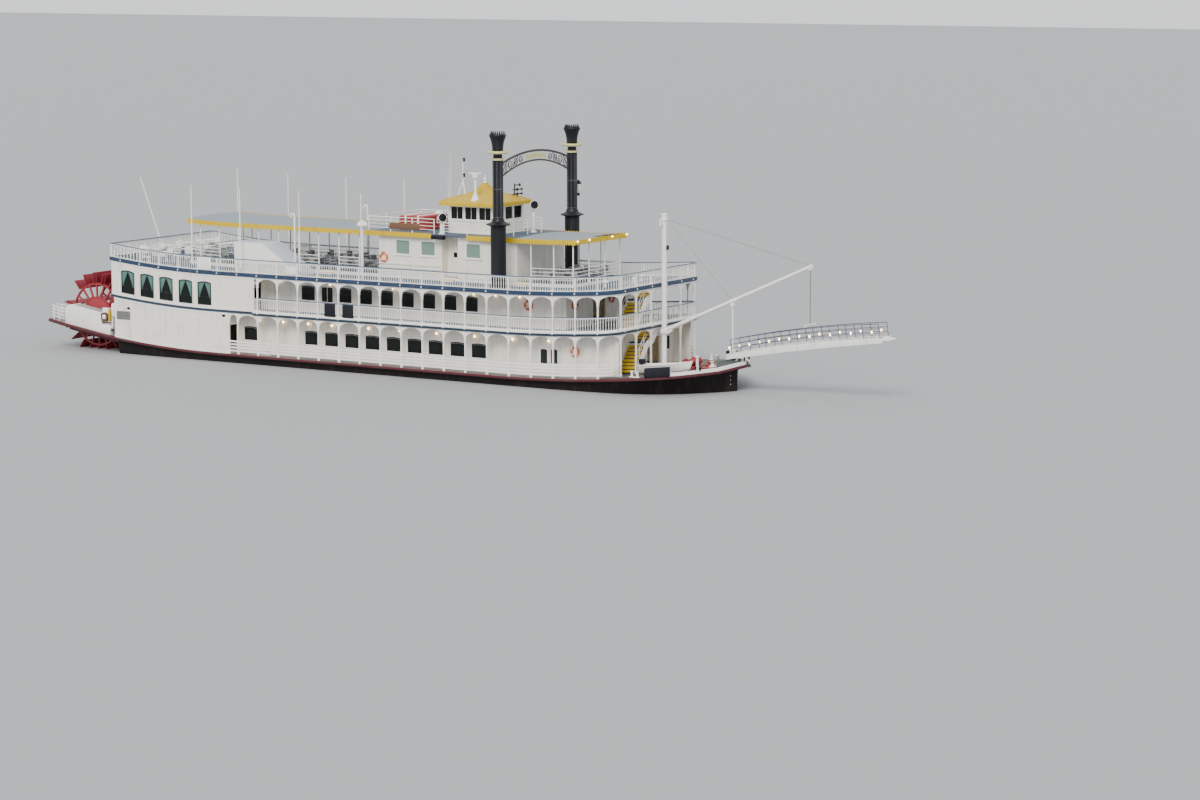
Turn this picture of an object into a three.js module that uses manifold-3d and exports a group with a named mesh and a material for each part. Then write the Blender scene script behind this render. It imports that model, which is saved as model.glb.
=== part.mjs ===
// Sternwheel passenger paddle boat, a 1:2 model of a 58 m river boat.
// Millimetres of the model. x runs forward, y to port, z up; the origin is on the flat bottom amidships.
import * as THREE from "three";
import { mergeVertices } from "three/addons/utils/BufferGeometryUtils.js";
import Module from "manifold-3d";

const wasm = await Module();
wasm.setup();

// Gap between pieces that touch, and gap round a piece that moves.
const FIT = 0.3;
const RUNNING = 5;
const STARBOARD = -1;
const PORT = 1;

// Levels above the hull bottom, before the sheer is added.
const HULL_TOP = 1212;
const MAIN_TOP = 1302;
const BOILER_UNDER = 2805;
const BOILER_TOP = 2905;
const ROOF_UNDER = 4175;
const ROOF_TOP = 4295;
const PLATFORM_TOP = 4420;
const BRIDGE_UNDER = 5900;
const BRIDGE_TOP = 5970;
const EAVE = 7025;

// Sheer: each deck rises by the square of the distance from where its curve starts.
// Forward it runs on straight under the foredeck, and lifts once more by the cube at the tip.
const AFT_SHEER_START = -6500;
const FORE_SHEER_START = 6000;
const FORE_SHEER_END = 10000;
const TIP_SHEER_START = 13000;
const AFT_SHEER = 1.2e-5;
const FORE_SHEER = 9.6e-6;
const TIP_SHEER = 5.5e-8;

// Columns stand every bay along the side.
const BAY = 914.5;
const FIRST_COLUMN = -11000;
const column = (k) => FIRST_COLUMN + k * BAY;
const STATIONS = Array.from({ length: 34 }, (_, i) => column(i - 4));

// Plan of the upper decks.
const HALF_BEAM = 3050;
const FASCIA_OUT = 12;
const CORNER_RADIUS = 650;
const CORNER_X = 10000;
const FRONT_EDGE = CORNER_X + CORNER_RADIUS;
const MAIN_AFT = -11360;
const BOILER_AFT = -11460;
const ROOF_AFT = -11500;
const PANEL = 50;

// Houses.
const MAIN_BULKHEAD = -5965;
const MAIN_HOUSE_HALF = 2450;
const MAIN_HOUSE_FRONT = 9780;
const MAIN_WALL_FRONT = 10500;
const MAIN_AFT_WALL = -11225;
const BOILER_BULKHEAD = -4815;
const BOILER_HOUSE_HALF = 2150;
const BOILER_HOUSE_FRONT = 8200;

// Foredeck and hull.
const FOREDECK_START = 10000;
const BOW_TIP = 14200;
const STEM = 13775;
const TRANSOM = -11300;
const HULL_HALF = 2950;
const BOTTOM_HALF = 2880;

// Stern wheel, its arms and the rudders.
const WHEEL_X = -12975;
const WHEEL_Z = 2250;
const WHEEL_RADIUS = 1600;
const WHEEL_HALF = 2250;
const SHAFT_RADIUS = 100;
const ARM_AFT = -14600;
const ARM_INNER = 2450;
const RUDDER_X = -10900;
const RUDDER_Y = 1500;
const TRUNK_BOTTOM = 470;

// Upper works.
const PLATFORM_HALF = 1600;
const STACK_X = 5550;
const STACK_Y = 2400;
const PILOT_AFT = 2450;
const PILOT_FRONT = 4400;
const PILOT_HALF = 950;

// Mast, boom and landing stage.
const MAST_X = 10860;
const MAST_RADIUS = 88;
const MAST_TOP = 6950;
const HEEL_Z = 2850;
const BOOM_TIP = { x: 16675, z: 5415 };
const STAGE_PIN = { x: 13600, z: 2330 };
const STAGE_TILT = 9;
const STAGE_HALF = 350;

const PAINT = {
  white: { color: 0xe9e6dc, roughness: 0.55, metalness: 0 },
  hullBlack: { color: 0x15161a, roughness: 0.5, metalness: 0 },
  guardRed: { color: 0x6b1f26, roughness: 0.6, metalness: 0 },
  deckBlue: { color: 0x37475a, roughness: 0.7, metalness: 0 },
  wheelRed: { color: 0x8d1626, roughness: 0.55, metalness: 0 },
  stackBlack: { color: 0x1c1d22, roughness: 0.45, metalness: 0.2 },
  canvas: { color: 0x9aa5ae, roughness: 0.85, metalness: 0 },
  ochre: { color: 0xc39a1c, roughness: 0.6, metalness: 0 },
  treadYellow: { color: 0xc9a31d, roughness: 0.7, metalness: 0 },
  machineRed: { color: 0xa01c22, roughness: 0.5, metalness: 0.2 },
  engineGrey: { color: 0x59605f, roughness: 0.6, metalness: 0.5 },
};

const boat = new THREE.Group();

function add(name, solid, paint) {
  const mesh = new THREE.Mesh(toGeometry(solid), new THREE.MeshStandardMaterial(PAINT[paint]));
  mesh.name = name;
  boat.add(mesh);
}

// Solids from three.js geometry and back.
function signedVolume(positions, index) {
  let sum = 0;
  for (let i = 0; i < index.length; i += 3) {
    const [a, b, c] = [0, 1, 2].map((k) => new THREE.Vector3().fromArray(positions, 3 * index[i + k]));
    sum += a.dot(b.cross(c));
  }
  return sum;
}

function toSolid(geometry) {
  const bare = geometry.clone();
  bare.deleteAttribute("normal");
  bare.deleteAttribute("uv");
  const merged = mergeVertices(bare, 1e-3);
  const vertProperties = new Float32Array(merged.attributes.position.array);
  const triVerts = new Uint32Array(merged.index.array);
  if (signedVolume(vertProperties, triVerts) < 0) triVerts.reverse();
  return new wasm.Manifold(new wasm.Mesh({ numProp: 3, vertProperties, triVerts }));
}

function toGeometry(solid) {
  const mesh = solid.getMesh();
  const geometry = new THREE.BufferGeometry();
  geometry.setAttribute("position", new THREE.BufferAttribute(new Float32Array(mesh.vertProperties), 3));
  geometry.setIndex(new THREE.BufferAttribute(new Uint32Array(mesh.triVerts), 1));
  geometry.computeVertexNormals();
  return geometry;
}

const join = (...solids) => solids.reduce((sum, solid) => sum.add(solid));
const cut = (solid, ...tools) => tools.reduce((rest, tool) => rest.subtract(tool), solid);

// Moves every vertex of a geometry by a rule.
function placed(geometry, rule) {
  const position = geometry.attributes.position;
  for (let i = 0; i < position.count; i++) {
    position.setXYZ(i, ...rule(position.getX(i), position.getY(i), position.getZ(i)));
  }
  return geometry;
}

// Splits triangles along lines of constant first coordinate, so that the sheet can bend there.
function creased(geometry, lines) {
  const points = [];
  const index = [...geometry.index.array];
  for (let i = 0; i < geometry.attributes.position.count; i++) {
    points.push(new THREE.Vector3().fromBufferAttribute(geometry.attributes.position, i).toArray());
  }
  for (const line of lines) {
    const made = new Map();
    const crossing = (a, b) => {
      const [low, high] = a < b ? [a, b] : [b, a];
      const key = `${low}_${high}`;
      if (!made.has(key)) {
        const part = (line - points[low][0]) / (points[high][0] - points[low][0]);
        points.push(points[low].map((v, k) => (k ? v + part * (points[high][k] - v) : line)));
        made.set(key, points.length - 1);
      }
      return made.get(key);
    };
    const sideOf = (v) => (Math.abs(points[v][0] - line) < CREASE_MERGE ? 0 : Math.sign(points[v][0] - line));
    for (let i = 0, end = index.length; i < end; i += 3) {
      const corners = index.slice(i, i + 3);
      const first = corners.findIndex((v, k) => sideOf(v) * sideOf(corners[(k + 1) % 3]) < 0);
      if (first < 0) continue;
      const [a, b, c] = [0, 1, 2].map((k) => corners[(first + k) % 3]);
      const ab = crossing(a, b);
      const pieces = [];
      if (sideOf(c) === 0) pieces.push([a, ab, c], [ab, b, c]);
      else if (sideOf(c) === sideOf(a)) {
        const bc = crossing(b, c);
        pieces.push([ab, b, bc], [a, ab, bc], [a, bc, c]);
      } else {
        const ca = crossing(c, a);
        pieces.push([a, ab, ca], [ab, b, c], [ab, c, ca]);
      }
      index.splice(i, 3, ...pieces[0]);
      index.push(...pieces.slice(1).flat());
    }
  }
  const split = new THREE.BufferGeometry();
  split.setAttribute("position", new THREE.Float32BufferAttribute(points.flat(), 3));
  return split.setIndex(index);
}

// The sheer, straight between stations so that every piece follows the same line.
function deckRise(x) {
  const aft = Math.max(AFT_SHEER_START - x, 0);
  const fore = Math.max(x - FORE_SHEER_START, 0);
  const curved = Math.min(fore, FORE_SHEER_END - FORE_SHEER_START);
  const tip = Math.max(x - TIP_SHEER_START, 0);
  return AFT_SHEER * aft * aft + FORE_SHEER * curved * (2 * fore - curved) + TIP_SHEER * tip ** 3;
}

function sheer(x) {
  const start = column(Math.floor((x - FIRST_COLUMN) / BAY));
  const part = (x - start) / BAY;
  return deckRise(start) * (1 - part) + deckRise(start + BAY) * part;
}

const isCurved = (x) => x < AFT_SHEER_START + BAY || x > FORE_SHEER_START - BAY;

function withStations(x0, x1, extra = []) {
  const inner = [...STATIONS.filter(isCurved), ...extra].filter((x) => x > x0 + 1 && x < x1 - 1);
  return [x0, ...inner.sort((a, b) => a - b), x1].filter((x, i, all) => i === 0 || x - all[i - 1] > 1);
}

// Plain shapes.
function block(x0, x1, y0, y1, z0, z1) {
  const box = new THREE.BoxGeometry(x1 - x0, y1 - y0, z1 - z0);
  return toSolid(box.translate((x0 + x1) / 2, (y0 + y1) / 2, (z0 + z1) / 2));
}

// A block that stands on a deck: its ends rise with the sheer.
function deckBlock(x0, x1, y0, y1, z0, z1) {
  return strip(x0, x1, [[y0, z0], [y1, z0], [y1, z1], [y0, z1]]);
}

function bar(from, to, radius, sides = 8) {
  const start = new THREE.Vector3(...from);
  const along = new THREE.Vector3(...to).sub(start);
  const geometry = new THREE.CylinderGeometry(radius, radius, along.length(), sides);
  geometry.translate(0, along.length() / 2, 0);
  geometry.applyQuaternion(new THREE.Quaternion().setFromUnitVectors(new THREE.Vector3(0, 1, 0), along.normalize()));
  return toSolid(geometry.translate(...from));
}

// Thin rods and posts are square.
const THIN = 4;

const post = (x, y, z0, z1, radius, sides) => bar([x, y, z0], [x, y, z1], radius, sides);

function turned(profile, sides, x, y) {
  const geometry = new THREE.LatheGeometry(profile.map(([r, z]) => new THREE.Vector2(r, z)), sides);
  return toSolid(geometry.rotateX(Math.PI / 2).translate(x, y, 0));
}

function loft(rings) {
  const count = rings[0].length;
  const index = [];
  for (let i = 0; i + 1 < rings.length; i++) {
    for (let j = 0; j < count; j++) {
      const a = i * count + j;
      const b = i * count + ((j + 1) % count);
      index.push(a, b, b + count, a, b + count, a + count);
    }
  }
  const outline = rings[0].map(([, y, z]) => new THREE.Vector2(y, z));
  const last = (rings.length - 1) * count;
  const turn = THREE.ShapeUtils.isClockWise(outline);
  for (const [a, b, c] of THREE.ShapeUtils.triangulateShape(outline, [])) {
    index.push(...(turn ? [a, c, b] : [a, b, c]).reverse());
    index.push(...(turn ? [a, c, b] : [a, b, c]).map((v) => last + v));
  }
  const forward = turn ? index.slice(0, 6 * count * (rings.length - 1)) : [];
  forward.forEach((_, i) => {
    if (i % 3 === 0) [index[i], index[i + 2]] = [index[i + 2], index[i]];
  });
  const geometry = new THREE.BufferGeometry();
  geometry.setAttribute("position", new THREE.Float32BufferAttribute(rings.flat(2), 3));
  geometry.setIndex(index);
  return toSolid(geometry);
}

// A constant [y, z] section run along x on the sheer.
function strip(x0, x1, section, extra = []) {
  return loft(withStations(x0, x1, extra).map((x) => section.map(([y, z]) => [x, y, z + sheer(x)])));
}

// Panels are drawn flat, extruded, cut and then stood up.
const CUT_OVERRUN = 20;
const CREASE_MERGE = 0.05;
function slab(points, low, high) {
  const shape = new THREE.Shape(points.map(([a, b]) => new THREE.Vector2(a, b)));
  return toSolid(new THREE.ExtrudeGeometry(shape, { depth: high - low, bevelEnabled: false }).translate(0, 0, low));
}

function flatPanel(outline, holes, thickness, rule) {
  const cutters = holes.map((hole) => slab(hole, -CUT_OVERRUN, thickness + CUT_OVERRUN));
  return toSolid(placed(toGeometry(cut(slab(outline, 0, thickness), ...cutters)), rule));
}

// Fore-and-aft panel: outline in [x, z] before the sheer, outer face at outerY on the given side.
function sidePanel(outline, holes, outerY, side, thickness = PANEL) {
  const raised = (points) => points.map(([x, z]) => [x, z + sheer(x)]);
  return flatPanel(raised(outline), holes.map(raised), thickness, (x, z, depth) => [x, side * (outerY - depth), z]);
}

// Athwart panel: outline in [y, z], aft face at x.
function crossPanel(outline, holes, x, thickness = PANEL) {
  return flatPanel(outline, holes, thickness, (y, z, depth) => [x + depth, y, z + sheer(x + depth)]);
}

function band(x0, x1, z0, z1) {
  const xs = withStations(x0, x1);
  return [...xs.map((x) => [x, z0]), ...xs.reverse().map((x) => [x, z1])];
}

const rectangle = (a0, a1, b0, b1) => [[a0, b0], [a1, b0], [a1, b1], [a0, b1]];

const WINDOW_ARCH = 45;
function windowHole(centre, width, sill, head) {
  const half = width / 2;
  return [
    [centre - half, sill],
    [centre + half, sill],
    [centre + half, head - WINDOW_ARCH],
    [centre + half / 2, head],
    [centre - half / 2, head],
    [centre - half, head - WINDOW_ARCH],
  ];
}

// Hull: flat bottom, hard bilges, raked stern, plumb stem.
const DECK_POWER = 3;
const DECK_FULLNESS = 0.92;
const HULL_POWER = 2.6;
const HULL_FULLNESS = 0.95;
const BOTTOM_FULLNESS = 0.8;
const BOTTOM_POWER = 2.2;
const DECK_TIP_HALF = 60;
const HULL_TIP_HALF = 25;
const BOTTOM_TIP_HALF = 22;
const foredeckHalf = (x) => {
  const t = Math.max(x - FOREDECK_START, 0) / (BOW_TIP - FOREDECK_START);
  return Math.max((HALF_BEAM + FASCIA_OUT) * (1 - t ** DECK_POWER) ** DECK_FULLNESS, DECK_TIP_HALF);
};

const hullHalf = (x) => {
  const t = Math.max(x - FOREDECK_START, 0) / (STEM - FOREDECK_START);
  return Math.max(HULL_HALF * (1 - t ** HULL_POWER) ** HULL_FULLNESS, HULL_TIP_HALF);
};

const BOTTOM_BOW_START = 7500;
const bottomHalf = (x) => {
  const t = Math.max(x - BOTTOM_BOW_START, 0) / (STEM - BOTTOM_BOW_START);
  return Math.max(BOTTOM_HALF * (1 - t ** BOTTOM_POWER) ** BOTTOM_FULLNESS, BOTTOM_TIP_HALF);
};

const RAKE_START = -8300;
const RAKE_HEIGHT = 720;
const FOREFOOT_START = 11000;
const FOREFOOT_HEIGHT = 650;
const BILGE = 260;
const hullBottom = (x) => {
  const aft = Math.max(RAKE_START - x, 0) / (RAKE_START - TRANSOM);
  const fore = Math.max(x - FOREFOOT_START, 0) / (STEM - FOREFOOT_START);
  return RAKE_HEIGHT * aft ** 1.5 + FOREFOOT_HEIGHT * fore ** 3;
};

function hullRing(x) {
  const z0 = hullBottom(x);
  const z1 = HULL_TOP - FIT + sheer(x);
  const low = bottomHalf(x);
  const high = hullHalf(x);
  const bilge = Math.min(BILGE, low / 2, (z1 - z0) / 3);
  const half = [[low - bilge, z0], [low, z0 + bilge], [high, z1]];
  const starboard = half.map(([y, z]) => [x, -y, z]).reverse();
  return [...half.map(([y, z]) => [x, y, z]), ...starboard];
}

const HULL_XS = [-10600, -9900, -9200, 7500, 8500, 9500, 10500, 11000, 11700, 12300, 12800, 13200, 13500, 13690];
const TRUNK_RADIUS = 110;
const TRUNK_TOP = 800;
const trunks = [STARBOARD, PORT].map((side) => post(RUDDER_X, side * RUDDER_Y, TRUNK_BOTTOM, TRUNK_TOP, TRUNK_RADIUS, 12));
add("hull", join(loft(withStations(TRANSOM, STEM, HULL_XS).map(hullRing)), ...trunks), "hullBlack");

// Decks.
function deckRing(x, half, z0, z1) {
  const rise = sheer(x);
  return [[x, -half, z0 + rise], [x, half, z0 + rise], [x, half, z1 + rise], [x, -half, z1 + rise]];
}

const FOREDECK_XS = [11000, 11600, 12200, 12700, 13100, 13450, 13750, 13950, 14080, 14160];
const mainDeckRun = (x0, x1) =>
  loft(withStations(x0, x1, FOREDECK_XS).map((x) => deckRing(x, foredeckHalf(x), HULL_TOP, MAIN_TOP)));

// Low bulwark round the bow: the deck outline less the same outline drawn in.
const BULWARK_START = 11900;
const BULWARK_HEIGHT = 90;
const BULWARK_WIDTH = 60;
const bulwarkXs = withStations(BULWARK_START, BOW_TIP, FOREDECK_XS);
const bulwarkOuter = loft(
  bulwarkXs.map((x) => deckRing(x, foredeckHalf(x) - 20, MAIN_TOP - 30, MAIN_TOP + BULWARK_HEIGHT)),
);
const bulwarkInner = loft(
  withStations(BULWARK_START - 50, BOW_TIP - BULWARK_WIDTH, FOREDECK_XS.slice(0, -1)).map((x) =>
    deckRing(x, Math.max(foredeckHalf(x + BULWARK_WIDTH) - BULWARK_WIDTH, 30), MAIN_TOP, MAIN_TOP + 2 * BULWARK_HEIGHT),
  ),
);

// The main deck is laid in four lengths: flat amidships, curved at each end, and the foredeck.
add("main_deck_aft", mainDeckRun(MAIN_AFT, AFT_SHEER_START - FIT), "guardRed");
add("main_deck", mainDeckRun(AFT_SHEER_START, FORE_SHEER_START - FIT), "guardRed");
add("main_deck_fore", mainDeckRun(FORE_SHEER_START, CORNER_X - FIT), "guardRed");
add("foredeck", join(mainDeckRun(CORNER_X, BOW_TIP), cut(bulwarkOuter, bulwarkInner)), "guardRed");

const CORNER_STEPS = [0, 1, 2, 3, 4, 5].map((i) => CORNER_X + CORNER_RADIUS * Math.sin((i * Math.PI) / 12));
const upperHalf = (x) => {
  const t = Math.max(x - CORNER_X, 0) / CORNER_RADIUS;
  return HALF_BEAM + FASCIA_OUT - CORNER_RADIUS * (1 - Math.sqrt(1 - Math.min(t, 1) ** 2));
};

function upperDeck(aft, z0, z1) {
  const front = FRONT_EDGE;
  return loft(withStations(aft, front, CORNER_STEPS).map((x) => deckRing(x, upperHalf(x), z0, z1)));
}

const STAIR_X0 = 9810;
const STAIR_X1 = 10530;
const STAIR_FOOT_Y = -1400;
const HOLE_Y0 = -850;
const LOWER_HEAD_Y = 280;
const UPPER_HEAD_Y = 90;
const stairHole = (head, z0, z1) => block(STAIR_X0 - 20, STAIR_X1 + 20, HOLE_Y0, head + 20, z0, z1 + 600);
add("boiler_deck", cut(upperDeck(BOILER_AFT, BOILER_UNDER, BOILER_TOP), stairHole(LOWER_HEAD_Y, 2500, 2905)), "deckBlue");
add("roof_deck", cut(upperDeck(ROOF_AFT, ROOF_UNDER, ROOF_TOP), stairHole(UPPER_HEAD_Y, 4000, 4295)), "deckBlue");

// Wheel arms: a walkway beam each side of the wheel, a casing over the bearing and a rail round the end.
const CASING_AFT = -13850;
const CASING_FORE = -11650;
const CASING_HEIGHT = 770;
const CASING_OUTER = 3000;
const CASING_ROUND = 340;
function casingOutline() {
  const [foot, top] = [MAIN_TOP - 20, MAIN_TOP + CASING_HEIGHT];
  const rounding = [0, 1, 2, 3].map((i) => {
    const angle = (i * Math.PI) / 6;
    return [CASING_AFT + CASING_ROUND * (1 - Math.sin(angle)), top - CASING_ROUND * (1 - Math.cos(angle))];
  });
  return [[CASING_AFT, foot], [CASING_FORE, foot], [CASING_FORE, top], ...rounding];
}

const BEARING_DEPTH = 120;
const RAIL_HEIGHT = 525;
const ARM_BEAM_DEPTH = 220;
function wheelArm(side) {
  const [inner, outer] = [side * ARM_INNER, side * (HALF_BEAM + FASCIA_OUT)];
  const [y0, y1] = [Math.min(inner, outer), Math.max(inner, outer)];
  const deck = deckBlock(ARM_AFT, MAIN_AFT - FIT, y0, y1, HULL_TOP, MAIN_TOP);
  const web = side * (ARM_INNER + 130);
  const beam = deckBlock(
    -14000,
    MAIN_AFT - FIT,
    Math.min(inner, web),
    Math.max(inner, web),
    HULL_TOP - ARM_BEAM_DEPTH,
    HULL_TOP + 20,
  );
  const railY = [side * (ARM_INNER + 25), side * (HALF_BEAM - 20)];
  const postX = [ARM_AFT + 30, (ARM_AFT + CASING_AFT) / 2, CASING_AFT - 40];
  const posts = railY.flatMap((y) =>
    postX.map((x) => post(x, y, MAIN_TOP - 20 + sheer(x), MAIN_TOP + RAIL_HEIGHT + sheer(x), 20, THIN)),
  );
  const bars = [0.985].flatMap((part) => {
    const z = MAIN_TOP + part * RAIL_HEIGHT;
    const at = (x, y) => [x, y, z + sheer(x)];
    const ends = [ARM_AFT + 30, CASING_AFT - 40];
    return [
      ...railY.map((y) => bar(at(ends[0], y), at(ends[1], y), 14, THIN)),
      bar(at(ends[0], railY[0]), at(ends[0], railY[1]), 14, THIN),
    ];
  });
  const caseY = [inner, side * CASING_OUTER].sort((a, b) => a - b);
  const casing = flatPanel(casingOutline(), [], caseY[1] - caseY[0], (a, b, depth) => [a, caseY[1] - depth, b + sheer(a)]);
  const boreEnd = inner + side * BEARING_DEPTH;
  const bore = bar([WHEEL_X, inner - side, WHEEL_Z], [WHEEL_X, boreEnd, WHEEL_Z], SHAFT_RADIUS + RUNNING, 24);
  return cut(join(deck, beam, casing, ...posts, ...bars), bore);
}

for (const [side, name] of [[STARBOARD, "stbd"], [PORT, "port"]]) {
  add(`wheel_arm_${name}`, wheelArm(side), "guardRed");
}

// Stern wheel: flat frames with spokes through a ring, joined by the shaft and the paddle boards.
const SPOKES = 20;
const FIRST_SPOKE_DEGREES = 2;
const spokeAngle = (i) => THREE.MathUtils.degToRad(FIRST_SPOKE_DEGREES + (i * 360) / SPOKES);
const HUB_RADIUS = 640;
const RING_INNER = 1150;
const RING_OUTER = 1215;
const SPOKE_HALF = 26;
const FRAME_THICKNESS = 50;
const FRAME_YS = [-2100, 2100];
function wheelFrame(y) {
  const turnTo = (radius, offset, i) => {
    const [c, s] = [Math.cos(spokeAngle(i)), Math.sin(spokeAngle(i))];
    return [radius * c - offset * s, radius * s + offset * c];
  };
  const arms = Array.from({ length: SPOKES }, (_, i) => i);
  const outline = arms.flatMap((i) => [
    turnTo(RING_OUTER, -SPOKE_HALF, i),
    turnTo(WHEEL_RADIUS - 30, -SPOKE_HALF, i),
    turnTo(WHEEL_RADIUS - 30, SPOKE_HALF, i),
    turnTo(RING_OUTER, SPOKE_HALF, i),
  ]);
  const holes = arms.map((i) => [
    turnTo(HUB_RADIUS, SPOKE_HALF, i),
    turnTo(RING_INNER, SPOKE_HALF, i),
    turnTo(RING_INNER, -SPOKE_HALF, i + 1),
    turnTo(HUB_RADIUS, -SPOKE_HALF, i + 1),
  ]);
  const half = FRAME_THICKNESS / 2;
  return flatPanel(outline, holes, FRAME_THICKNESS, (a, b, depth) => [WHEEL_X + a, y + half - depth, WHEEL_Z + b]);
}

const BOARD_DEPTH = 390;
const BOARD_THICKNESS = 36;
function paddleBoard(i) {
  const board = new THREE.BoxGeometry(BOARD_DEPTH, 2 * WHEEL_HALF, BOARD_THICKNESS);
  board.translate(WHEEL_RADIUS - BOARD_DEPTH / 2, 0, SPOKE_HALF + BOARD_THICKNESS / 2 - 6);
  board.rotateY(-spokeAngle(i));
  return toSolid(board.translate(WHEEL_X, 0, WHEEL_Z));
}

const shaftEnd = ARM_INNER + BEARING_DEPTH - FIT;
add(
  "wheel",
  join(
    bar([WHEEL_X, -shaftEnd, WHEEL_Z], [WHEEL_X, shaftEnd, WHEEL_Z], SHAFT_RADIUS, 16),
    ...FRAME_YS.map(wheelFrame),
    ...Array.from({ length: SPOKES }, (_, i) => paddleBoard(i)),
  ),
  "wheelRed",
);

// Rudders: a balanced blade under each trunk.
for (const [side, name] of [[STARBOARD, "stbd"], [PORT, "port"]]) {
  const y = side * RUDDER_Y;
  const blade = block(RUDDER_X - 600, RUDDER_X + 250, y - 30, y + 30, 40, 430);
  add(`rudder_${name}`, join(blade, post(RUDDER_X, y, 400, TRUNK_BOTTOM - FIT, 55, 12)), "hullBlack");
}

// House walls. Windows are [centre x] on a common sill; doors leave a hole down to a low sill.
const MAIN_WINDOWS = [11.29, 18.66, 20.47, 22.27, 24.14, 25.97, 27.79, 29.68, 31.49].map((x) => (x - 22) * 500);
const BOILER_WINDOWS = [16.12, 19.41, 21.24, 23.09, 24.91, 26.76, 28.59, 30.41].map((x) => (x - 22) * 500);
const SALOON_WINDOWS = [0.65, 2.49, 4.31, 6.14, 7.92].map((x) => (x - 22) * 500);
const DOOR_SILL = 20;
const DOOR_HEAD = 1040;
const DOORS = {
  double: { aft: 7250, fore: 8090 },
  service: { aft: 9200, fore: 9700 },
};

const mainWall = {
  z0: MAIN_TOP + FIT,
  z1: BOILER_UNDER - FIT,
};
const boilerWall = {
  z0: BOILER_TOP + FIT,
  z1: ROOF_UNDER - FIT,
};
const doorHole = ({ aft, fore }, deck) => rectangle(aft, fore, deck + DOOR_SILL, deck + DOOR_HEAD);

for (const [side, name] of [[STARBOARD, "stbd"], [PORT, "port"]]) {
  const mainHoles = [
    ...MAIN_WINDOWS.map((x) => windowHole(x, 585, MAIN_TOP + 460, MAIN_TOP + 950)),
    ...Object.values(DOORS).map((door) => doorHole(door, MAIN_TOP)),
  ];
  const mainOutline = band(MAIN_BULKHEAD + FIT, MAIN_WALL_FRONT, mainWall.z0, mainWall.z1);
  add(`main_wall_${name}`, sidePanel(mainOutline, mainHoles, MAIN_HOUSE_HALF, side), "white");
  const boilerHoles = BOILER_WINDOWS.map((x) => windowHole(x, 535, BOILER_TOP + 460, BOILER_TOP + 970));
  const boilerOutline = band(BOILER_BULKHEAD + FIT, BOILER_HOUSE_FRONT, boilerWall.z0, boilerWall.z1);
  add(`boiler_wall_${name}`, sidePanel(boilerOutline, boilerHoles, BOILER_HOUSE_HALF, side), "white");
}

function crossWall(half, wall, x, holes, gap = FIT) {
  const reach = half - PANEL - gap;
  return crossPanel(rectangle(-reach, reach, wall.z0, wall.z1), holes, x);
}

const PORCH_DOORS = { main: { y0: 620, y1: 1480 }, boiler: { y0: -430, y1: 430 } };
const WALKWAY_DOOR = { y0: 2480, y1: 2930 };
const walkwayDoors = (deck) => [
  rectangle(WALKWAY_DOOR.y0, WALKWAY_DOOR.y1, deck + DOOR_SILL, deck + DOOR_HEAD),
  rectangle(-WALKWAY_DOOR.y1, -WALKWAY_DOOR.y0, deck + DOOR_SILL, deck + DOOR_HEAD),
];
const porchHole = ({ y0, y1 }, deck) => rectangle(y0, y1, deck + DOOR_SILL, deck + DOOR_HEAD);
const sternWindows = [-1800, -600, 600, 1800].map((y) => windowHole(y, 585, BOILER_TOP + 350, BOILER_TOP + 980));
add("main_bulkhead", crossWall(HALF_BEAM, mainWall, MAIN_BULKHEAD - PANEL, walkwayDoors(MAIN_TOP)), "white");
add("main_front_wall", crossWall(MAIN_HOUSE_HALF, mainWall, MAIN_HOUSE_FRONT - PANEL, [porchHole(PORCH_DOORS.main, MAIN_TOP)]), "white");

// Aft plating: both sides and the wall across the stern in one shell.
const PLATING_LAP = 1;
function plating(wall, aft, fore, wallX, sideHoles, endHoles) {
  const outline = band(aft, fore, wall.z0, wall.z1);
  const shells = [STARBOARD, PORT].map((side) => sidePanel(outline, sideHoles, HALF_BEAM, side));
  return join(...shells, crossWall(HALF_BEAM, wall, wallX, endHoles, -PLATING_LAP));
}
const saloonHoles = SALOON_WINDOWS.map((x) => windowHole(x, 585, BOILER_TOP + 150, BOILER_TOP + 980));
add("main_plating", plating(mainWall, MAIN_AFT, MAIN_BULKHEAD, MAIN_AFT_WALL, [], []), "white");
add("boiler_plating", plating(boilerWall, BOILER_AFT, BOILER_BULKHEAD, BOILER_AFT, saloonHoles, sternWindows), "white");
add("boiler_bulkhead", crossWall(HALF_BEAM, boilerWall, BOILER_BULKHEAD - PANEL, walkwayDoors(BOILER_TOP)), "white");
add("boiler_front_wall", crossWall(BOILER_HOUSE_HALF, boilerWall, BOILER_HOUSE_FRONT - PANEL, [porchHole(PORCH_DOORS.boiler, BOILER_TOP)]), "white");

// Gallery edge: developed length s runs forward up the starboard side, round the corner and across the front.
const CORNER_LENGTH = (Math.PI / 2) * CORNER_RADIUS;
const FRONT_HALF = HALF_BEAM - CORNER_RADIUS;
const EDGE_TOTAL = 2 * CORNER_LENGTH + 2 * FRONT_HALF;
function edgeAt(s) {
  if (s > EDGE_TOTAL / 2) {
    const other = edgeAt(EDGE_TOTAL - s);
    return { ...other, y: -other.y, ny: -other.ny };
  }
  if (s <= 0) return { x: CORNER_X + s, y: -HALF_BEAM, nx: 0, ny: -1 };
  if (s >= CORNER_LENGTH) return { x: FRONT_EDGE, y: s - CORNER_LENGTH - FRONT_HALF, nx: 1, ny: 0 };
  const angle = s / CORNER_RADIUS;
  const [nx, ny] = [Math.sin(angle), -Math.cos(angle)];
  return { x: CORNER_X + CORNER_RADIUS * nx, y: -FRONT_HALF + CORNER_RADIUS * ny, nx, ny };
}

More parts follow.
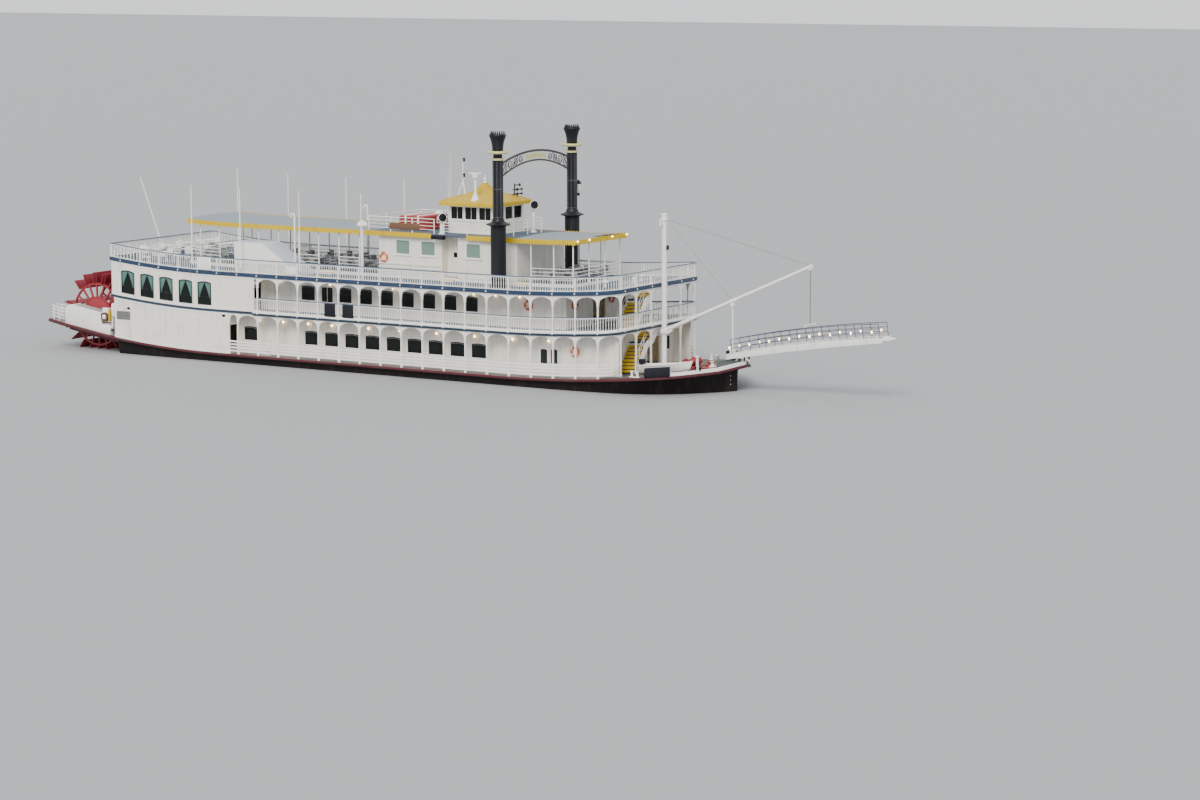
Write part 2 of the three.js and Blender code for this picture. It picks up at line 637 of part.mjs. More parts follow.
const SIDE_STOPS = STATIONS.filter((x) => isCurved(x) && x < CORNER_X).map((x) => x - CORNER_X);
const CORNER_PARTS = [0, 1, 2, 3, 4].map((i) => (i * CORNER_LENGTH) / 4);
const CORNER_STOPS = [...CORNER_PARTS, CORNER_RADIUS * Math.asin((column(23) - CORNER_X) / CORNER_RADIUS)];
const BEND_STOPS = [...CORNER_STOPS, ...CORNER_STOPS.map((s) => EDGE_TOTAL - s)].sort((a, b) => a - b);
const STOPS = [...SIDE_STOPS, ...CORNER_STOPS];
const ALL_STOPS = [...STOPS, ...STOPS.map((s) => EDGE_TOTAL - s)].sort((a, b) => a - b);
const stops = (s0, s1) => [s0, ...ALL_STOPS.filter((s) => s > s0 + 2 && s < s1 - 2), s1];

function edgeBand(s0, s1, z0, z1) {
  const run = stops(s0, s1);
  return [...run.map((s) => [s, z0]), ...run.reverse().map((s) => [s, z1])];
}

const ARCH_STEPS = 4;
function archHole(s0, s1, z0, spring, crown) {
  const arch = Array.from({ length: ARCH_STEPS - 1 }, (_, i) => {
    const angle = ((i + 1) * Math.PI) / ARCH_STEPS;
    return [(s0 + s1) / 2 + ((s1 - s0) / 2) * Math.cos(angle), spring + (crown - spring) * Math.sin(angle)];
  });
  return [...stops(s0, s1).map((s) => [s, z0]), [s1, spring], ...arch, [s0, spring]];
}

function edgePanel(outline, holes, side, thickness = PANEL) {
  const raised = (points) => points.map(([s, z]) => [s, z + sheer(edgeAt(s).x)]);
  const cutters = holes.map((hole) => slab(raised(hole), -CUT_OVERRUN, thickness + CUT_OVERRUN));
  const flat = toGeometry(cut(slab(raised(outline), 0, thickness), ...cutters));
  const bent = placed(creased(flat, BEND_STOPS), (s, z, depth) => {
    const { x, y, nx, ny } = edgeAt(s);
    const px = x - nx * depth;
    return [px, -side * (y - ny * depth), z - sheer(x) + sheer(px)];
  });
  return toSolid(bent);
}

const POST_HALF = 30;
const BALUSTER_HALF = 11;
const FOOT = 40;
const CAP = 36;
const ARCH_DEPTH = 330;
const HEADER = 45;
const BALUSTERS_PER_BAY = 0;

function balusterHoles(s0, s1, deck) {
  const gaps = Math.max(1, Math.round(((BALUSTERS_PER_BAY + 1) * (s1 - s0)) / BAY));
  const step = (s1 - s0) / gaps;
  return Array.from({ length: gaps }, (_, i) => {
    const left = s0 + i * step + (i ? BALUSTER_HALF : 0);
    const right = s0 + (i + 1) * step - (i + 1 < gaps ? BALUSTER_HALF : 0);
    return edgeBand(left, right, deck + FOOT, deck + RAIL_HEIGHT - CAP);
  });
}

const BAR_GAPS = [[20, 495]];
const barHoles = (s0, s1, deck) => BAR_GAPS.map(([low, high]) => edgeBand(s0, s1, deck + low, deck + high));

// One stretch of gallery between two decks: a railing below, an arched bracket over every bay.
function gallery({ posts, ends, deck, top, lower, archFrom, side }) {
  const bays = posts.slice(1).map((s, i) => [posts[i] + POST_HALF, s - POST_HALF]);
  const holes = bays.flatMap(([s0, s1]) => [
    ...lower(s0, s1, deck),
    archHole(s0, s1, deck + archFrom, top - ARCH_DEPTH, top - HEADER),
  ]);
  return edgePanel(edgeBand(ends[0], ends[1], deck + FIT, top - FIT), holes, side);
}

const columnS = (k) => column(k) - CORNER_X;
const SPLIT = columnS(22);
const FRONT_POSTS = [
  SPLIT,
  columnS(23),
  CORNER_LENGTH - 100,
  ...[-1500, -500, 500, 1500].map((y) => CORNER_LENGTH + FRONT_HALF + y),
  EDGE_TOTAL - CORNER_LENGTH + 100,
  EDGE_TOTAL - columnS(23),
  EDGE_TOTAL - SPLIT,
];
const FRONT_ENDS = [SPLIT + FIT, EDGE_TOTAL - SPLIT - FIT];
const sidePosts = (start, first) => [
  start + POST_HALF,
  ...Array.from({ length: 22 - first + 1 }, (_, i) => columnS(first + i)),
];

const MAIN_GALLERY_START = MAIN_BULKHEAD + FIT - CORNER_X;
const BOILER_GALLERY_START = BOILER_BULKHEAD + FIT - CORNER_X;
const noRail = () => [];
for (const [side, name] of [[STARBOARD, "stbd"], [PORT, "port"]]) {
  const main = gallery({
    posts: sidePosts(MAIN_GALLERY_START, 6),
    ends: [MAIN_GALLERY_START, SPLIT],
    deck: MAIN_TOP,
    top: BOILER_UNDER,
    lower: barHoles,
    archFrom: RAIL_HEIGHT,
    side,
  });
  add(`main_gallery_${name}`, main, "white");
  const boiler = gallery({
    posts: sidePosts(BOILER_GALLERY_START, 7),
    ends: [BOILER_GALLERY_START, SPLIT],
    deck: BOILER_TOP,
    top: ROOF_UNDER,
    lower: balusterHoles,
    archFrom: RAIL_HEIGHT,
    side,
  });
  add(`boiler_gallery_${name}`, boiler, "white");
}

const frontStretch = { posts: FRONT_POSTS, ends: FRONT_ENDS, side: -1 };
add(
  "main_gallery_front",
  gallery({ ...frontStretch, deck: MAIN_TOP, top: BOILER_UNDER, lower: noRail, archFrom: DOOR_SILL }),
  "white",
);
add(
  "boiler_gallery_front",
  gallery({ ...frontStretch, deck: BOILER_TOP, top: ROOF_UNDER, lower: balusterHoles, archFrom: RAIL_HEIGHT }),
  "white",
);

// Roof-deck balustrade.
function roofRail(posts, ends, side) {
  const holes = posts.slice(1).flatMap((s, i) => balusterHoles(posts[i] + POST_HALF, s - POST_HALF, ROOF_TOP));
  return edgePanel(edgeBand(ends[0], ends[1], ROOF_TOP + FIT, ROOF_TOP + RAIL_HEIGHT), holes, side);
}

// Tall thin poles clamped to the balustrade: x on each side.
const WHIP_RADIUS = 16;
const WHIP_TOP = 7450;
const WHIPS = {
  stbd: [6.8, 11.3, 16.7, 22.2].map((x) => (x - 22) * 500),
  port: [1.6, 6.5, 12.0, 17.4].map((x) => (x - 22) * 500),
};
const ROOF_START = ROOF_AFT - CORNER_X;
for (const [side, name] of [[STARBOARD, "stbd"], [PORT, "port"]]) {
  const posts = [ROOF_START + POST_HALF, ...Array.from({ length: 22 }, (_, i) => columnS(i + 1))];
  const rail = roofRail(posts, [ROOF_START, SPLIT], side);
  const whips = WHIPS[name].map((x) =>
    post(x, side * (HALF_BEAM - PANEL / 2), ROOF_TOP + 200 + sheer(x), WHIP_TOP, WHIP_RADIUS, THIN),
  );
  add(`roof_rail_${name}`, join(rail, ...whips), "white");
}
add("roof_rail_front", roofRail(FRONT_POSTS, FRONT_ENDS, -1), "white");

const AFT_RAIL_REACH = HALF_BEAM - PANEL - FIT;
const AFT_BAYS = 6;
const aftStep = (2 * AFT_RAIL_REACH) / AFT_BAYS;
const aftHoles = Array.from({ length: AFT_BAYS }, (_, i) => {
  const y = -AFT_RAIL_REACH + i * aftStep;
  return rectangle(y + POST_HALF, y + aftStep - POST_HALF, ROOF_TOP + FOOT, ROOF_TOP + RAIL_HEIGHT - CAP);
});
const aftRailOutline = rectangle(-AFT_RAIL_REACH, AFT_RAIL_REACH, ROOF_TOP + FIT, ROOF_TOP + RAIL_HEIGHT);
const staffFoot = [ROOF_AFT + 25, 0, ROOF_TOP + 500 + sheer(ROOF_AFT + 25)];
const staff = bar(staffFoot, [-12500, 0, 7300], 22, 8);
add("roof_rail_aft", join(crossPanel(aftRailOutline, aftHoles, ROOF_AFT), staff), "white");

// Raised platform down the middle of the roof deck, with the awning posts and their rails.
const PLATFORM_AFT = -8850;
const PLATFORM_FORE = 8150;
const AFT_POST_XS = [-8800, ...Array.from({ length: 9 }, (_, i) => -8375 + i * BAY)];
const FORE_POST_XS = [6350, 7300, 8100];
const FORE_POST_YS = [-517, 517];
const AWNING_UNDER = 5880;
const POST_Y = 1550;
const POST_RADIUS = 26;
const PLATFORM_BARS = [525];
const RAIL_RUNS = [[0, 2], [4, 7], [8, 9]];
const awningPost = (x, y) => {
  const top = AWNING_UNDER - FIT + Math.min(sheer(x - POST_RADIUS), sheer(x + POST_RADIUS));
  return post(x, y, PLATFORM_TOP - 20 + sheer(x), top, POST_RADIUS, THIN);
};
const railBar = (from, to, height) => {
  const at = ([x, y]) => [x, y, PLATFORM_TOP + height + sheer(x)];
  return bar(at(from), at(to), 16, THIN);
};
const platformSlab = deckBlock(PLATFORM_AFT, PLATFORM_FORE, -PLATFORM_HALF, PLATFORM_HALF, ROOF_TOP + FIT, PLATFORM_TOP);
const platformPosts = [
  ...[-POST_Y, POST_Y].flatMap((y) => [...AFT_POST_XS, ...FORE_POST_XS].map((x) => awningPost(x, y))),
  ...FORE_POST_YS.map((y) => awningPost(FORE_POST_XS[2], y)),
];
const platformRails = PLATFORM_BARS.flatMap((height) => [
  ...[-POST_Y, POST_Y].flatMap((y) => [
    ...RAIL_RUNS.map(([a, b]) => railBar([AFT_POST_XS[a], y], [AFT_POST_XS[b], y], height)),
    railBar([FORE_POST_XS[0], y], [FORE_POST_XS[1], y], height),
    railBar([FORE_POST_XS[1], y], [FORE_POST_XS[2], y], height),
  ]),
  railBar([AFT_POST_XS[0], -POST_Y], [AFT_POST_XS[0], POST_Y], height),
  railBar([FORE_POST_XS[2], -POST_Y], [FORE_POST_XS[2], POST_Y], height),
]);
add("roof_platform", join(platformSlab, ...platformPosts, ...platformRails), "white");

// Awnings: a cambered top with a valance hanging from each side.
const AWNING_HALF = 1680;
const AWNING_EDGE = 5960;
const AWNING_CROWN = 6040;
const VALANCE_FOOT = 5800;
const VALANCE_THICKNESS = 25;
const awningSection = [
  [-AWNING_HALF, VALANCE_FOOT],
  [-AWNING_HALF + VALANCE_THICKNESS, VALANCE_FOOT],
  [-AWNING_HALF + VALANCE_THICKNESS, AWNING_UNDER],
  [AWNING_HALF - VALANCE_THICKNESS, AWNING_UNDER],
  [AWNING_HALF - VALANCE_THICKNESS, VALANCE_FOOT],
  [AWNING_HALF, VALANCE_FOOT],
  [AWNING_HALF, AWNING_EDGE],
  [0, AWNING_CROWN],
  [-AWNING_HALF, AWNING_EDGE],
];
const BRIDGE_AFT = -600;
const BRIDGE_FORE = 5800;
add("awning_aft", strip(PLATFORM_AFT - 60, BRIDGE_AFT - FIT, awningSection), "canvas");
add("awning_fore", strip(BRIDGE_FORE + FIT, PLATFORM_FORE + 160, awningSection), "canvas");

// Texas house on the platform: a walled plan with a door recess each side.
const TEXAS_AFT = -200;
const TEXAS_FORE = 5750;
const TEXAS_HALF = 1525;
const RECESS = { aft: 2550, fore: 3250, depth: 380 };
function texasPlan(inset) {
  const half = TEXAS_HALF - inset;
  const deep = TEXAS_HALF - RECESS.depth - inset;
  const xs = [TEXAS_AFT + inset, RECESS.aft - inset, RECESS.fore + inset, TEXAS_FORE - inset];
  const portSide = [[xs[3], half], [xs[2], half], [xs[2], deep], [xs[1], deep], [xs[1], half], [xs[0], half]];
  return [...portSide, ...portSide.map(([x, y]) => [x, -y]).reverse()];
}
const upright = (outline, holes, z0, z1) => flatPanel(outline, holes, z1 - z0, (x, y, depth) => [x, y, z0 + depth]);
const TEXAS_WINDOWS = [
  { x: 850, width: 600 },
  { x: 1950, width: 600 },
  { x: 3900, width: 600 },
];
const TEXAS_SILL = 5175;
const TEXAS_HEAD = 5675;
const texasWindow = ({ x, width }) => block(x - width / 2, x + width / 2, -1600, 1600, TEXAS_SILL, TEXAS_HEAD);
const TEXAS_DOOR = { aft: 2660, fore: 3110, head: PLATFORM_TOP + 1020 };
const TEXAS_DOOR_Y = -(TEXAS_HALF - RECESS.depth);
const texasDoorHole = block(
  TEXAS_DOOR.aft,
  TEXAS_DOOR.fore,
  TEXAS_DOOR_Y - PANEL,
  TEXAS_DOOR_Y + 2 * PANEL,
  PLATFORM_TOP + DOOR_SILL,
  TEXAS_DOOR.head,
);
add(
  "texas_house",
  cut(
    upright(texasPlan(0), [texasPlan(PANEL)], PLATFORM_TOP + FIT + sheer(TEXAS_FORE), BRIDGE_UNDER - FIT),
    ...TEXAS_WINDOWS.map(texasWindow),
    texasDoorHole,
  ),
  "white",
);

// Bridge deck on the texas house, with open rails aft and ahead of the pilothouse.
const BRIDGE_HALF = 1680;
const BRIDGE_RAIL_AFT = [[-560, -1640], [-560, 1640]];
function bridgeRail(points) {
  const posts = points.map(([x, y]) => post(x, y, BRIDGE_TOP - 20, BRIDGE_TOP + RAIL_HEIGHT, 20, THIN));
  const bars = [0.975].flatMap((part) =>
    points.slice(1).map(([x, y], i) => {
      const z = BRIDGE_TOP + part * RAIL_HEIGHT;
      return bar([points[i][0], points[i][1], z], [x, y, z], 14, THIN);
    }),
  );
  return join(...posts, ...bars);
}
const aftRailSide = (side) => [1000, 2300].map((x) => [x, side * 1640]);
const BRIDGE_AFT_POINTS = [
  ...aftRailSide(STARBOARD).reverse(),
  ...BRIDGE_RAIL_AFT,
  ...aftRailSide(PORT),
];
const BRIDGE_FORE_POINTS = [[4460, -900], [5200, -900], [5200, 900], [4460, 900]];
add(
  "bridge_deck",
  join(
    block(BRIDGE_AFT, BRIDGE_FORE, -BRIDGE_HALF, BRIDGE_HALF, BRIDGE_UNDER, BRIDGE_TOP),
    bridgeRail(BRIDGE_AFT_POINTS),
    bridgeRail(BRIDGE_FORE_POINTS),
  ),
  "white",
);

// Pilothouse: four walls with wide windows, a door aft, and a tent roof.
const SILL = 6475;
const HEAD = 6925;
const SIDE_LIGHTS = [[2560, 3080], [3160, 3680], [3760, 4280]];
const FRONT_LIGHTS = [[-840, -320], [-240, 240], [320, 840]];
const PILOT_DOOR = { y0: -225, y1: 225 };
const pilotShell = upright(
  rectangle(PILOT_AFT, PILOT_FRONT, -PILOT_HALF, PILOT_HALF),
  [rectangle(PILOT_AFT + PANEL, PILOT_FRONT - PANEL, -PILOT_HALF + PANEL, PILOT_HALF - PANEL)],
  BRIDGE_TOP + FIT,
  EAVE - FIT,
);
add(
  "pilothouse",
  cut(
    pilotShell,
    ...SIDE_LIGHTS.map(([x0, x1]) => block(x0, x1, -1000, 1000, SILL, HEAD)),
    ...FRONT_LIGHTS.map(([y0, y1]) => block(PILOT_FRONT - 100, PILOT_FRONT + 100, y0, y1, SILL, HEAD)),
    block(PILOT_AFT - 100, PILOT_AFT + 100, PILOT_DOOR.y0, PILOT_DOOR.y1, BRIDGE_TOP + DOOR_SILL, HEAD),
  ),
  "white",
);

// Tent roof: [share of the eave, height above the eave].
const ROOF_STEPS = [[1, 0], [1, 50], [0.8, 150], [0.56, 270], [0.32, 350], [0.17, 440], [0.08, 560], [0.03, 725]];
const ROOF_CENTRE_X = 3390;
const ROOF_HALF = { x: 1170, y: 1190 };
const roofRings = ROOF_STEPS.map(([share, height]) => {
  const [a, b] = [ROOF_HALF.x * share, ROOF_HALF.y * share];
  return [[-a, -b], [a, -b], [a, b], [-a, b]].map(([x, y]) => [y, x, height]);
});
function tentRoof() {
  const stacked = roofRings.map((ring) => ring.map(([y, x, height]) => [height, x, y]));
  const solid = toGeometry(loft(stacked));
  return toSolid(placed(solid, (height, x, y) => [ROOF_CENTRE_X + x, y, EAVE + height]));
}
add("pilothouse_roof", tentRoof(), "ochre");

// Smoke stacks: [radius, height], open at the crown.
const STACK_FOOT = ROOF_TOP + FIT + sheer(STACK_X + 270);
const STACK_PROFILE = [
  [0, STACK_FOOT],
  [270, STACK_FOOT],
  [270, 6480],
  [425, 6500],
  [420, 6540],
  [230, 6620],
  [175, 6760],
  [175, 8730],
  [212, 8740],
  [212, 8785],
  [190, 8795],
  [190, 8990],
  [350, 9005],
  [350, 9055],
  [185, 9070],
  [200, 9300],
  [290, 9640],
  [272, 9640],
  [165, 9250],
  [150, 8600],
  [0, 8600],
];
for (const [side, name] of [[STARBOARD, "stbd"], [PORT, "port"]]) {
  add(`stack_${name}`, turned(STACK_PROFILE, 12, STACK_X, side * STACK_Y), "stackBlack");
}

// Scrolled arch between the stacks: two bows with webs between them.
const ARCH_REACH = STACK_Y - 175 - FIT;
const UPPER_BOW = { spring: 8615, crown: 8985 };
const LOWER_BOW = { spring: 8150, crown: 8640 };
const BOW_BAR = 34;
const bowAt = ({ spring, crown }, y) => spring + (crown - spring) * (1 - (y / ARCH_REACH) ** 2);
const WEBS = 10;
function stackArch() {
  const ys = Array.from({ length: WEBS + 1 }, (_, i) => -ARCH_REACH + (i * 2 * ARCH_REACH) / WEBS);
  const outline = [
    ...ys.map((y) => [y, bowAt(LOWER_BOW, y)]),
    ...ys.map((y) => [y, bowAt(UPPER_BOW, y)]).reverse(),
  ];
  const holes = ys.slice(1).map((y1, i) => {
    const [a, b] = [ys[i] + (i ? BOW_BAR / 2 : BOW_BAR), y1 - (i + 1 < WEBS ? BOW_BAR / 2 : BOW_BAR)];
    const low = (y) => bowAt(LOWER_BOW, y) + BOW_BAR;
    const high = (y) => bowAt(UPPER_BOW, y) - BOW_BAR;
    return [[a, low(a)], [b, low(b)], [b, high(b)], [a, high(a)]];
  });
  return flatPanel(outline, holes, 36, (y, z, depth) => [STACK_X - 18 + depth, y, z]);
}
add("stack_arch", stackArch(), "stackBlack");

// Stair cover on the roof deck, open below.
const COVER = { aft: -5800, knee: -4550, fore: -2820, y0: -2800, y1: -1760, top: 5400 };
const coverProfile = (inset) => [
  [COVER.aft + inset, ROOF_TOP + FIT - (inset ? 50 : 0)],
  [COVER.fore - 2 * inset, ROOF_TOP + FIT - (inset ? 50 : 0)],
  [COVER.knee - inset, COVER.top - inset],
  [COVER.aft + inset, COVER.top - inset],
];
const coverSolid = (inset) =>
  flatPanel(coverProfile(inset), [], COVER.y1 - COVER.y0 - 2 * inset, (x, z, depth) => [x, COVER.y0 + inset + depth, z]);
add("stair_cover", cut(coverSolid(0), coverSolid(40)), "white");

// Front stairs: two flights with a landing, climbing from starboard to port.
function stair({ foot, risers, run, landing, base, top }) {
  const rise = (top - base) / (risers[0] + risers[1]);
  const points = [];
  let [y, z] = [foot, base];
  risers.forEach((count, flight) => {
    for (let i = 0; i < count; i++) {
      points.push([y, z + rise]);
      z += rise;
      y += run;
      if (i + 1 === count && flight === 0) y += landing - run;
      points.push([y, z]);
    }
  });
  const end = points[points.length - 1][0];
  const kneeY = foot + risers[0] * run + landing;
  const kneeZ = base + risers[0] * rise;
  const outline = [
    [foot, base],
    ...points,
    [end, top - 150],
    [kneeY, kneeZ - 150],
    [kneeY - landing, kneeZ - 150],
    [foot + 140, base],
  ];
  return flatPanel(outline, [], STAIR_X1 - STAIR_X0, (a, b, depth) => {
    const x = STAIR_X0 + depth;
    return [x, a, b + sheer(x)];
  });
}
const LOWER_STAIR = { foot: STAIR_FOOT_Y, risers: [9, 5], run: 95, landing: 350, base: MAIN_TOP + FIT, top: BOILER_TOP };
const UPPER_STAIR = { foot: STAIR_FOOT_Y, risers: [8, 4], run: 95, landing: 350, base: BOILER_TOP + FIT, top: ROOF_TOP };
add("stair_lower", stair(LOWER_STAIR), "treadYellow");
add("stair_upper", stair(UPPER_STAIR), "treadYellow");

// Mast on the foredeck, with a flange under each swivel ring.
const mastFoot = MAIN_TOP + FIT + sheer(MAST_X + MAST_RADIUS);
const RING_GAP = 12;
const HEAD_Z = 6720;
const flange = (z, radius) => post(MAST_X, 0, z - 30, z, radius, 16);
add(
  "mast",
  join(
    post(MAST_X, 0, mastFoot, MAST_TOP, MAST_RADIUS, 16),
    flange(HEEL_Z - 70 - FIT, 140),
    flange(HEAD_Z - FIT, 125),
  ),
  "white",
);

// Boom: spar, swivel rings on the mast, rigid heel pendant, tip fall and the two topping stays.
function swivelRing(z0, z1, outer) {
  return cut(post(MAST_X, 0, z0, z1, outer, 16), post(MAST_X, 0, z0 - 5, z1 + 5, MAST_RADIUS + RING_GAP, 16));
}
const boomAt = (x) => HEEL_Z + ((BOOM_TIP.z - HEEL_Z) * (x - MAST_X)) / (BOOM_TIP.x - MAST_X);
const PENDANT_X = STAGE_PIN.x;
const EYE_RADIUS = 70;
const PIN_RADIUS = 32;
const PIN_SIDES = 24;
const PIN_BORE = (PIN_RADIUS + FIT) / Math.cos(Math.PI / PIN_SIDES);
const pendantEye = cut(
  bar([PENDANT_X, -40, STAGE_PIN.z], [PENDANT_X, 40, STAGE_PIN.z], EYE_RADIUS, 16),
  bar([PENDANT_X, -50, STAGE_PIN.z], [PENDANT_X, 50, STAGE_PIN.z], PIN_BORE, PIN_SIDES),
);
const FALL_FOOT = 3420;
add(
  "boom",
  join(
    swivelRing(HEEL_Z - 70, HEEL_Z + 70, 155),
    bar([MAST_X + 125, 0, boomAt(MAST_X + 125)], [BOOM_TIP.x, 0, BOOM_TIP.z], 66, 10),
    bar([PENDANT_X, 0, STAGE_PIN.z + 50], [PENDANT_X, 0, boomAt(PENDANT_X)], 30, 8),
    pendantEye,
    bar([BOOM_TIP.x - 60, 0, FALL_FOOT], [BOOM_TIP.x - 60, 0, BOOM_TIP.z - 30], 20, 6),
    bar([BOOM_TIP.x - 60, -STAGE_HALF, FALL_FOOT], [BOOM_TIP.x - 60, STAGE_HALF, FALL_FOOT], 24, 6),
    swivelRing(HEAD_Z, HEAD_Z + 60, 140),
    bar([MAST_X + 120, 0, HEAD_Z + 30], [BOOM_TIP.x - 20, 0, BOOM_TIP.z], 13, 6),
    bar([MAST_X + 120, 0, HEAD_Z + 30], [PENDANT_X, 0, boomAt(PENDANT_X)], 13, 6),
  ),
  "white",
);

// Landing stage, drawn level from its heel pin and then tilted.
const STAGE_LENGTH = 5950;
const STAGE_HEEL = -100;
const STAGE_BEAM = 110;
const STAGE_STEPS = 5;
const stageCamber = (x) => 110 * (1 - ((2 * (x - STAGE_HEEL)) / (STAGE_LENGTH - STAGE_HEEL) - 1) ** 2);
const stageDepth = (x) => 170 + 60 * (1 - ((2 * (x - STAGE_HEEL)) / (STAGE_LENGTH - STAGE_HEEL) - 1) ** 2);
function stage() {
  const deck = -80;
  const xs = Array.from({ length: STAGE_STEPS + 1 }, (_, i) => STAGE_HEEL + (i * (STAGE_LENGTH - STAGE_HEEL)) / STAGE_STEPS);
  const section = (x, y0, y1, top, depth) => {
    const z = deck + stageCamber(x) + top;
    return [[x, y0, z - depth], [x, y1, z - depth], [x, y1, z], [x, y0, z]];
  };
  const half = STAGE_HALF;
  const beams = [-half, half - STAGE_BEAM].map((y) => loft(xs.map((x) => section(x, y, y + STAGE_BEAM, 0, stageDepth(x)))));
  const walk = loft(xs.map((x) => section(x, -half + 20, half - 20, -20, 40)));
  const railXs = xs.map((x, i) => x + (i === 0 ? 250 : 0) - (i === STAGE_STEPS ? 60 : 0));
  const rails = [-half + 40, half - 40].flatMap((y) => [
    ...railXs.map((x) => post(x, y, deck + stageCamber(x) - 30, deck + stageCamber(x) + 480, 20, THIN)),
    ...[470].flatMap((height) =>
      railXs.slice(1).map((x, i) => {
        const at = (px) => [px, y, deck + stageCamber(px) + height];
        return bar(at(railXs[i]), at(x), 15, THIN);
      }),
    ),
  ]);
  const lugs = [[-90, -40 - RUNNING], [40 + RUNNING, 90]].map(([y0, y1]) => block(-70, 70, y0, y1, deck - 60, 60));
  const pin = bar([0, -90, 0], [0, 90, 0], PIN_RADIUS, PIN_SIDES);
  const flat = toGeometry(join(...beams, walk, ...rails, ...lugs, pin));
  flat.rotateY(THREE.MathUtils.degToRad(-STAGE_TILT));
  return toSolid(flat.translate(STAGE_PIN.x, 0, STAGE_PIN.z));
}
add("stage", stage(), "white");

// Foredeck gear.
const SKIFF = { x0: 11000, x1: 12950, y: -1700, half: 330 };
function skiff() {
  const length = SKIFF.x1 - SKIFF.x0;
  const steps = [0, 0.12, 0.4, 0.7, 0.88, 1];
  const rings = (inset) =>
    steps.map((t) => {
      const x = SKIFF.x0 + inset + t * (length - 2 * inset);
      const half = SKIFF.half * (1 - 0.9 * Math.max(t - 0.4, 0) ** 2 * 2.4) - inset;
      const z0 = MAIN_TOP + FIT + 20 + sheer(x) + 60 * Math.max(t - 0.7, 0) + inset;
      const z1 = MAIN_TOP + sheer(x) + 290 + (inset ? 50 : 0);
      return [
        [x, SKIFF.y - half * 0.7, z0],
        [x, SKIFF.y + half * 0.7, z0],
        [x, SKIFF.y + half, z1],
        [x, SKIFF.y - half, z1],
      ];
    });
  const chocks = [SKIFF.x0 + 300, SKIFF.x1 - 400].map((x) =>
    deckBlock(x, x + 60, SKIFF.y - 200, SKIFF.y + 200, MAIN_TOP + FIT, MAIN_TOP + 40),
  );
  return join(cut(loft(rings(0)), loft(rings(28))), ...chocks);
}
add("skiff", skiff(), "white");

// Foredeck machinery on one bed: a winch with its drum, and a capstan ahead of it.
const WINCH = { x: 11900, drum: 150 };
const CAPSTAN_X = 12800;
const CAPSTAN_PROFILE = [[0, 0], [130, 0], [130, 60], [60, 75], [45, 140], [70, 180], [95, 190], [95, 210], [0, 210]];
function foredeckMachinery() {
  const z = MAIN_TOP + sheer(WINCH.x);
  const bed = deckBlock(WINCH.x - 260, WINCH.x + 260, -400, 400, MAIN_TOP + FIT, MAIN_TOP + 60);
  const tongue = deckBlock(WINCH.x, CAPSTAN_X + 140, -150, 150, MAIN_TOP + FIT, MAIN_TOP + 45);
  const capstanFoot = MAIN_TOP + 25 + sheer(CAPSTAN_X);
  const capstan = turned(CAPSTAN_PROFILE.map(([r, h]) => [r, h + capstanFoot]), 12, CAPSTAN_X, 0);
  const cheeks = [-400, 360].map((y) => block(WINCH.x - 150, WINCH.x + 150, y, y + 40, z + 30, z + 330));
  const drum = bar([WINCH.x, -380, z + 220], [WINCH.x, 380, z + 220], WINCH.drum * 0.7, 16);
  const flanges = [-300, 270].map((y) => bar([WINCH.x, y, z + 220], [WINCH.x, y + 30, z + 220], WINCH.drum, 16));
  return join(bed, tongue, capstan, ...cheeks, drum, ...flanges);
}
add("foredeck_machinery", foredeckMachinery(), "machineRed");

// Engine: one plain block on the main deck, in the aft full-width part.
const ENGINE = { x0: -9800, x1: -8000, half: 450, height: 850 };
add(
  "engine",
  deckBlock(ENGINE.x0, ENGINE.x1, -ENGINE.half, ENGINE.half, MAIN_TOP + FIT, MAIN_TOP + ENGINE.height),
  "engineGrey",
);

// Doors: each leaf touches its hinge jamb and clears the rest of its hole.
const LEAF_THICKNESS = 36;
function sideLeaf(hinge, free, deck, outerY, side) {
  const toward = Math.sign(free - hinge);
  const [x0, x1] = [hinge + toward * FIT, free - toward * RUNNING].sort((a, b) => a - b);
  const outline = rectangle(x0, x1, deck + DOOR_SILL + RUNNING, deck + DOOR_HEAD - RUNNING);
  return sidePanel(outline, [], outerY, side, LEAF_THICKNESS);
}
for (const [side, name] of [[STARBOARD, "stbd"], [PORT, "port"]]) {
  const { double, service } = DOORS;
  const middle = (double.aft + double.fore) / 2;
  add(`door_double_aft_${name}`, sideLeaf(double.aft, middle, MAIN_TOP, MAIN_HOUSE_HALF, side), "white");
  add(`door_double_fore_${name}`, sideLeaf(double.fore, middle, MAIN_TOP, MAIN_HOUSE_HALF, side), "white");
  add(`door_service_${name}`, sideLeaf(service.aft, service.fore, MAIN_TOP, MAIN_HOUSE_HALF, side), "white");
}
add(
  "door_texas",
  block(
    TEXAS_DOOR.aft + FIT,
    TEXAS_DOOR.fore - RUNNING,
    TEXAS_DOOR_Y,
    TEXAS_DOOR_Y + LEAF_THICKNESS,
    PLATFORM_TOP + DOOR_SILL + RUNNING,
    TEXAS_DOOR.head - RUNNING,
  ),
  "white",
);
add(
  "door_pilothouse",
  block(
    PILOT_AFT,
    PILOT_AFT + LEAF_THICKNESS,
    PILOT_DOOR.y0 + FIT,
    PILOT_DOOR.y1 - RUNNING,
    BRIDGE_TOP + DOOR_SILL + RUNNING,
    HEAD - RUNNING,
  ),
  "white",
);

export default boat;
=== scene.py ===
"""Sternwheel passenger boat at half scale, dressed round its fixed frame.

The boat lies afloat: the studio's floor is its waterline. Lengths are metres of the model, x runs
forward, y to port and z up. Every deck follows one sheer and one plan, which the class Lines holds;
each other class builds one sub-assembly and dresses it.
"""

import logging
import math
from dataclasses import dataclass, field
from enum import Enum
from typing import Callable, Iterable, Sequence

import bpy
import numpy as np
from mathutils import Matrix, Vector


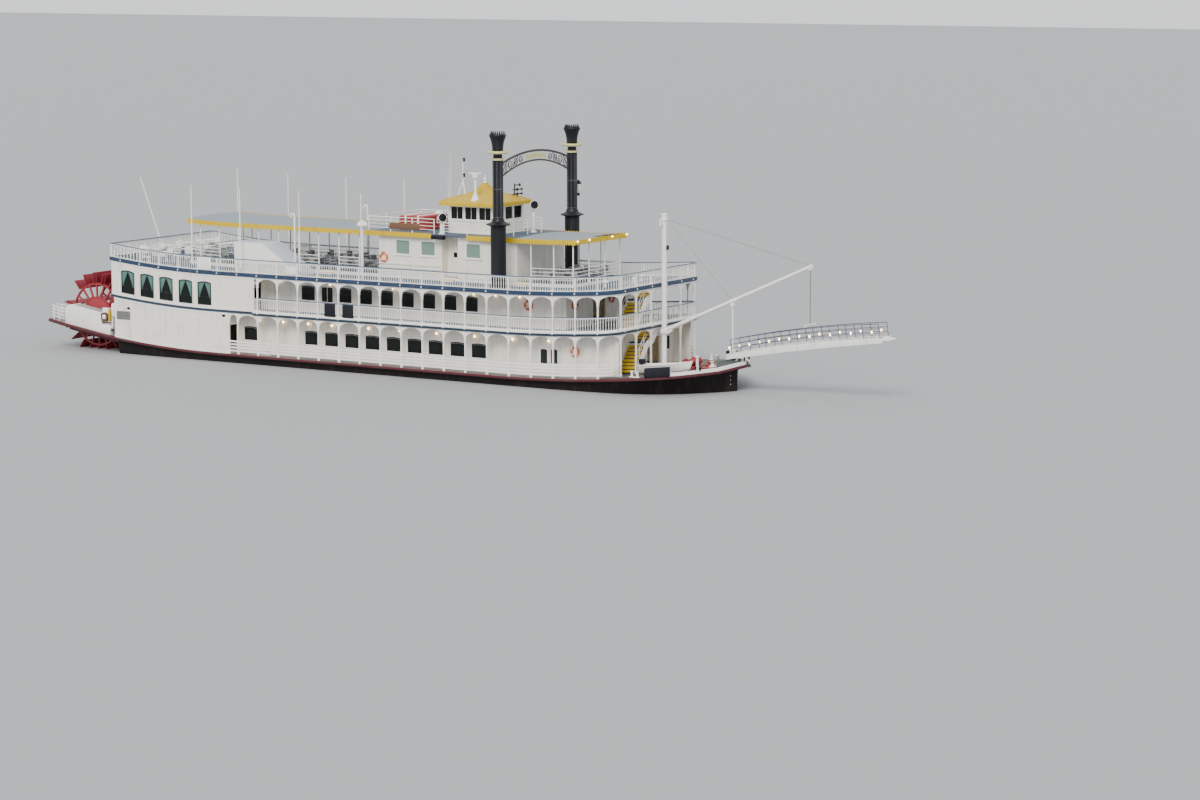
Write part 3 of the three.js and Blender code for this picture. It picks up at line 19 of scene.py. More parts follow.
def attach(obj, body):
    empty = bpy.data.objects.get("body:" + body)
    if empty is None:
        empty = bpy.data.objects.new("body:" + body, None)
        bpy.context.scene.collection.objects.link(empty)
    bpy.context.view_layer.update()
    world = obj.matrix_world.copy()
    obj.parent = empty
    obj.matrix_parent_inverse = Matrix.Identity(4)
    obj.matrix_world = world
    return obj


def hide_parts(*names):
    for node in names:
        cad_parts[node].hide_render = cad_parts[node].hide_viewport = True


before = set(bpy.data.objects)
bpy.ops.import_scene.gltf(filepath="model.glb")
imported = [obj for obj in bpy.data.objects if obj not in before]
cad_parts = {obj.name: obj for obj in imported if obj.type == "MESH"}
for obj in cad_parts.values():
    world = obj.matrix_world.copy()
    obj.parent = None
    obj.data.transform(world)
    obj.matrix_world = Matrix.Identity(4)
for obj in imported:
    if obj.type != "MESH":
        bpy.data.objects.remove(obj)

LOG = logging.getLogger("sternwheeler")
Point = Sequence[float]
Thing = bpy.types.Object

WATERLINE = 0.95
MAIN_TOP = 1.302
BOILER_UNDER, BOILER_TOP = 2.805, 2.905
ROOF_UNDER, ROOF_TOP = 4.175, 4.295
PLATFORM_TOP = 4.42
BRIDGE_UNDER, BRIDGE_TOP = 5.9, 5.97
EAVE = 7.025
RAIL_HEIGHT = 0.525
STARBOARD, PORT = -1, 1
SIDES = ((STARBOARD, "stbd"), (PORT, "port"))
PLATING = 3.05
STERN_FACE = -11.46
STAGE_PIN = (13.6, 0.0, 2.33)


@dataclass(frozen=True)
class Lines:
    """Sheer and plan shared by every deck.

    The edge length s runs up the starboard side, is 0 where the front corner starts, and goes on
    across the front and back down the port side.
    """

    bay: float = 0.9145
    first_column: float = -11.0
    half_beam: float = 3.05
    corner_x: float = 10.0
    corner_radius: float = 0.65
    aft_start: float = -6.5
    fore_start: float = 6.0
    aft_rate: float = 0.012
    fore_rate: float = 0.0096
    fore_bend: float = 4.0
    tip_start: float = 13.0
    tip_rate: float = 0.055

    @property
    def corner_length(self) -> float:
        """Length of one rounded corner."""
        return math.pi / 2 * self.corner_radius

    @property
    def front_half(self) -> float:
        """Half the straight part of the front edge."""
        return self.half_beam - self.corner_radius

    @property
    def total(self) -> float:
        """Edge length from one corner's start to the other corner's end."""
        return 2 * (self.corner_length + self.front_half)

    def column(self, k: float) -> float:
        """Place along x of a column."""
        return self.first_column + k * self.bay

    def column_edge(self, k: float) -> float:
        """Edge length of a starboard column."""
        return self.column(k) - self.corner_x

    def curve(self, x: np.ndarray) -> np.ndarray:
        """Smooth rise of the decks, sampled at the columns by rise()."""
        aft = np.maximum(self.aft_start - x, 0.0)
        fore = np.maximum(x - self.fore_start, 0.0)
        bend = np.minimum(fore, self.fore_bend)
        tip = np.maximum(x - self.tip_start, 0.0)
        return self.aft_rate * aft**2 + self.fore_rate * bend * (2 * fore - bend) + self.tip_rate * tip**3

    def rise(self, x: float | np.ndarray) -> np.ndarray:
        """Rise of a deck, straight between columns.

        Args:
            x: place or places along the boat.

        Returns:
            The height to add to a level.
        """
        steps = (np.asarray(x, float) - self.first_column) / self.bay
        low = np.floor(steps)
        part = steps - low
        before = self.curve(self.first_column + low * self.bay)
        after = self.curve(self.first_column + (low + 1) * self.bay)
        return before * (1 - part) + after * part

    def edge(self, s: np.ndarray) -> tuple[np.ndarray, np.ndarray, np.ndarray, np.ndarray]:
        """Point and outward normal of the deck edge.

        Args:
            s: edge lengths.

        Returns:
            x, y and the two parts of the normal.
        """
        mirror = s > self.total / 2
        t = np.where(mirror, self.total - s, s)
        angle = np.clip(t, 0, self.corner_length) / self.corner_radius
        nx, ny = np.sin(angle), -np.cos(angle)
        x = self.corner_x + np.minimum(t, 0) + self.corner_radius * nx
        across = np.maximum(t - self.corner_length, 0)
        y = -self.front_half + self.corner_radius * ny + across
        return x, np.where(mirror, -y, y), nx, np.where(mirror, -ny, ny)

    def stops(self, start: float, end: float) -> list[float]:
        """Edge lengths where a strip needs a joint to follow the sheer and the corners."""
        sides = [self.column_edge(k) for k in range(-4, 23)]
        corners = [self.corner_length * i / 8 for i in range(9)]
        both = [s for s in sides + corners if s <= self.corner_length + 1e-6]
        all_stops = both + [self.total - s for s in both]
        inner = sorted(s for s in all_stops if start + 0.01 < s < end - 0.01)
        return [start, *inner, end]


LINES = Lines()


class Bench:
    """Modelling with Blender's own operators: each call leaves one new mesh object."""

    @staticmethod
    def clear() -> None:
        """Deselects everything, so that the next operator acts on its own mesh alone."""
        bpy.ops.object.select_all(action="DESELECT")

    @classmethod
    def pick(cls, things: Sequence[Thing]) -> Thing:
        """Selects these objects alone and makes the first one active."""
        cls.clear()
        for thing in things:
            thing.select_set(True)
        bpy.context.view_layer.objects.active = things[0]
        return things[0]

    @staticmethod
    def settle() -> Thing:
        """Moves the active object's place, turn and scale into its mesh."""
        bpy.ops.object.transform_apply(location=True, rotation=True, scale=True)
        return bpy.context.active_object

    @classmethod
    def edit(cls, thing: Thing, *steps: Callable[[], object]) -> Thing:
        """Runs edit-mode operators on the whole of one mesh.

        Args:
            thing: the mesh object.
            steps: calls made one after another in edit mode.

        Returns:
            The same object, in object mode again.
        """
        cls.open(thing)
        for step in steps:
            step()
        bpy.ops.object.mode_set(mode="OBJECT")
        return thing

    @classmethod
    def open(cls, thing: Thing) -> None:
        """Goes to edit mode on one mesh, with all of it selected."""
        cls.pick([thing])
        bpy.ops.object.mode_set(mode="EDIT")
        bpy.ops.mesh.select_all(action="SELECT")

    @staticmethod
    def extrude(x: float = 0.0, y: float = 0.0, z: float = 0.0) -> None:
        """Draws out what is selected in edit mode."""
        bpy.ops.mesh.extrude_region_move(TRANSFORM_OT_translate={"value": (x, y, z)})

    @staticmethod
    def shut() -> Thing:
        """Turns the faces of the mesh in edit mode outwards and goes back to object mode."""
        bpy.ops.mesh.select_all(action="SELECT")
        bpy.ops.mesh.normals_make_consistent(inside=False)
        bpy.ops.object.mode_set(mode="OBJECT")
        return bpy.context.active_object

    @classmethod
    def block(cls, low: Point, high: Point, bevel: float = 0.0) -> Thing:
        """A box between two corners, with its edges eased if a bevel is given."""
        cls.clear()
        middle = [(a + b) / 2 for a, b in zip(low, high)]
        bpy.ops.mesh.primitive_cube_add(size=1, location=middle)
        cube = bpy.context.active_object
        cube.scale = [b - a for a, b in zip(low, high)]
        cls.settle()
        if bevel:
            cls.edit(cube, lambda: bpy.ops.mesh.bevel(offset=bevel, segments=2, affect="EDGES"))
        return cube

    @classmethod
    def rod(cls, start: Point, end: Point, radius: float, sides: int = 8, tip: float | None = None) -> Thing:
        """A round bar between two points, tapered to the tip radius if one is given."""
        a, b = Vector(start), Vector(end)
        cls.clear()
        bpy.ops.mesh.primitive_cone_add(
            vertices=sides,
            radius1=radius,
            radius2=radius if tip is None else tip,
            depth=(b - a).length,
            location=(a + b) / 2,
            rotation=(b - a).to_track_quat("Z", "Y").to_euler(),
        )
        return cls.settle()

    @classmethod
    def ball(cls, centre: Point, radius: float, sides: int = 8) -> Thing:
        """A small globe."""
        cls.clear()
        bpy.ops.mesh.primitive_uv_sphere_add(
            segments=sides, ring_count=max(4, sides * 2 // 3), radius=radius, location=centre
        )
        return cls.settle()

    @classmethod
    def hoop(
        cls, centre: Point, radius: float, thickness: float, facing: Point = (0, 0, 0), sides: int = 24
    ) -> Thing:
        """A ring of round bar, lying flat unless it is turned."""
        cls.clear()
        bpy.ops.mesh.primitive_torus_add(
            location=centre,
            rotation=facing,
            major_radius=radius,
            minor_radius=thickness,
            major_segments=sides,
            minor_segments=6,
        )
        return cls.settle()

    @classmethod
    def turned(cls, profile: Sequence[Point], foot: Point, sides: int = 12) -> Thing:
        """A turned piece: a disc drawn up ring by ring.

        Args:
            profile: radius and height pairs, from the foot up.
            foot: the point that the heights are counted from.
            sides: facets round the piece.

        Returns:
            The closed mesh.
        """
        x, y, z = foot
        radius, height = profile[0]
        cls.clear()
        bpy.ops.mesh.primitive_circle_add(
            vertices=sides, radius=radius, fill_type="NGON", location=(x, y, z + height)
        )
        cls.open(cls.settle())
        for (r0, h0), (r1, h1) in zip(profile, profile[1:]):
            cls.extrude(z=h1 - h0)
            bpy.ops.transform.resize(value=(r1 / r0, r1 / r0, 1), center_override=(x, y, z + h1))
        return cls.shut()

    @classmethod
    def face(cls, corners: Sequence[Point]) -> Thing:
        """One flat face through the given corners."""
        mesh = bpy.data.meshes.new("face")
        mesh.from_pydata([tuple(c) for c in corners], [], [tuple(range(len(corners)))])
        thing = bpy.data.objects.new("face", mesh)
        bpy.context.collection.objects.link(thing)
        return cls.pick([thing])

    @classmethod
    def plate(cls, outline: Sequence[Point], y0: float, y1: float, ring: float = 0.0) -> Thing:
        """An upright plate in the x-z plane.

        Args:
            outline: x and z of its corners.
            y0: one face.
            y1: the other face.
            ring: width of the rim that is kept; 0 keeps the whole plate.

        Returns:
            The closed mesh.
        """
        cls.open(cls.face([(x, y0, z) for x, z in outline]))
        if ring:
            bpy.ops.mesh.inset(thickness=ring, use_boundary=True)
            bpy.ops.mesh.delete(type="FACE")
            bpy.ops.mesh.select_all(action="SELECT")
        cls.extrude(y=y1 - y0)
        return cls.shut()

    @staticmethod
    def circle(radius: float, sides: int = 24) -> list[Point]:
        """Outline of a round plate, for plate()."""
        return [
            (radius * math.cos(a), radius * math.sin(a)) for a in np.linspace(0, math.tau, sides + 1)[:-1]
        ]

    @classmethod
    def sweep(cls, section: Sequence[Point], stops: Sequence[float]) -> Thing:
        """A y-z section drawn out along x through every stop."""
        cls.open(cls.face([(stops[0], y, z) for y, z in section]))
        for a, b in zip(stops, stops[1:]):
            cls.extrude(x=b - a)
        return cls.shut()

    @classmethod
    def pipe(cls, points: Sequence[Point], radius: float, closed: bool = False, resolution: int = 1) -> Thing:
        """A round bar along a bent path, drawn as a bevelled curve and made a mesh."""
        curve = bpy.data.curves.new("pipe", "CURVE")
        curve.dimensions = "3D"
        curve.bevel_depth = radius
        curve.bevel_resolution = resolution
        curve.use_fill_caps = True
        spline = curve.splines.new("POLY")
        spline.points.add(len(points) - 1)
        for knot, place in zip(spline.points, points):
            knot.co = (*place, 1)
        spline.use_cyclic_u = closed
        thing = bpy.data.objects.new("pipe", curve)
        bpy.context.collection.objects.link(thing)
        cls.pick([thing])
        bpy.ops.object.convert(target="MESH")
        return bpy.context.active_object

    @classmethod
    def join(cls, things: Sequence[Thing]) -> Thing:
        """Joins meshes into one."""
        cls.pick(things)
        if len(things) > 1:
            bpy.ops.object.join()
        return bpy.context.active_object

    @staticmethod
    def twin(source: Thing) -> Thing:
        """A copy with a mesh of its own."""
        made = source.copy()
        made.data = source.data.copy()
        bpy.context.collection.objects.link(made)
        return made

    @classmethod
    def copies(cls, source: Thing, places: Iterable[Matrix]) -> Thing:
        """Copies a mesh to every place, each copy with its own mesh, and joins the copies.

        Args:
            source: the model of the repeated piece; it is used up.
            places: where each copy goes.

        Returns:
            One object that holds every copy.
        """
        made = []
        for place in places:
            made.append(cls.twin(source))
            made[-1].data.transform(place)
        bpy.data.objects.remove(source)
        return cls.join(made)

    @classmethod
    def outward(cls, thing: Thing) -> Thing:
        """Turns every face outwards, after a mirror or a bend."""
        return cls.edit(thing, lambda: bpy.ops.mesh.normals_make_consistent(inside=False))

    @classmethod
    def modify(cls, thing: Thing, kind: str, **settings: object) -> Thing:
        """Adds a modifier and applies it."""
        cls.pick([thing])
        modifier = thing.modifiers.new(kind.lower(), kind)
        for name, value in settings.items():
            setattr(modifier, name, value)
        bpy.ops.object.modifier_apply(modifier=modifier.name)
        return thing

    @staticmethod
    def reshape(thing: Thing, rule: Callable[[np.ndarray], np.ndarray]) -> Thing:
        """Moves every vertex by a rule on the array of places."""
        mesh = thing.data
        places = np.empty(len(mesh.vertices) * 3)
        mesh.vertices.foreach_get("co", places)
        moved = rule(places.reshape(-1, 3))
        mesh.vertices.foreach_set("co", np.ascontiguousarray(moved, float).ravel())
        mesh.update()
        return thing

    @classmethod
    def follow(cls, thing: Thing) -> Thing:
        """Bends a straight run to the deck edge: x becomes edge length and -y the way out."""

        def rule(p: np.ndarray) -> np.ndarray:
            x, y, nx, ny = LINES.edge(p[:, 0])
            out = -p[:, 1]
            px = x + nx * out
            return np.stack([px, y + ny * out, p[:, 2] + LINES.rise(px)], axis=1)

        return cls.reshape(thing, rule)

    @classmethod
    def lift(cls, thing: Thing) -> Thing:
        """Raises every vertex by the sheer at its own place."""

        def rule(p: np.ndarray) -> np.ndarray:
            return np.stack([p[:, 0], p[:, 1], p[:, 2] + LINES.rise(p[:, 0])], axis=1)

        return cls.reshape(thing, rule)


def shift(x: float = 0.0, y: float = 0.0, z: float = 0.0) -> Matrix:
    """A move, as a matrix."""
    return Matrix.Translation((x, y, z))


def stretch(x: float = 1.0, y: float = 1.0, z: float = 1.0) -> Matrix:
    """A scale, as a matrix."""
    return Matrix.Diagonal((x, y, z, 1.0))


def turn(degrees: float, axis: str = "Z") -> Matrix:
    """A turn about a main axis, as a matrix."""
    return Matrix.Rotation(math.radians(degrees), 4, axis)


def rise_at(x: float) -> float:
    """Sheer at one place, as a plain number."""
    return float(LINES.rise(x))


def across(side: int, near: float, far: float) -> list[float]:
    """Two distances from the centreline as y, lowest first."""
    return sorted((side * near, side * far))


def oblong(a0: float, a1: float, z0: float, z1: float) -> list[Point]:
    """Corners of an upright rectangle."""
    return [(a0, z0), (a1, z0), (a1, z1), (a0, z1)]


@dataclass(frozen=True)
class Coat:
    """One finish and the way it has weathered.

    Attributes:
        slot: the record's material slot.
        color: base colour, linear.
        roughness: of the clean surface.
        metallic: 0 or 1.
        dirt: colour of the streaks and stains.
        mottle: how far the colour wanders.
        streak: strength of the streaks that rain leaves.
        grain: cells of unevenness per metre.
        relief: depth of the unevenness in metres.
        pattern: "", "weave", "planks" or "plates".
        pitch: spacing of the pattern in metres.
        glow: strength of the light given off.
        shine: strength of plain reflections.
    """

    slot: str
    color: tuple[float, float, float]
    roughness: float = 0.5
    metallic: float = 0.0
    dirt: tuple[float, float, float] = (0.28, 0.24, 0.19)
    mottle: float = 0.1
    streak: float = 0.25
    grain: float = 14.0
    relief: float = 0.0015
    pattern: str = ""
    pitch: float = 0.1
    glow: float = 0.0
    shine: float = 0.5


class Finish(Enum):
    """Every finish on the boat."""

    WHITE = Coat(
        "white_paint", (0.88, 0.84, 0.75), 0.45, mottle=0.07, streak=0.22, pattern="plates", pitch=1.829
    )
    TRIM_WHITE = Coat("white_paint", (0.89, 0.88, 0.84), 0.42, mottle=0.05, streak=0.1)
    CASING = Coat("white_paint", (0.86, 0.85, 0.80), 0.35, dirt=(0.36, 0.2, 0.11), mottle=0.04, streak=0.14)
    CASING_TOP = Coat("engine_grey", (0.33, 0.34, 0.32), 0.6, mottle=0.25)
    RUST = Coat("machine_red", (0.12, 0.06, 0.04), 0.7, dirt=(0.05, 0.03, 0.02), mottle=0.3)
    HULL = Coat(
        "hull_black",
        (0.008, 0.006, 0.006),
        0.6,
        dirt=(0.05, 0.035, 0.028),
        streak=0.35,
        pattern="plates",
        shine=0.2,
    )
    GUARD = Coat("guard_red", (0.095, 0.012, 0.02), 0.6, dirt=(0.08, 0.05, 0.045), streak=0.4, mottle=0.3)
    DECK = Coat(
        "deck_blue", (0.075, 0.105, 0.15), 0.7, dirt=(0.16, 0.16, 0.16), streak=0.0, mottle=0.3, relief=0.003
    )
    DECK_PALE = Coat("deck_blue", (0.28, 0.27, 0.25), 0.7, dirt=(0.2, 0.17, 0.14), mottle=0.3)
    DECK_GREEN = Coat("deck_blue", (0.05, 0.065, 0.066), 0.75, dirt=(0.14, 0.14, 0.12), mottle=0.3)
    DECK_WORN = Coat(
        "timber", (0.13, 0.095, 0.075), 0.75, dirt=(0.2, 0.17, 0.14), mottle=0.35, pattern="planks"
    )
    FASCIA = Coat("deck_blue", (0.016, 0.040, 0.092), 0.42, dirt=(0.1, 0.11, 0.13), mottle=0.12)
    FASCIA_DARK = Coat("deck_blue", (0.012, 0.030, 0.055), 0.42, dirt=(0.07, 0.08, 0.09), mottle=0.12)
    CAP_BLUE = Coat("rail_blue", (0.05, 0.10, 0.17), 0.4, dirt=(0.16, 0.19, 0.22), mottle=0.15)
    RAIL_NAVY = Coat("rail_blue", (0.016, 0.035, 0.09), 0.4, dirt=(0.1, 0.12, 0.15), mottle=0.15)
    BOARD_RED = Coat(
        "wheel_red", (0.21, 0.012, 0.025), 0.55, dirt=(0.07, 0.02, 0.02), mottle=0.35, streak=0.4
    )
    SPOKE_RED = Coat(
        "wheel_red", (0.30, 0.020, 0.032), 0.5, dirt=(0.16, 0.05, 0.045), mottle=0.25, streak=0.3
    )
    STACK = Coat(
        "funnel_black",
        (0.007, 0.008, 0.011),
        0.45,
        dirt=(0.035, 0.035, 0.04),
        mottle=0.2,
        streak=0.3,
        shine=0.3,
    )
    # The stacks' black, lightened: a painted highlight on the edges of the ribs and bands.
    STACK_RIB_HIGHLIGHT = Coat("funnel_black", (0.045, 0.05, 0.065), 0.4, mottle=0.2)
    BRONZE = Coat("brass_trim", (0.045, 0.032, 0.036), 0.5, dirt=(0.1, 0.08, 0.08), mottle=0.2)
    GOLD_PAINT = Coat("brass_trim", (0.58, 0.55, 0.24), 0.4, dirt=(0.3, 0.26, 0.12), mottle=0.1)
    GOLD = Coat("brass_trim", (0.62, 0.40, 0.10), 0.34, metallic=1.0, dirt=(0.2, 0.13, 0.05), mottle=0.15)
    CANVAS = Coat(
        "canvas_grey",
        (0.30, 0.35, 0.39),
        0.85,
        dirt=(0.2, 0.21, 0.2),
        mottle=0.16,
        pattern="weave",
        pitch=0.012,
    )
    VALANCE = Coat(
        "tread_yellow", (0.74, 0.50, 0.004), 0.8, dirt=(0.3, 0.18, 0.02), pattern="weave", pitch=0.012
    )
    OCHRE = Coat("ochre_paint", (0.55, 0.36, 0.008), 0.5, dirt=(0.24, 0.15, 0.04), mottle=0.18, streak=0.35)
    TREAD = Coat("tread_yellow", (0.70, 0.46, 0.006), 0.6, dirt=(0.2, 0.13, 0.05), mottle=0.2)
    DARK_GLASS = Coat(
        "window_glass",
        (0.008, 0.011, 0.010),
        0.15,
        dirt=(0.02, 0.025, 0.02),
        mottle=0.3,
        streak=0.1,
        relief=0.0,
        shine=0.2,
    )
    COVER_TOP = Coat("white_paint", (0.52, 0.58, 0.66), 0.4, mottle=0.05, streak=0.1)
    SAGE_GLASS = Coat(
        "window_glass", (0.17, 0.27, 0.21), 0.3, dirt=(0.15, 0.22, 0.18), mottle=0.12, relief=0.0
    )
    # Dark frames and door panes; also the painted shadow under the stair nosings.
    DARK_FRAME_AND_SHADOW = Coat("hull_black", (0.010, 0.020, 0.020), 0.45, mottle=0.15, shine=0.25)
    DRAPE = Coat("drape_teal", (0.12, 0.26, 0.23), 0.9, dirt=(0.06, 0.16, 0.15), pattern="weave", pitch=0.02)
    LAMP = Coat("lamp_glass", (1.0, 0.72, 0.38), 0.4, mottle=0.02, streak=0.0, relief=0.0, glow=7.0)
    RUBBER = Coat(
        "rubber_black", (0.009, 0.010, 0.015), 0.7, dirt=(0.04, 0.04, 0.045), mottle=0.2, shine=0.25
    )
    WIRE = Coat("wire_grey", (0.30, 0.30, 0.29), 0.45, metallic=0.6, mottle=0.15, grain=60.0)
    # Plain steel; also the painted highlights on the window panes.
    STEEL_AND_GLINT = Coat("wire_grey", (0.34, 0.35, 0.35), 0.42, mottle=0.15)
    GRATE = Coat("engine_grey", (0.16, 0.17, 0.165), 0.6, mottle=0.2)
    MACHINE = Coat("machine_red", (0.34, 0.028, 0.03), 0.45, dirt=(0.09, 0.05, 0.04), mottle=0.25)
    TIMBER = Coat(
        "timber", (0.20, 0.10, 0.05), 0.6, dirt=(0.09, 0.05, 0.03), mottle=0.3, pattern="planks", pitch=0.07
    )
    LINER = Coat("timber", (0.52, 0.34, 0.30), 0.6, dirt=(0.3, 0.2, 0.16), mottle=0.15)
    RING = Coat("life_ring", (0.72, 0.12, 0.035), 0.6, mottle=0.1)
    FLOAT = Coat("life_ring", (0.36, 0.035, 0.03), 0.6, mottle=0.2, pattern="planks", pitch=0.06)
    STAGE_WHITE = Coat("stage_white", (0.84, 0.84, 0.82), 0.42, mottle=0.06, streak=0.2)
    ENGINE = Coat("engine_grey", (0.10, 0.12, 0.115), 0.5, mottle=0.2)


class NodeSheet:
    """Short ways to add and join the nodes of one tree."""

    def __init__(self, tree: bpy.types.NodeTree) -> None:
        """Keeps the tree."""
        self.tree = tree

    def add(self, kind: str, **settings: object) -> bpy.types.Node:
        """Adds a node and sets its options."""
        node = self.tree.nodes.new(kind)
        for name, value in settings.items():
            setattr(node, name, value)
        return node

    def feed(self, node: bpy.types.Node, socket: int | str, source: object) -> None:
        """Links a socket, or sets its value where the source is a number or colour."""
        if isinstance(source, bpy.types.NodeSocket):
            self.tree.links.new(source, node.inputs[socket])
        else:
            node.inputs[socket].default_value = source

    def math(self, operation: str, a: object, b: object = 0.0, clamp: bool = False) -> bpy.types.NodeSocket:
        """One sum of two values."""
        node = self.add("ShaderNodeMath", operation=operation, use_clamp=clamp)
        self.feed(node, 0, a)
        self.feed(node, 1, b)
        return node.outputs[0]

    def noise(self, where: object, scale: object, detail: float = 4.0) -> bpy.types.NodeSocket:
        """A noise value from 0 to 1."""
        node = self.add("ShaderNodeTexNoise")
        self.feed(node, "Vector", where)
        self.feed(node, "Scale", scale)
        node.inputs["Detail"].default_value = detail
        return node.outputs["Fac"]

    def between(self, value: object, low: float, high: float) -> bpy.types.NodeSocket:
        """Rises from 0 to 1 as the value goes from low to high."""
        node = self.add("ShaderNodeMapRange", interpolation_type="SMOOTHSTEP")
        self.feed(node, "Value", value)
        node.inputs["From Min"].default_value = low
        node.inputs["From Max"].default_value = high
        return node.outputs["Result"]

    def blend(self, factor: object, a: object, b: object, mode: str = "MIX") -> bpy.types.NodeSocket:
        """A mix of two colours."""
        node = self.add("ShaderNodeMix", data_type="RGBA", blend_type=mode)
        self.feed(node, 0, factor)
        self.feed(node, 6, a)
        self.feed(node, 7, b)
        return node.outputs[2]

    def mapped(self, where: object, scale: Point) -> bpy.types.NodeSocket:
        """Coordinates stretched along their axes."""
        node = self.add("ShaderNodeMapping")
        self.feed(node, "Vector", where)
        node.inputs["Scale"].default_value = scale
        return node.outputs["Vector"]


class Paintbox:
    """Builds each finish's material once, from shared effect groups."""

    def __init__(self) -> None:
        """Makes the effect groups."""
        self.made: dict[Finish, bpy.types.Material] = {}
        self.weathering = self._weathering()
        self.patterns = {"weave": self._weave(), "planks": self._planks(), "plates": self._plates()}

    @staticmethod
    def _group(
        name: str, inputs: Sequence[tuple[str, str, object]], outputs: Sequence[tuple[str, str]]
    ) -> tuple[NodeSheet, bpy.types.Node, bpy.types.Node]:
        """Opens an effect group with named sockets.

        Args:
            name: the group's name.
            inputs: name, kind and first value of each input.
            outputs: name and kind of each output.

        Returns:
            The sheet and the group's input and output nodes.
        """
        tree = bpy.data.node_groups.new(name, "ShaderNodeTree")
        for label, kind, value in inputs:
            socket = tree.interface.new_socket(label, in_out="INPUT", socket_type=kind)
            socket.default_value = value
        for label, kind in outputs:
            tree.interface.new_socket(label, in_out="OUTPUT", socket_type=kind)
        sheet = NodeSheet(tree)
        return sheet, sheet.add("NodeGroupInput"), sheet.add("NodeGroupOutput")

    def _weathering(self) -> bpy.types.NodeTree:
        """Mottled paint with rain streaks and stains.

        Returns:
            The group: colour, roughness and height that change over the surface.
        """
        number = "NodeSocketFloat"
        sheet, start, end = self._group(
            "weathering",
            [
                ("Color", "NodeSocketColor", (1, 1, 1, 1)),
                ("Dirt", "NodeSocketColor", (0, 0, 0, 1)),
                ("Mottle", number, 0.1),
                ("Streak", number, 0.2),
                ("Grain", number, 14.0),
                ("Roughness", number, 0.5),
            ],
            [("Color", "NodeSocketColor"), ("Roughness", number), ("Height", number)],
        )
        place = sheet.add("ShaderNodeTexCoord").outputs["Object"]
        fine = sheet.noise(place, start.outputs["Grain"], 6.0)
        broad = sheet.noise(place, 0.8)
        wander = sheet.math("MULTIPLY", sheet.math("ADD", fine, broad), start.outputs["Mottle"])
        shade = sheet.math("SUBTRACT", sheet.math("ADD", 1.0, start.outputs["Mottle"]), wander)
        tinted = sheet.blend(1.0, start.outputs["Color"], shade, "MULTIPLY")
        runs = sheet.noise(sheet.mapped(place, (7.0, 7.0, 0.55)), 1.0, 5.0)
        patches = sheet.noise(place, 1.7, 5.0)
        streaks = sheet.between(sheet.math("MULTIPLY", runs, sheet.math("ADD", patches, 0.45)), 0.46, 0.72)
        soiled = sheet.math("MULTIPLY", streaks, start.outputs["Streak"], clamp=True)
        sheet.feed(end, "Color", sheet.blend(soiled, tinted, start.outputs["Dirt"]))
        rough = sheet.math("ADD", start.outputs["Roughness"], sheet.math("MULTIPLY", soiled, 0.3))
        uneven = sheet.math("MULTIPLY", sheet.math("SUBTRACT", fine, 0.5), 0.16)
        sheet.feed(end, "Roughness", sheet.math("ADD", rough, uneven, clamp=True))
        sheet.feed(end, "Height", fine)
        return sheet.tree

    def _weave(self) -> bpy.types.NodeTree:
        """Crossed threads of canvas."""
        sheet, start, end = self._pattern("weave")
        across = self._waves(sheet, start, "X")
        along = self._waves(sheet, start, "Y")
        sheet.feed(end, "Mask", sheet.math("MULTIPLY", across, along))
        return sheet.tree

    def _planks(self) -> bpy.types.NodeTree:
        """Seams between boards that run fore and aft."""
        sheet, start, end = self._pattern("planks")
        sheet.feed(end, "Mask", self._seams(sheet, start, "Y", 0.06))
        return sheet.tree

    def _plates(self) -> bpy.types.NodeTree:
        """Upright joints between plates."""
        sheet, start, end = self._pattern("plates")
        sheet.feed(end, "Mask", self._seams(sheet, start, "X", 0.006))
        return sheet.tree

    def _pattern(self, name: str) -> tuple[NodeSheet, bpy.types.Node, bpy.types.Node]:
        """Opens a pattern group: a pitch goes in and a mask comes out."""
        number = "NodeSocketFloat"
        return self._group(name, [("Pitch", number, 0.1)], [("Mask", number)])

    @staticmethod
    def _along(sheet: NodeSheet, start: bpy.types.Node, axis: str) -> bpy.types.NodeSocket:
        """Counts pitches along one axis of the object."""
        split = sheet.add("ShaderNodeSeparateXYZ")
        sheet.feed(split, 0, sheet.add("ShaderNodeTexCoord").outputs["Object"])
        return sheet.math("DIVIDE", split.outputs[axis], start.outputs["Pitch"])

    @classmethod
    def _waves(cls, sheet: NodeSheet, start: bpy.types.Node, axis: str) -> bpy.types.NodeSocket:
        """Rises and falls once each pitch."""
        angle = sheet.math("MULTIPLY", cls._along(sheet, start, axis), math.tau)
        return sheet.math("ADD", sheet.math("MULTIPLY", sheet.math("SINE", angle), 0.5), 0.5)

    @classmethod
    def _seams(cls, sheet: NodeSheet, start: bpy.types.Node, axis: str, width: float) -> bpy.types.NodeSocket:
        """1 on the boards and 0 in the thin seams between them."""
        part = sheet.math("FRACT", cls._along(sheet, start, axis))
        edge = sheet.math("MINIMUM", part, sheet.math("SUBTRACT", 1.0, part))
        return sheet.between(edge, 0.0, width)

    def material(self, finish: Finish) -> bpy.types.Material:
        """The material of a finish, made the first time that it is asked for."""
        if finish not in self.made:
            self.made[finish] = self._build(finish)
        return self.made[finish]

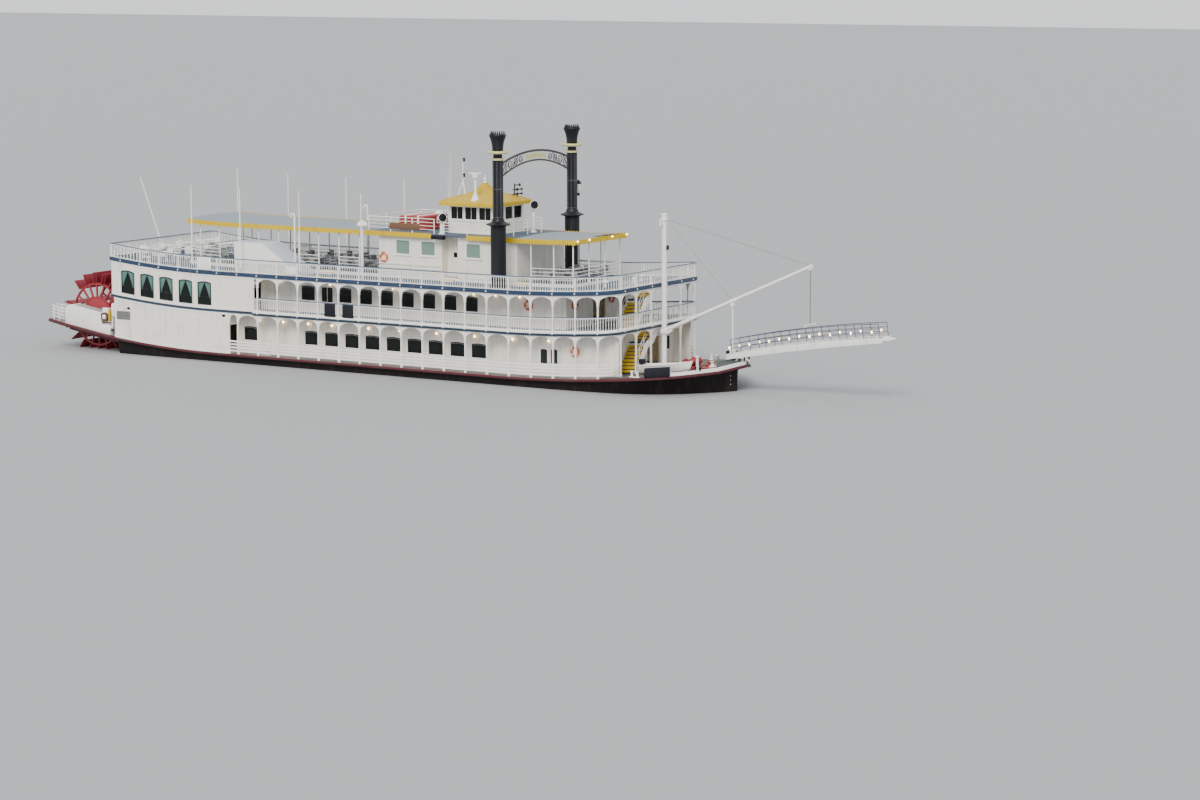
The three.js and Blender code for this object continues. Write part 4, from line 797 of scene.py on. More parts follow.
    def _build(self, finish: Finish) -> bpy.types.Material:
        """Lays out one material's nodes.

        Args:
            finish: the finish to build.

        Returns:
            The material.
        """
        coat = finish.value
        material = bpy.data.materials.new(finish.name.lower())
        material.use_nodes = True
        sheet = NodeSheet(material.node_tree)
        shader = material.node_tree.nodes["Principled BSDF"]
        shader.inputs["Metallic"].default_value = coat.metallic
        shader.inputs["Specular IOR Level"].default_value = coat.shine
        worn = sheet.add("ShaderNodeGroup", node_tree=self.weathering)
        values = {
            "Color": (*coat.color, 1),
            "Dirt": (*coat.dirt, 1),
            "Mottle": coat.mottle,
            "Streak": coat.streak,
            "Grain": coat.grain,
            "Roughness": coat.roughness,
        }
        for label, value in values.items():
            worn.inputs[label].default_value = value
        color, height = worn.outputs["Color"], worn.outputs["Height"]
        if coat.pattern:
            pattern = sheet.add("ShaderNodeGroup", node_tree=self.patterns[coat.pattern])
            pattern.inputs["Pitch"].default_value = coat.pitch
            mask = pattern.outputs["Mask"]
            shade = sheet.math("ADD", 0.72, sheet.math("MULTIPLY", mask, 0.28))
            color = sheet.blend(1.0, color, shade, "MULTIPLY")
            height = sheet.math("ADD", sheet.math("MULTIPLY", height, 0.4), mask)
        sheet.feed(shader, "Base Color", color)
        sheet.feed(shader, "Roughness", worn.outputs["Roughness"])
        if coat.relief:
            bump = sheet.add("ShaderNodeBump")
            bump.inputs["Distance"].default_value = coat.relief
            bump.inputs["Strength"].default_value = 0.6
            sheet.feed(bump, "Height", height)
            sheet.feed(shader, "Normal", bump.outputs[0])
        if coat.glow:
            sheet.feed(shader, "Emission Color", color)
            shader.inputs["Emission Strength"].default_value = coat.glow
        return material


PAINTS = Paintbox()


def dress(
    thing: Thing,
    name: str,
    finish: Finish,
    body: str = "boat",
    replaces: Sequence[str] = (),
    smooth: float = 35.0,
) -> Thing:
    """Names a finished mesh, gives it its finish and hangs it on its body.

    Args:
        thing: the mesh, already in place.
        name: the piece's name.
        finish: its finish.
        body: the CAD body that it rides on.
        replaces: CAD nodes that it stands for.
        smooth: edges flatter than this many degrees are shaded smooth.

    Returns:
        The same object.
    """
    thing.name = name
    thing.data.name = name
    thing.data.materials.clear()
    thing.data.materials.append(PAINTS.material(finish))
    Bench.pick([thing])
    bpy.ops.object.shade_smooth_by_angle(angle=math.radians(smooth))
    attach(thing, body)
    if replaces:
        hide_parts(*replaces)
    LOG.info("%s: %d faces in %s", name, len(thing.data.polygons), finish.name.lower())
    return thing


def fit(things: Sequence[Thing], name: str, finish: Finish, lifted: bool = False, **rest: object) -> Thing:
    """Joins meshes, raises them by the sheer if asked, turns their faces outwards and dresses them."""
    whole = Bench.join(things)
    if lifted:
        Bench.lift(whole)
    return dress(Bench.outward(whole), name, finish, **rest)


def repaint(finish: Finish, *names: str) -> None:
    """Gives CAD nodes that stay in view their finish."""
    for name in names:
        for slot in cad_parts[name].material_slots:
            slot.material = PAINTS.material(finish)
        LOG.info("%s: painted %s", name, finish.name.lower())


@dataclass
class Studio:
    """Camera at the photograph's angle, the floor at the waterline and plain soft light."""

    camera_place: tuple[float, float, float] = (69.916, -98.626, 16.6465)
    yaw: float = 32.03
    pitch: float = 8.03
    roll: float = -0.002634
    focal_pixels: float = 3327.14
    image_width: int = 1200
    sensor: float = 36.0
    floor_half: float = 400.0

    def camera(self) -> None:
        """Sets the camera up from its measured place and angles."""
        yaw, pitch = math.radians(self.yaw), math.radians(self.pitch)
        right = Vector((math.cos(yaw), math.sin(yaw), 0))
        level = Vector((-math.sin(yaw), math.cos(yaw), 0))
        up = Vector((0, 0, 1))
        ahead = level * math.cos(pitch) - up * math.sin(pitch)
        head = level * math.sin(pitch) + up * math.cos(pitch)
        across = right * math.cos(self.roll) + head * math.sin(self.roll)
        top = head * math.cos(self.roll) - right * math.sin(self.roll)
        turned = Matrix((across, top, -ahead)).transposed().to_4x4()
        data = bpy.data.cameras.new("camera")
        data.sensor_fit = "HORIZONTAL"
        data.sensor_width = self.sensor
        data.lens = self.focal_pixels * self.sensor / self.image_width
        data.clip_end = 1000
        camera = bpy.data.objects.new("camera", data)
        bpy.context.collection.objects.link(camera)
        camera.matrix_world = Matrix.Translation(self.camera_place) @ turned
        bpy.context.scene.camera = camera

    def floor(self) -> None:
        """Lays the pale floor at the waterline."""
        Bench.clear()
        bpy.ops.mesh.primitive_plane_add(size=2 * self.floor_half, location=(0, 0, WATERLINE))
        floor = Bench.settle()
        floor.name = "floor"
        material = bpy.data.materials.new("floor")
        material.use_nodes = True
        shader = material.node_tree.nodes["Principled BSDF"]
        shader.inputs["Base Color"].default_value = (0.34, 0.35, 0.36, 1)
        shader.inputs["Roughness"].default_value = 0.9
        floor.data.materials.append(material)

    def light(self) -> None:
        """A pale sky and one wide soft sun from over the camera's left shoulder."""
        world = bpy.context.scene.world or bpy.data.worlds.new("world")
        bpy.context.scene.world = world
        world.use_nodes = True
        sky = world.node_tree.nodes["Background"]
        sky.inputs["Color"].default_value = (0.95, 0.97, 1.0, 1)
        sky.inputs["Strength"].default_value = 1.2
        data = bpy.data.lights.new("sun", "SUN")
        data.energy = 3.1
        data.angle = math.radians(25)
        data.color = (1.0, 0.96, 0.9)
        sun = bpy.data.objects.new("sun", data)
        bpy.context.collection.objects.link(sun)
        sun.rotation_euler = (math.radians(48), 0, math.radians(18))

    def build(self) -> None:
        """Builds the studio."""
        self.camera()
        self.floor()
        self.light()


@dataclass
class Decks:
    """Hull, deck edges and what is fixed to them."""

    guard_foot: float = 1.195
    arm_aft: float = -14.6
    bow_start: float = 10.0
    bow_tip: float = 14.2
    bow_half: float = 3.062
    bulwark_start: float = 11.9
    stations: Sequence[float] = (11.0, 11.6, 12.2, 12.7, 13.1, 13.45, 13.75, 13.95, 14.08, 14.16)

    def bow(self, x: np.ndarray) -> np.ndarray:
        """Half breadth of the main deck."""
        t = np.clip((x - self.bow_start) / (self.bow_tip - self.bow_start), 0, 1)
        return np.maximum(self.bow_half * (1 - t**3) ** 0.92, 0.06)

    def round_bow(self, section: Sequence[Point], start: float, end: float) -> Thing:
        """A strip round the deck edge, both sides and the bow.

        Args:
            section: way out and height of each corner.
            start: aft end.
            end: forward end.

        Returns:
            Both sides of the strip.
        """
        marks = sorted((*(LINES.column(k) for k in range(-4, 28)), *self.stations))
        stops = [start, *(x for x in marks if start + 0.02 < x < end - 0.005), end]
        halves = []
        for side in (STARBOARD, PORT):
            strip = Bench.sweep([(out, z) for out, z in section], stops)

            def rule(p: np.ndarray) -> np.ndarray:
                x, out = p[:, 0], p[:, 1]
                slope = (self.bow(x + 0.002) - self.bow(x - 0.002)) / 0.004
                length = np.sqrt(1 + slope**2)
                px = np.minimum(x - slope / length * out, self.bow_tip + 0.03)
                y = self.bow(x) + out / length
                return np.stack([px, side * np.maximum(y, 0.0), p[:, 2] + LINES.rise(x)], axis=1)

            halves.append(Bench.outward(Bench.reshape(strip, rule)))
        return Bench.join(halves)

    def guard(self) -> None:
        """The heavy rubbing band along the main deck, with its iron and its upright chafing bars."""
        section = [
            (-0.06, self.guard_foot), (0.014, self.guard_foot), (0.02, 1.23), (0.02, 1.29), (-0.06, 1.31)
        ]
        band = self.round_bow(section, self.arm_aft, 14.19)
        dress(band, "guard_band", Finish.GUARD)
        iron = self.round_bow(
            [(0.0, 1.200), (0.026, 1.203), (0.026, 1.218), (0.0, 1.221)], self.arm_aft, 14.185
        )
        dress(iron, "guard_iron", Finish.HULL)

    def bulwark(self) -> None:
        """Low white bulwark round the bow with its rail and two fairleads a side."""
        wall = self.round_bow(oblong(-0.085, -0.003, 1.303, 1.392), self.bulwark_start, 14.185)
        rail = self.round_bow(oblong(-0.1, 0.0, 1.392, 1.412), self.bulwark_start, 14.18)
        dress(Bench.join([wall, rail]), "bow_bulwark", Finish.TRIM_WHITE)
        leads = []
        for x in (12.35, 13.2):
            for side in (STARBOARD, PORT):
                y = side * (float(self.bow(np.array(x))) - 0.1)
                for shift_x in (-0.09, 0.09):
                    foot = (x + shift_x, y, 1.41 + rise_at(x))
                    leads.append(
                        Bench.turned(
                            [(0.035, 0), (0.03, 0.02), (0.03, 0.08), (0.045, 0.1), (0.04, 0.115)], foot, 10
                        )
                    )
        dress(Bench.join(leads), "fairleads", Finish.RUBBER)

    def fascia(self) -> None:
        """Edges of the two upper decks: a broad blue board above, a thin dark one under a white one below."""
        total = LINES.total
        boards = []
        for s0, s1, foot, head in (
            (-21.5, total + 21.5, 4.172, 4.312),
            (-14.8, total + 14.8, 2.775, 2.86),
            (-14.8, total + 14.8, 2.86, 2.93),
            (-21.46, -14.8, 2.852, 2.908),
            (total + 14.8, total + 21.46, 2.852, 2.908),
        ):
            section = [
                (0.02, foot), (-0.03, foot), (-0.034, foot + 0.01), (-0.03, head - 0.012), (0.02, head)
            ]
            boards.append(Bench.follow(Bench.sweep(section, LINES.stops(s0, s1))))
        white = boards.pop(2)
        for x, foot, head in ((-11.5, 4.172, 4.312), (STERN_FACE, 2.852, 2.908)):
            raised = rise_at(x)
            boards.append(Bench.block((x - 0.02, -3.08, foot + raised), (x + 0.01, 3.08, head + raised)))
        fit([boards[0], boards[4]], "roof_fascia", Finish.FASCIA)
        fit([*boards[1:4], boards[5]], "boiler_fascia", Finish.FASCIA_DARK)
        dress(Bench.outward(white), "boiler_edge_board", Finish.TRIM_WHITE)
        places = []
        for level, first in ((4.235, 0), (2.852, 7)):
            sides = [LINES.column_edge(k) for k in range(first, 24)]
            fronts = [LINES.corner_length + LINES.front_half + y for y in (-2.3, -1.5, -0.5, 0.5, 1.5, 2.3)]
            for s in (*sides, *fronts, *(total - s for s in sides)):
                places.append(shift(s, -0.03, level))
        model = Bench.turned([(0.03, 0), (0.026, 0.012), (0.012, 0.018)], (0, 0, 0), 8)
        model.data.transform(turn(90, "X"))
        dress(Bench.follow(Bench.copies(model, places)), "fascia_caps", Finish.TRIM_WHITE)

    def moorings(self) -> None:
        """Mooring leads and louvres on the aft plating, and the bitts on the main deck."""
        pads = []
        for x, z in ((-10.67, 2.7), (-6.16, 2.685)):
            for side in (STARBOARD, PORT):
                pad = Bench.turned([(0.05, 0), (0.062, 0.008), (0.05, 0.02), (0.03, 0.012)], (0, 0, 0), 14)
                pad.data.transform(
                    shift(x, side * PLATING, z) @ turn(side * -90, "X") @ stretch(1.3, 0.75, 1)
                )
                pads.append(pad)
        fit(pads, "mooring_leads", Finish.RUBBER)
        slats = []
        for side in (STARBOARD, PORT):
            for i in range(6):
                low, high = across(side, PLATING, PLATING + 0.018)
                slats.append(Bench.block((-11.22, low, 2.285 + 0.048 * i), (-10.63, high, 2.318 + 0.048 * i)))
            low, high = across(side, PLATING - 0.004, PLATING + 0.008)
            slats.append(Bench.block((-11.25, low, 2.262), (-10.6, high, 2.578)))
        dress(Bench.join(slats), "engine_louvres", Finish.GRATE)
        bitts = []
        for x in (-4.4, 11.3):
            for side in (STARBOARD, PORT):
                y = side * (2.86 if x < 0 else 2.7)
                z = MAIN_TOP + rise_at(x)
                bitts.append(Bench.block((x - 0.2, y - 0.06, z), (x + 0.2, y + 0.06, z + 0.03), 0.005))
                for shift_x in (-0.11, 0.11):
                    bitts.append(
                        Bench.turned(
                            [(0.045, 0), (0.04, 0.02), (0.04, 0.17), (0.055, 0.18), (0.05, 0.21)],
                            (x + shift_x, y, z + 0.02),
                            12,
                        )
                    )
        dress(Bench.join(bitts), "mooring_bitts", Finish.TRIM_WHITE)

    def build(self) -> None:
        """Paints the hull and decks and fits the edges."""
        repaint(Finish.HULL, "hull", "rudder_stbd", "rudder_port")
        repaint(Finish.DECK_PALE, "main_deck_aft", "main_deck", "main_deck_fore")
        repaint(Finish.DECK_GREEN, "foredeck")
        repaint(Finish.DECK, "boiler_deck", "roof_deck")
        repaint(Finish.ENGINE, "engine")
        self.guard()
        self.bulwark()
        self.fascia()
        self.moorings()


class Rail(Enum):
    """Kinds of railing."""

    BALUSTERS = "turned balusters between a foot rail and a cap"
    BOARDS = "four flat boards"
    OPEN = "no railing"


@dataclass
class Gallery:
    """A covered walk: posts, an arched bracket over each bay and a railing.

    Attributes:
        name: start of the names of its pieces and of the CAD nodes that it replaces.
        deck: the deck's level.
        under: underside of the deck above.
        start: edge length of the aft end.
        first: first column ahead of that end.
        rail: the railing along the sides.
        front_rail: the railing across the front.
        gate: how far the side railing runs on ahead of the last side column.
    """

    name: str
    deck: float
    under: float
    start: float
    first: int
    rail: Rail
    front_rail: Rail
    gate: float = 0.0
    post_half: float = 0.03
    arch_depth: float = 0.33
    header: float = 0.045
    parts: int = 12
    balusters: int = 8
    boards: Sequence[float] = (0.09, 0.205, 0.32, 0.435)
    rails: Sequence[tuple[float, float, float, float]] = (
        (0.004, 0.046, 0.02, 0.048),
        (0.006, 0.044, 0.46, 0.494),
    )
    thickness: float = 0.05
    cap_shape: tuple[float, float, float, float, float] = (0.008, 0.498, 0.51, 0.519, 0.008)

    def front_posts(self) -> list[float]:
        """Edge lengths of the posts round the front, from starboard to port."""
        corner, middle = LINES.corner_length, LINES.corner_length + LINES.front_half
        near = [LINES.column_edge(22), LINES.column_edge(23), corner - 0.1]
        across = [middle + y for y in (-1.5, -0.5, 0.5, 1.5)]
        return [*near, *across, *(LINES.total - s for s in reversed(near))]

    def side_posts(self) -> list[float]:
        """Edge lengths of the starboard posts, from aft."""
        return [self.start + self.post_half, *(LINES.column_edge(k) for k in range(self.first, 23))]

    def bays(self) -> list[tuple[float, float, bool]]:
        """Each bay's ends, and whether it is one of the front's."""
        side, front = self.side_posts(), self.front_posts()
        out = [(a, b, False) for a, b in zip(side, side[1:])]
        out += [(LINES.total - b, LINES.total - a, False) for a, b, _ in reversed(out)]
        return out + [(a, b, True) for a, b in zip(front, front[1:])]

    def all_posts(self) -> list[float]:
        """Edge lengths of every post."""
        side = self.side_posts()[:-1]
        return [*side, *self.front_posts(), *(LINES.total - s for s in side)]

    def bracket(self) -> Thing:
        """One bay's arched board with its moulded edge and pierced roundels, one metre wide."""
        top, spring, crown = self.under - 0.001, self.under - self.arch_depth, self.under - self.header
        Bench.clear()
        bpy.ops.mesh.primitive_grid_add(x_subdivisions=self.parts, y_subdivisions=1, size=1)
        board = Bench.settle()

        def rule(p: np.ndarray) -> np.ndarray:
            angle = (p[:, 0] + 0.5) * math.pi
            u = (1 - np.cos(angle)) / 2
            low = spring + (crown - spring) * np.sin(angle)
            return np.stack([u, np.full_like(u, 0.012), np.where(p[:, 1] > 0, top, low)], axis=1)

        Bench.reshape(board, rule)
        Bench.edit(
            board,
            lambda: Bench.extrude(y=0.026),
            lambda: bpy.ops.mesh.select_all(action="SELECT"),
            lambda: bpy.ops.mesh.normals_make_consistent(inside=False),
        )
        curve = []
        for i in range(self.parts + 1):
            angle = math.pi * i / self.parts
            curve.append(((1 - math.cos(angle)) / 2, 0.025, spring + (crown - spring) * math.sin(angle)))
        bead = Bench.pipe(curve, 0.016)
        bosses = [
            Bench.hoop((x, 0.014, top - 0.085), 0.05, 0.011, (math.pi / 2, 0, 0), 10) for x in (0.075, 0.925)
        ]
        return Bench.join([board, bead, *bosses])

    def post(self) -> Thing:
        """One post with its plinth, rail block and spread capital."""
        half, spring = self.post_half, self.under - self.arch_depth
        column = Bench.block((-half + 0.006, 0, self.deck), (half - 0.006, 0.05, self.under))
        plinth = Bench.block(
            (-half - 0.012, -0.008, self.deck), (half + 0.012, 0.058, self.deck + 0.09), 0.004
        )
        block = Bench.block((-half, -0.004, self.deck + 0.4), (half, 0.054, self.deck + RAIL_HEIGHT))
        collar = Bench.block(
            (-half - 0.014, -0.01, spring - 0.05), (half + 0.014, 0.06, spring - 0.02), 0.004
        )
        capital = Bench.block((-0.5, 0.002, 0), (0.5, 0.048, 1))

        def spread(p: np.ndarray) -> np.ndarray:
            width = np.where(p[:, 2] > 0.5, 0.15, 2 * half)
            height = np.where(p[:, 2] > 0.5, spring + 0.16, spring - 0.02)
            return np.stack([p[:, 0] * width, p[:, 1], height], axis=1)

        Bench.reshape(capital, spread)
        return Bench.join([column, plinth, block, collar, capital])

    def baluster_bay(self) -> Thing:
        """Turned balusters for one bay, one metre wide."""
        profile = [
            (0.016, 0.045), (0.017, 0.09), (0.010, 0.12), (0.017, 0.24), (0.010, 0.37), (0.017, 0.4),
            (0.016, 0.48),
        ]
        model = Bench.turned(profile, (0, 0.025, self.deck), 5)
        step = 1.0 / (self.balusters + 1)
        return Bench.copies(model, [shift((i + 1) * step) for i in range(self.balusters)])

    def runs(self, kind: Rail) -> list[tuple[float, float]]:
        """Stretches of the edge with one kind of railing."""
        side = (self.start, LINES.column_edge(22) + self.gate)
        front = (side[1], LINES.total - side[1])
        port = (LINES.total - side[1], LINES.total - side[0])
        if self.rail is kind and self.front_rail is kind:
            return [(side[0], port[1])]
        if self.rail is kind:
            return [side, port]
        return [front] if self.front_rail is kind else []

    def strips(self, kind: Rail, sections: Sequence[Sequence[Point]]) -> list[Thing]:
        """Sweeps each section along each stretch with this railing."""
        made = []
        for s0, s1 in self.runs(kind):
            for section in sections:
                made.append(Bench.follow(Bench.sweep(section, LINES.stops(s0, s1))))
        return made

    def bars(self) -> list[list[Point]]:
        """Sections of the foot rail and the top rail."""
        return [oblong(y0, y1, self.deck + z0, self.deck + z1) for y0, y1, z0, z1 in self.rails]

    def cap(self) -> list[Point]:
        """Section of the cap, from how far it overhangs, its three levels and its shoulder."""
        over, foot, edge, top, shoulder = self.cap_shape
        far = self.thickness
        outline = [
            (-over, foot),
            (far + over, foot),
            (far + over, edge),
            (far - shoulder, top),
            (shoulder, top),
            (-over, edge),
        ]
        return [(y, self.deck + z) for y, z in outline]

    def build(self) -> None:
        """Builds the posts, brackets and railing."""
        bays = self.bays()
        places = [shift(a) @ stretch(b - a) for a, b, _ in bays]
        brackets = Bench.follow(Bench.copies(self.bracket(), places))
        posts = Bench.follow(Bench.copies(self.post(), [shift(s) for s in self.all_posts()]))
        whites = [brackets, posts]
        kinds = {False: self.rail, True: self.front_rail}
        railed = [place for place, (_, _, front) in zip(places, bays) if kinds[front] is Rail.BALUSTERS]
        if railed:
            whites.append(Bench.follow(Bench.copies(self.baluster_bay(), railed)))
            whites += self.strips(Rail.BALUSTERS, self.bars())
            caps = self.strips(Rail.BALUSTERS, [self.cap()])
            fit(caps, f"{self.name}_cap", Finish.CAP_BLUE)
        boards = [oblong(0.012, 0.034, self.deck + z, self.deck + z + 0.062) for z in self.boards]
        whites += self.strips(Rail.BOARDS, boards)
        nodes = [f"{self.name}_{end}" for end in ("stbd", "port", "front")]
        fit(whites, f"{self.name}_work", Finish.TRIM_WHITE, replaces=nodes)


@dataclass
class RoofBalustrade(Gallery):
    """The balustrade round the roof deck, with its stern rail and ensign staff."""

    poles: Sequence[tuple[float, int]] = (
        (-7.6, STARBOARD),
        (-5.35, STARBOARD),
        (-2.65, STARBOARD),
        (0.1, STARBOARD),
        (-10.2, PORT),
        (-7.75, PORT),
        (-5.0, PORT),
        (-2.3, PORT),
    )
    stern_x: float = -11.475
    cap_shape: tuple[float, float, float, float, float] = (0.01, 0.496, 0.511, 0.522, 0.007)

    def post(self) -> Thing:
        """One short post with a capped top."""
        half = self.post_half
        column = Bench.block((-half, 0, self.deck), (half, 0.05, self.deck + 0.49))
        plinth = Bench.block((-half - 0.01, -0.006, self.deck), (half + 0.01, 0.056, self.deck + 0.07), 0.004)
        return Bench.join([column, plinth])

    def stern(self) -> tuple[list[Thing], list[Thing]]:
        """The rail across the stern.

        Returns:
            White pieces and blue pieces.
        """
        reach, z = 3.0, self.deck + rise_at(self.stern_x)
        lift = shift(self.stern_x + 0.025, 0, rise_at(self.stern_x)) @ turn(90)
        bays = Bench.copies(self.baluster_bay(), [lift @ shift(-reach + i) for i in range(6)])
        posts = Bench.copies(self.post(), [lift @ shift(-reach + i) for i in range(1, 6)])
        x = self.stern_x
        rails = []
        for _, _, low, high in self.rails:
            rails.append(Bench.block((x - 0.021, -reach, z + low), (x + 0.021, reach, z + high)))
        cap = Bench.block((x - 0.025, -3.04, z + 0.494), (x + 0.037, 3.04, z + 0.524), 0.006)
        return [bays, posts, *rails], [cap]

    def build(self) -> None:
        """Builds the balustrade, the staff and the whip poles."""
        bays = self.bays()
        places = [shift(a) @ stretch(b - a) for a, b, _ in bays]
        whites = [
            Bench.follow(Bench.copies(self.baluster_bay(), places)),
            Bench.follow(Bench.copies(self.post(), [shift(s) for s in self.all_posts()])),
        ]
        whites += self.strips(Rail.BALUSTERS, self.bars())
        blues = self.strips(Rail.BALUSTERS, [self.cap()])
        stern_white, stern_blue = self.stern()
        whites += stern_white
        nodes = ["roof_rail_stbd", "roof_rail_port", "roof_rail_front", "roof_rail_aft"]
        fit(whites, "roof_rail_work", Finish.TRIM_WHITE, replaces=nodes)
        fit([*blues, *stern_blue], "roof_rail_cap", Finish.CAP_BLUE)
        poles = []
        for x, side in self.poles:
            foot = (x, side * 3.025, self.deck + rise_at(x))
            poles.append(Bench.turned([(0.034, 0.2), (0.03, 0.55), (0.026, 0.6), (0.018, 3.1)], foot, 8))
            poles.append(Bench.ball((x, foot[1], foot[2] + 3.1), 0.022, 8))
        z = ROOF_TOP + 0.5 + rise_at(self.stern_x)
        poles.append(Bench.rod((self.stern_x, 0, z - 0.4), (-12.5, 0, 7.3), 0.024, 10, 0.014))
        poles.append(Bench.ball((-12.5, 0, 7.3), 0.03, 8))
        dress(Bench.join(poles), "whip_poles", Finish.TRIM_WHITE)


@dataclass
class Houses:
    """Walls of the two main decks: windows, drapes, doors, mouldings and lamps."""

    main_half: float = 2.45
    boiler_half: float = 2.15
    main_windows: Sequence[float] = (-5.355, -2.575, -1.67, -0.765, 0.135, 1.07, 1.985, 2.895, 3.84, 4.745)
    boiler_windows: Sequence[float] = (-2.94, -1.295, -0.38, 0.545, 1.455, 2.38, 3.295, 4.205)
    saloon_windows: Sequence[float] = (-10.675, -9.755, -8.845, -7.93, -7.04)
    stern_windows: Sequence[float] = (-1.8, -0.6, 0.6, 1.8)
    saloon_half: float = 0.2925
    saloon_sill: float = BOILER_TOP + 0.15
    saloon_head: float = BOILER_TOP + 0.98
    door_leaves: Sequence[tuple[str, float, float]] = (
        ("door_double_aft", 7.25, 7.67),
        ("door_double_fore", 7.67, 8.09),
        ("door_service", 9.2, 9.7),
    )

    @staticmethod
    def arched(half: float, sill: float, head: float, rise: float = 0.05, steps: int = 8) -> list[Point]:
        """Outline of an opening with a shallow arched head.

        Args:
            half: half its width.
            sill: bottom.
            head: top of the arch.
            rise: height of the arch.
            steps: parts of the arch.

        Returns:
            Its corners in the x-z plane.
        """
        radius = (half**2 + rise**2) / (2 * rise)
        reach = math.asin(min(half / radius, 1.0))
        arch = []
        for i in range(steps + 1):
            angle = reach * (1 - 2 * i / steps)
            arch.append((radius * math.sin(angle), head - radius + radius * math.cos(angle)))
        return [(-half, sill), (half, sill), *arch]

    @staticmethod
    def set_out(model: Thing, xs: Sequence[float], half: float) -> Thing:
        """Copies a starboard fitting along both walls and raises it with the sheer.

        Args:
            model: drawn at x = 0 with the wall's face at y = 0 and outward towards -y.
            xs: where the copies stand.
            half: distance of the walls' outer faces from the centreline.

        Returns:
            All the copies as one mesh.
        """
        places = [shift(x, -half) for x in xs] + [shift(x, half) @ stretch(1, -1, 1) for x in xs]
        return Bench.outward(Bench.lift(Bench.copies(model, places)))

    def windows(
        self, name: str, xs: Sequence[float], half: float, width: float, sill: float, head: float
    ) -> None:
        """Panes, frames and a painted highlight on each pane, for one row of windows on both walls."""
        w = width / 2
        pane = Bench.plate(self.arched(w, sill, head, 0.035), -0.006, 0.02)
        rim = Bench.plate(self.arched(w + 0.022, sill - 0.022, head + 0.024, 0.04), -0.016, 0.004, 0.024)
        dress(self.set_out(pane, xs, half), f"{name}_panes", Finish.DARK_GLASS)
        # A thin pale arc under each pane's head: a painted highlight on the glass.
        glint = Bench.pipe(
            [(x * 0.86, -0.008, z - 0.045) for x, z in self.arched(w, sill, head, 0.035)[2:]], 0.006
        )
        ledge = Bench.block((-w - 0.05, -0.03, sill - 0.045), (w + 0.05, 0.0, sill - 0.02), 0.005)
        dress(self.set_out(Bench.join([rim, ledge]), xs, half), f"{name}_frames", Finish.TRIM_WHITE)
        # The painted highlights on the panes, in the steel colour.
        dress(self.set_out(glint, xs, half), f"{name}_bars", Finish.STEEL_AND_GLINT)

    def drape(self, half: float, sill: float, head: float) -> Thing:
        """A pair of drapes tied back from the middle."""
        halves = []
        for side in (-1, 1):
            Bench.clear()
            bpy.ops.mesh.primitive_grid_add(x_subdivisions=14, y_subdivisions=8, size=1)
            cloth = Bench.settle()

            def rule(p: np.ndarray) -> np.ndarray:
                u, v = p[:, 0] + 0.5, 0.5 - p[:, 1]
                foot = sill + 0.32 * (head - sill)
                z = head - 0.02 - v * (head - foot) - 0.03 * v * u
                inner = (1 - v) ** 1.25 * 0.98
                x = half * (1 - u * (inner + (1 - inner) * 0.16))
                folds = 0.007 * np.sin(u * math.tau * 4.0) * (0.5 + v)
                return np.stack([side * x, 0.034 + folds, z], axis=1)

            halves.append(Bench.reshape(cloth, rule))
        return Bench.join(halves)

    def saloon(self) -> None:
        """The five tall draped windows of the aft saloon and the four across the stern."""
        half, sill, head = self.saloon_half, self.saloon_sill, self.saloon_head
        pane = Bench.plate(self.arched(half + 0.01, sill - 0.008, head + 0.008), 0.012, 0.018)
        rim = Bench.plate(self.arched(half + 0.022, sill - 0.02, head + 0.02), -0.014, 0.012, 0.036)
        bar = Bench.block((-half, 0.0, sill + 0.27), (half, 0.01, sill + 0.284))
        self.saloon_row(pane, "saloon_panes", Finish.DARK_GLASS)
        self.saloon_row(Bench.join([rim, bar]), "saloon_rims", Finish.DARK_FRAME_AND_SHADOW)
        cloth = self.drape(half - 0.02, sill + 0.02, head)
        cloth.data.transform(shift(0, -0.03))
        drapes = self.set_out(cloth, self.saloon_windows, PLATING)
        dress(drapes, "saloon_drapes", Finish.DRAPE)

    def saloon_row(self, model: Thing, name: str, finish: Finish) -> None:
        """Sets a fitting in the saloon's sides and, lower and shorter, across the stern."""
        twin = Bench.twin(model)
        sides = self.set_out(model, self.saloon_windows, PLATING)
        squeeze = 0.63 / (self.saloon_head - self.saloon_sill)
        raise_by = BOILER_TOP + 0.35 - self.saloon_sill * squeeze
        face = shift(STERN_FACE, 0, rise_at(-11.44)) @ turn(-90)
        places = [face @ shift(y, 0, raise_by) @ stretch(1, 1, squeeze) for y in self.stern_windows]
        dress(Bench.join([sides, Bench.copies(twin, places)]), name, finish)

    def mouldings(self) -> None:
        """Plate seams, skirting and cornice on the walls."""
        strips = []
        for half, x0, x1, z0 in (
            (PLATING, -11.36, -5.965, MAIN_TOP),
            (self.main_half, -5.9, 10.49, MAIN_TOP),
            (PLATING, STERN_FACE, -4.815, BOILER_TOP),
            (self.boiler_half, -4.8, 8.2, BOILER_TOP),
        ):
            stops = [
                x0, *(LINES.column(k) for k in range(0, 23) if x0 + 0.05 < LINES.column(k) < x1 - 0.05), x1
            ]
            top = BOILER_UNDER if z0 == MAIN_TOP else ROOF_UNDER
            for low, high, out in ((z0 + 0.001, z0 + 0.09, 0.012), (top - 0.07, top - 0.001, 0.014)):
                for side in (STARBOARD, PORT):
                    y0, y1 = across(side, half - 0.004, half + out)
                    strips.append(Bench.sweep(oblong(y0, y1, low, high), stops))
        fit(strips, "wall_mouldings", Finish.TRIM_WHITE, lifted=True)
        ribs = []
        for x in (-6.02, -5.4, -4.88):
            for side in (STARBOARD, PORT):
                low, high = across(side, PLATING - 0.004, PLATING + 0.014)
                floor = MAIN_TOP if x < -5.9 else BOILER_TOP
                roof = BOILER_UNDER if x < -5.9 else ROOF_UNDER
                ribs.append(
                    Bench.block(
                        (x - 0.022, low, floor + 0.1 + rise_at(x)),
                        (x + 0.022, high, roof - 0.07 + rise_at(x)),
                    )
                )
        for side in (STARBOARD, PORT):
            low, high = across(side, PLATING - 0.004, PLATING + 0.01)
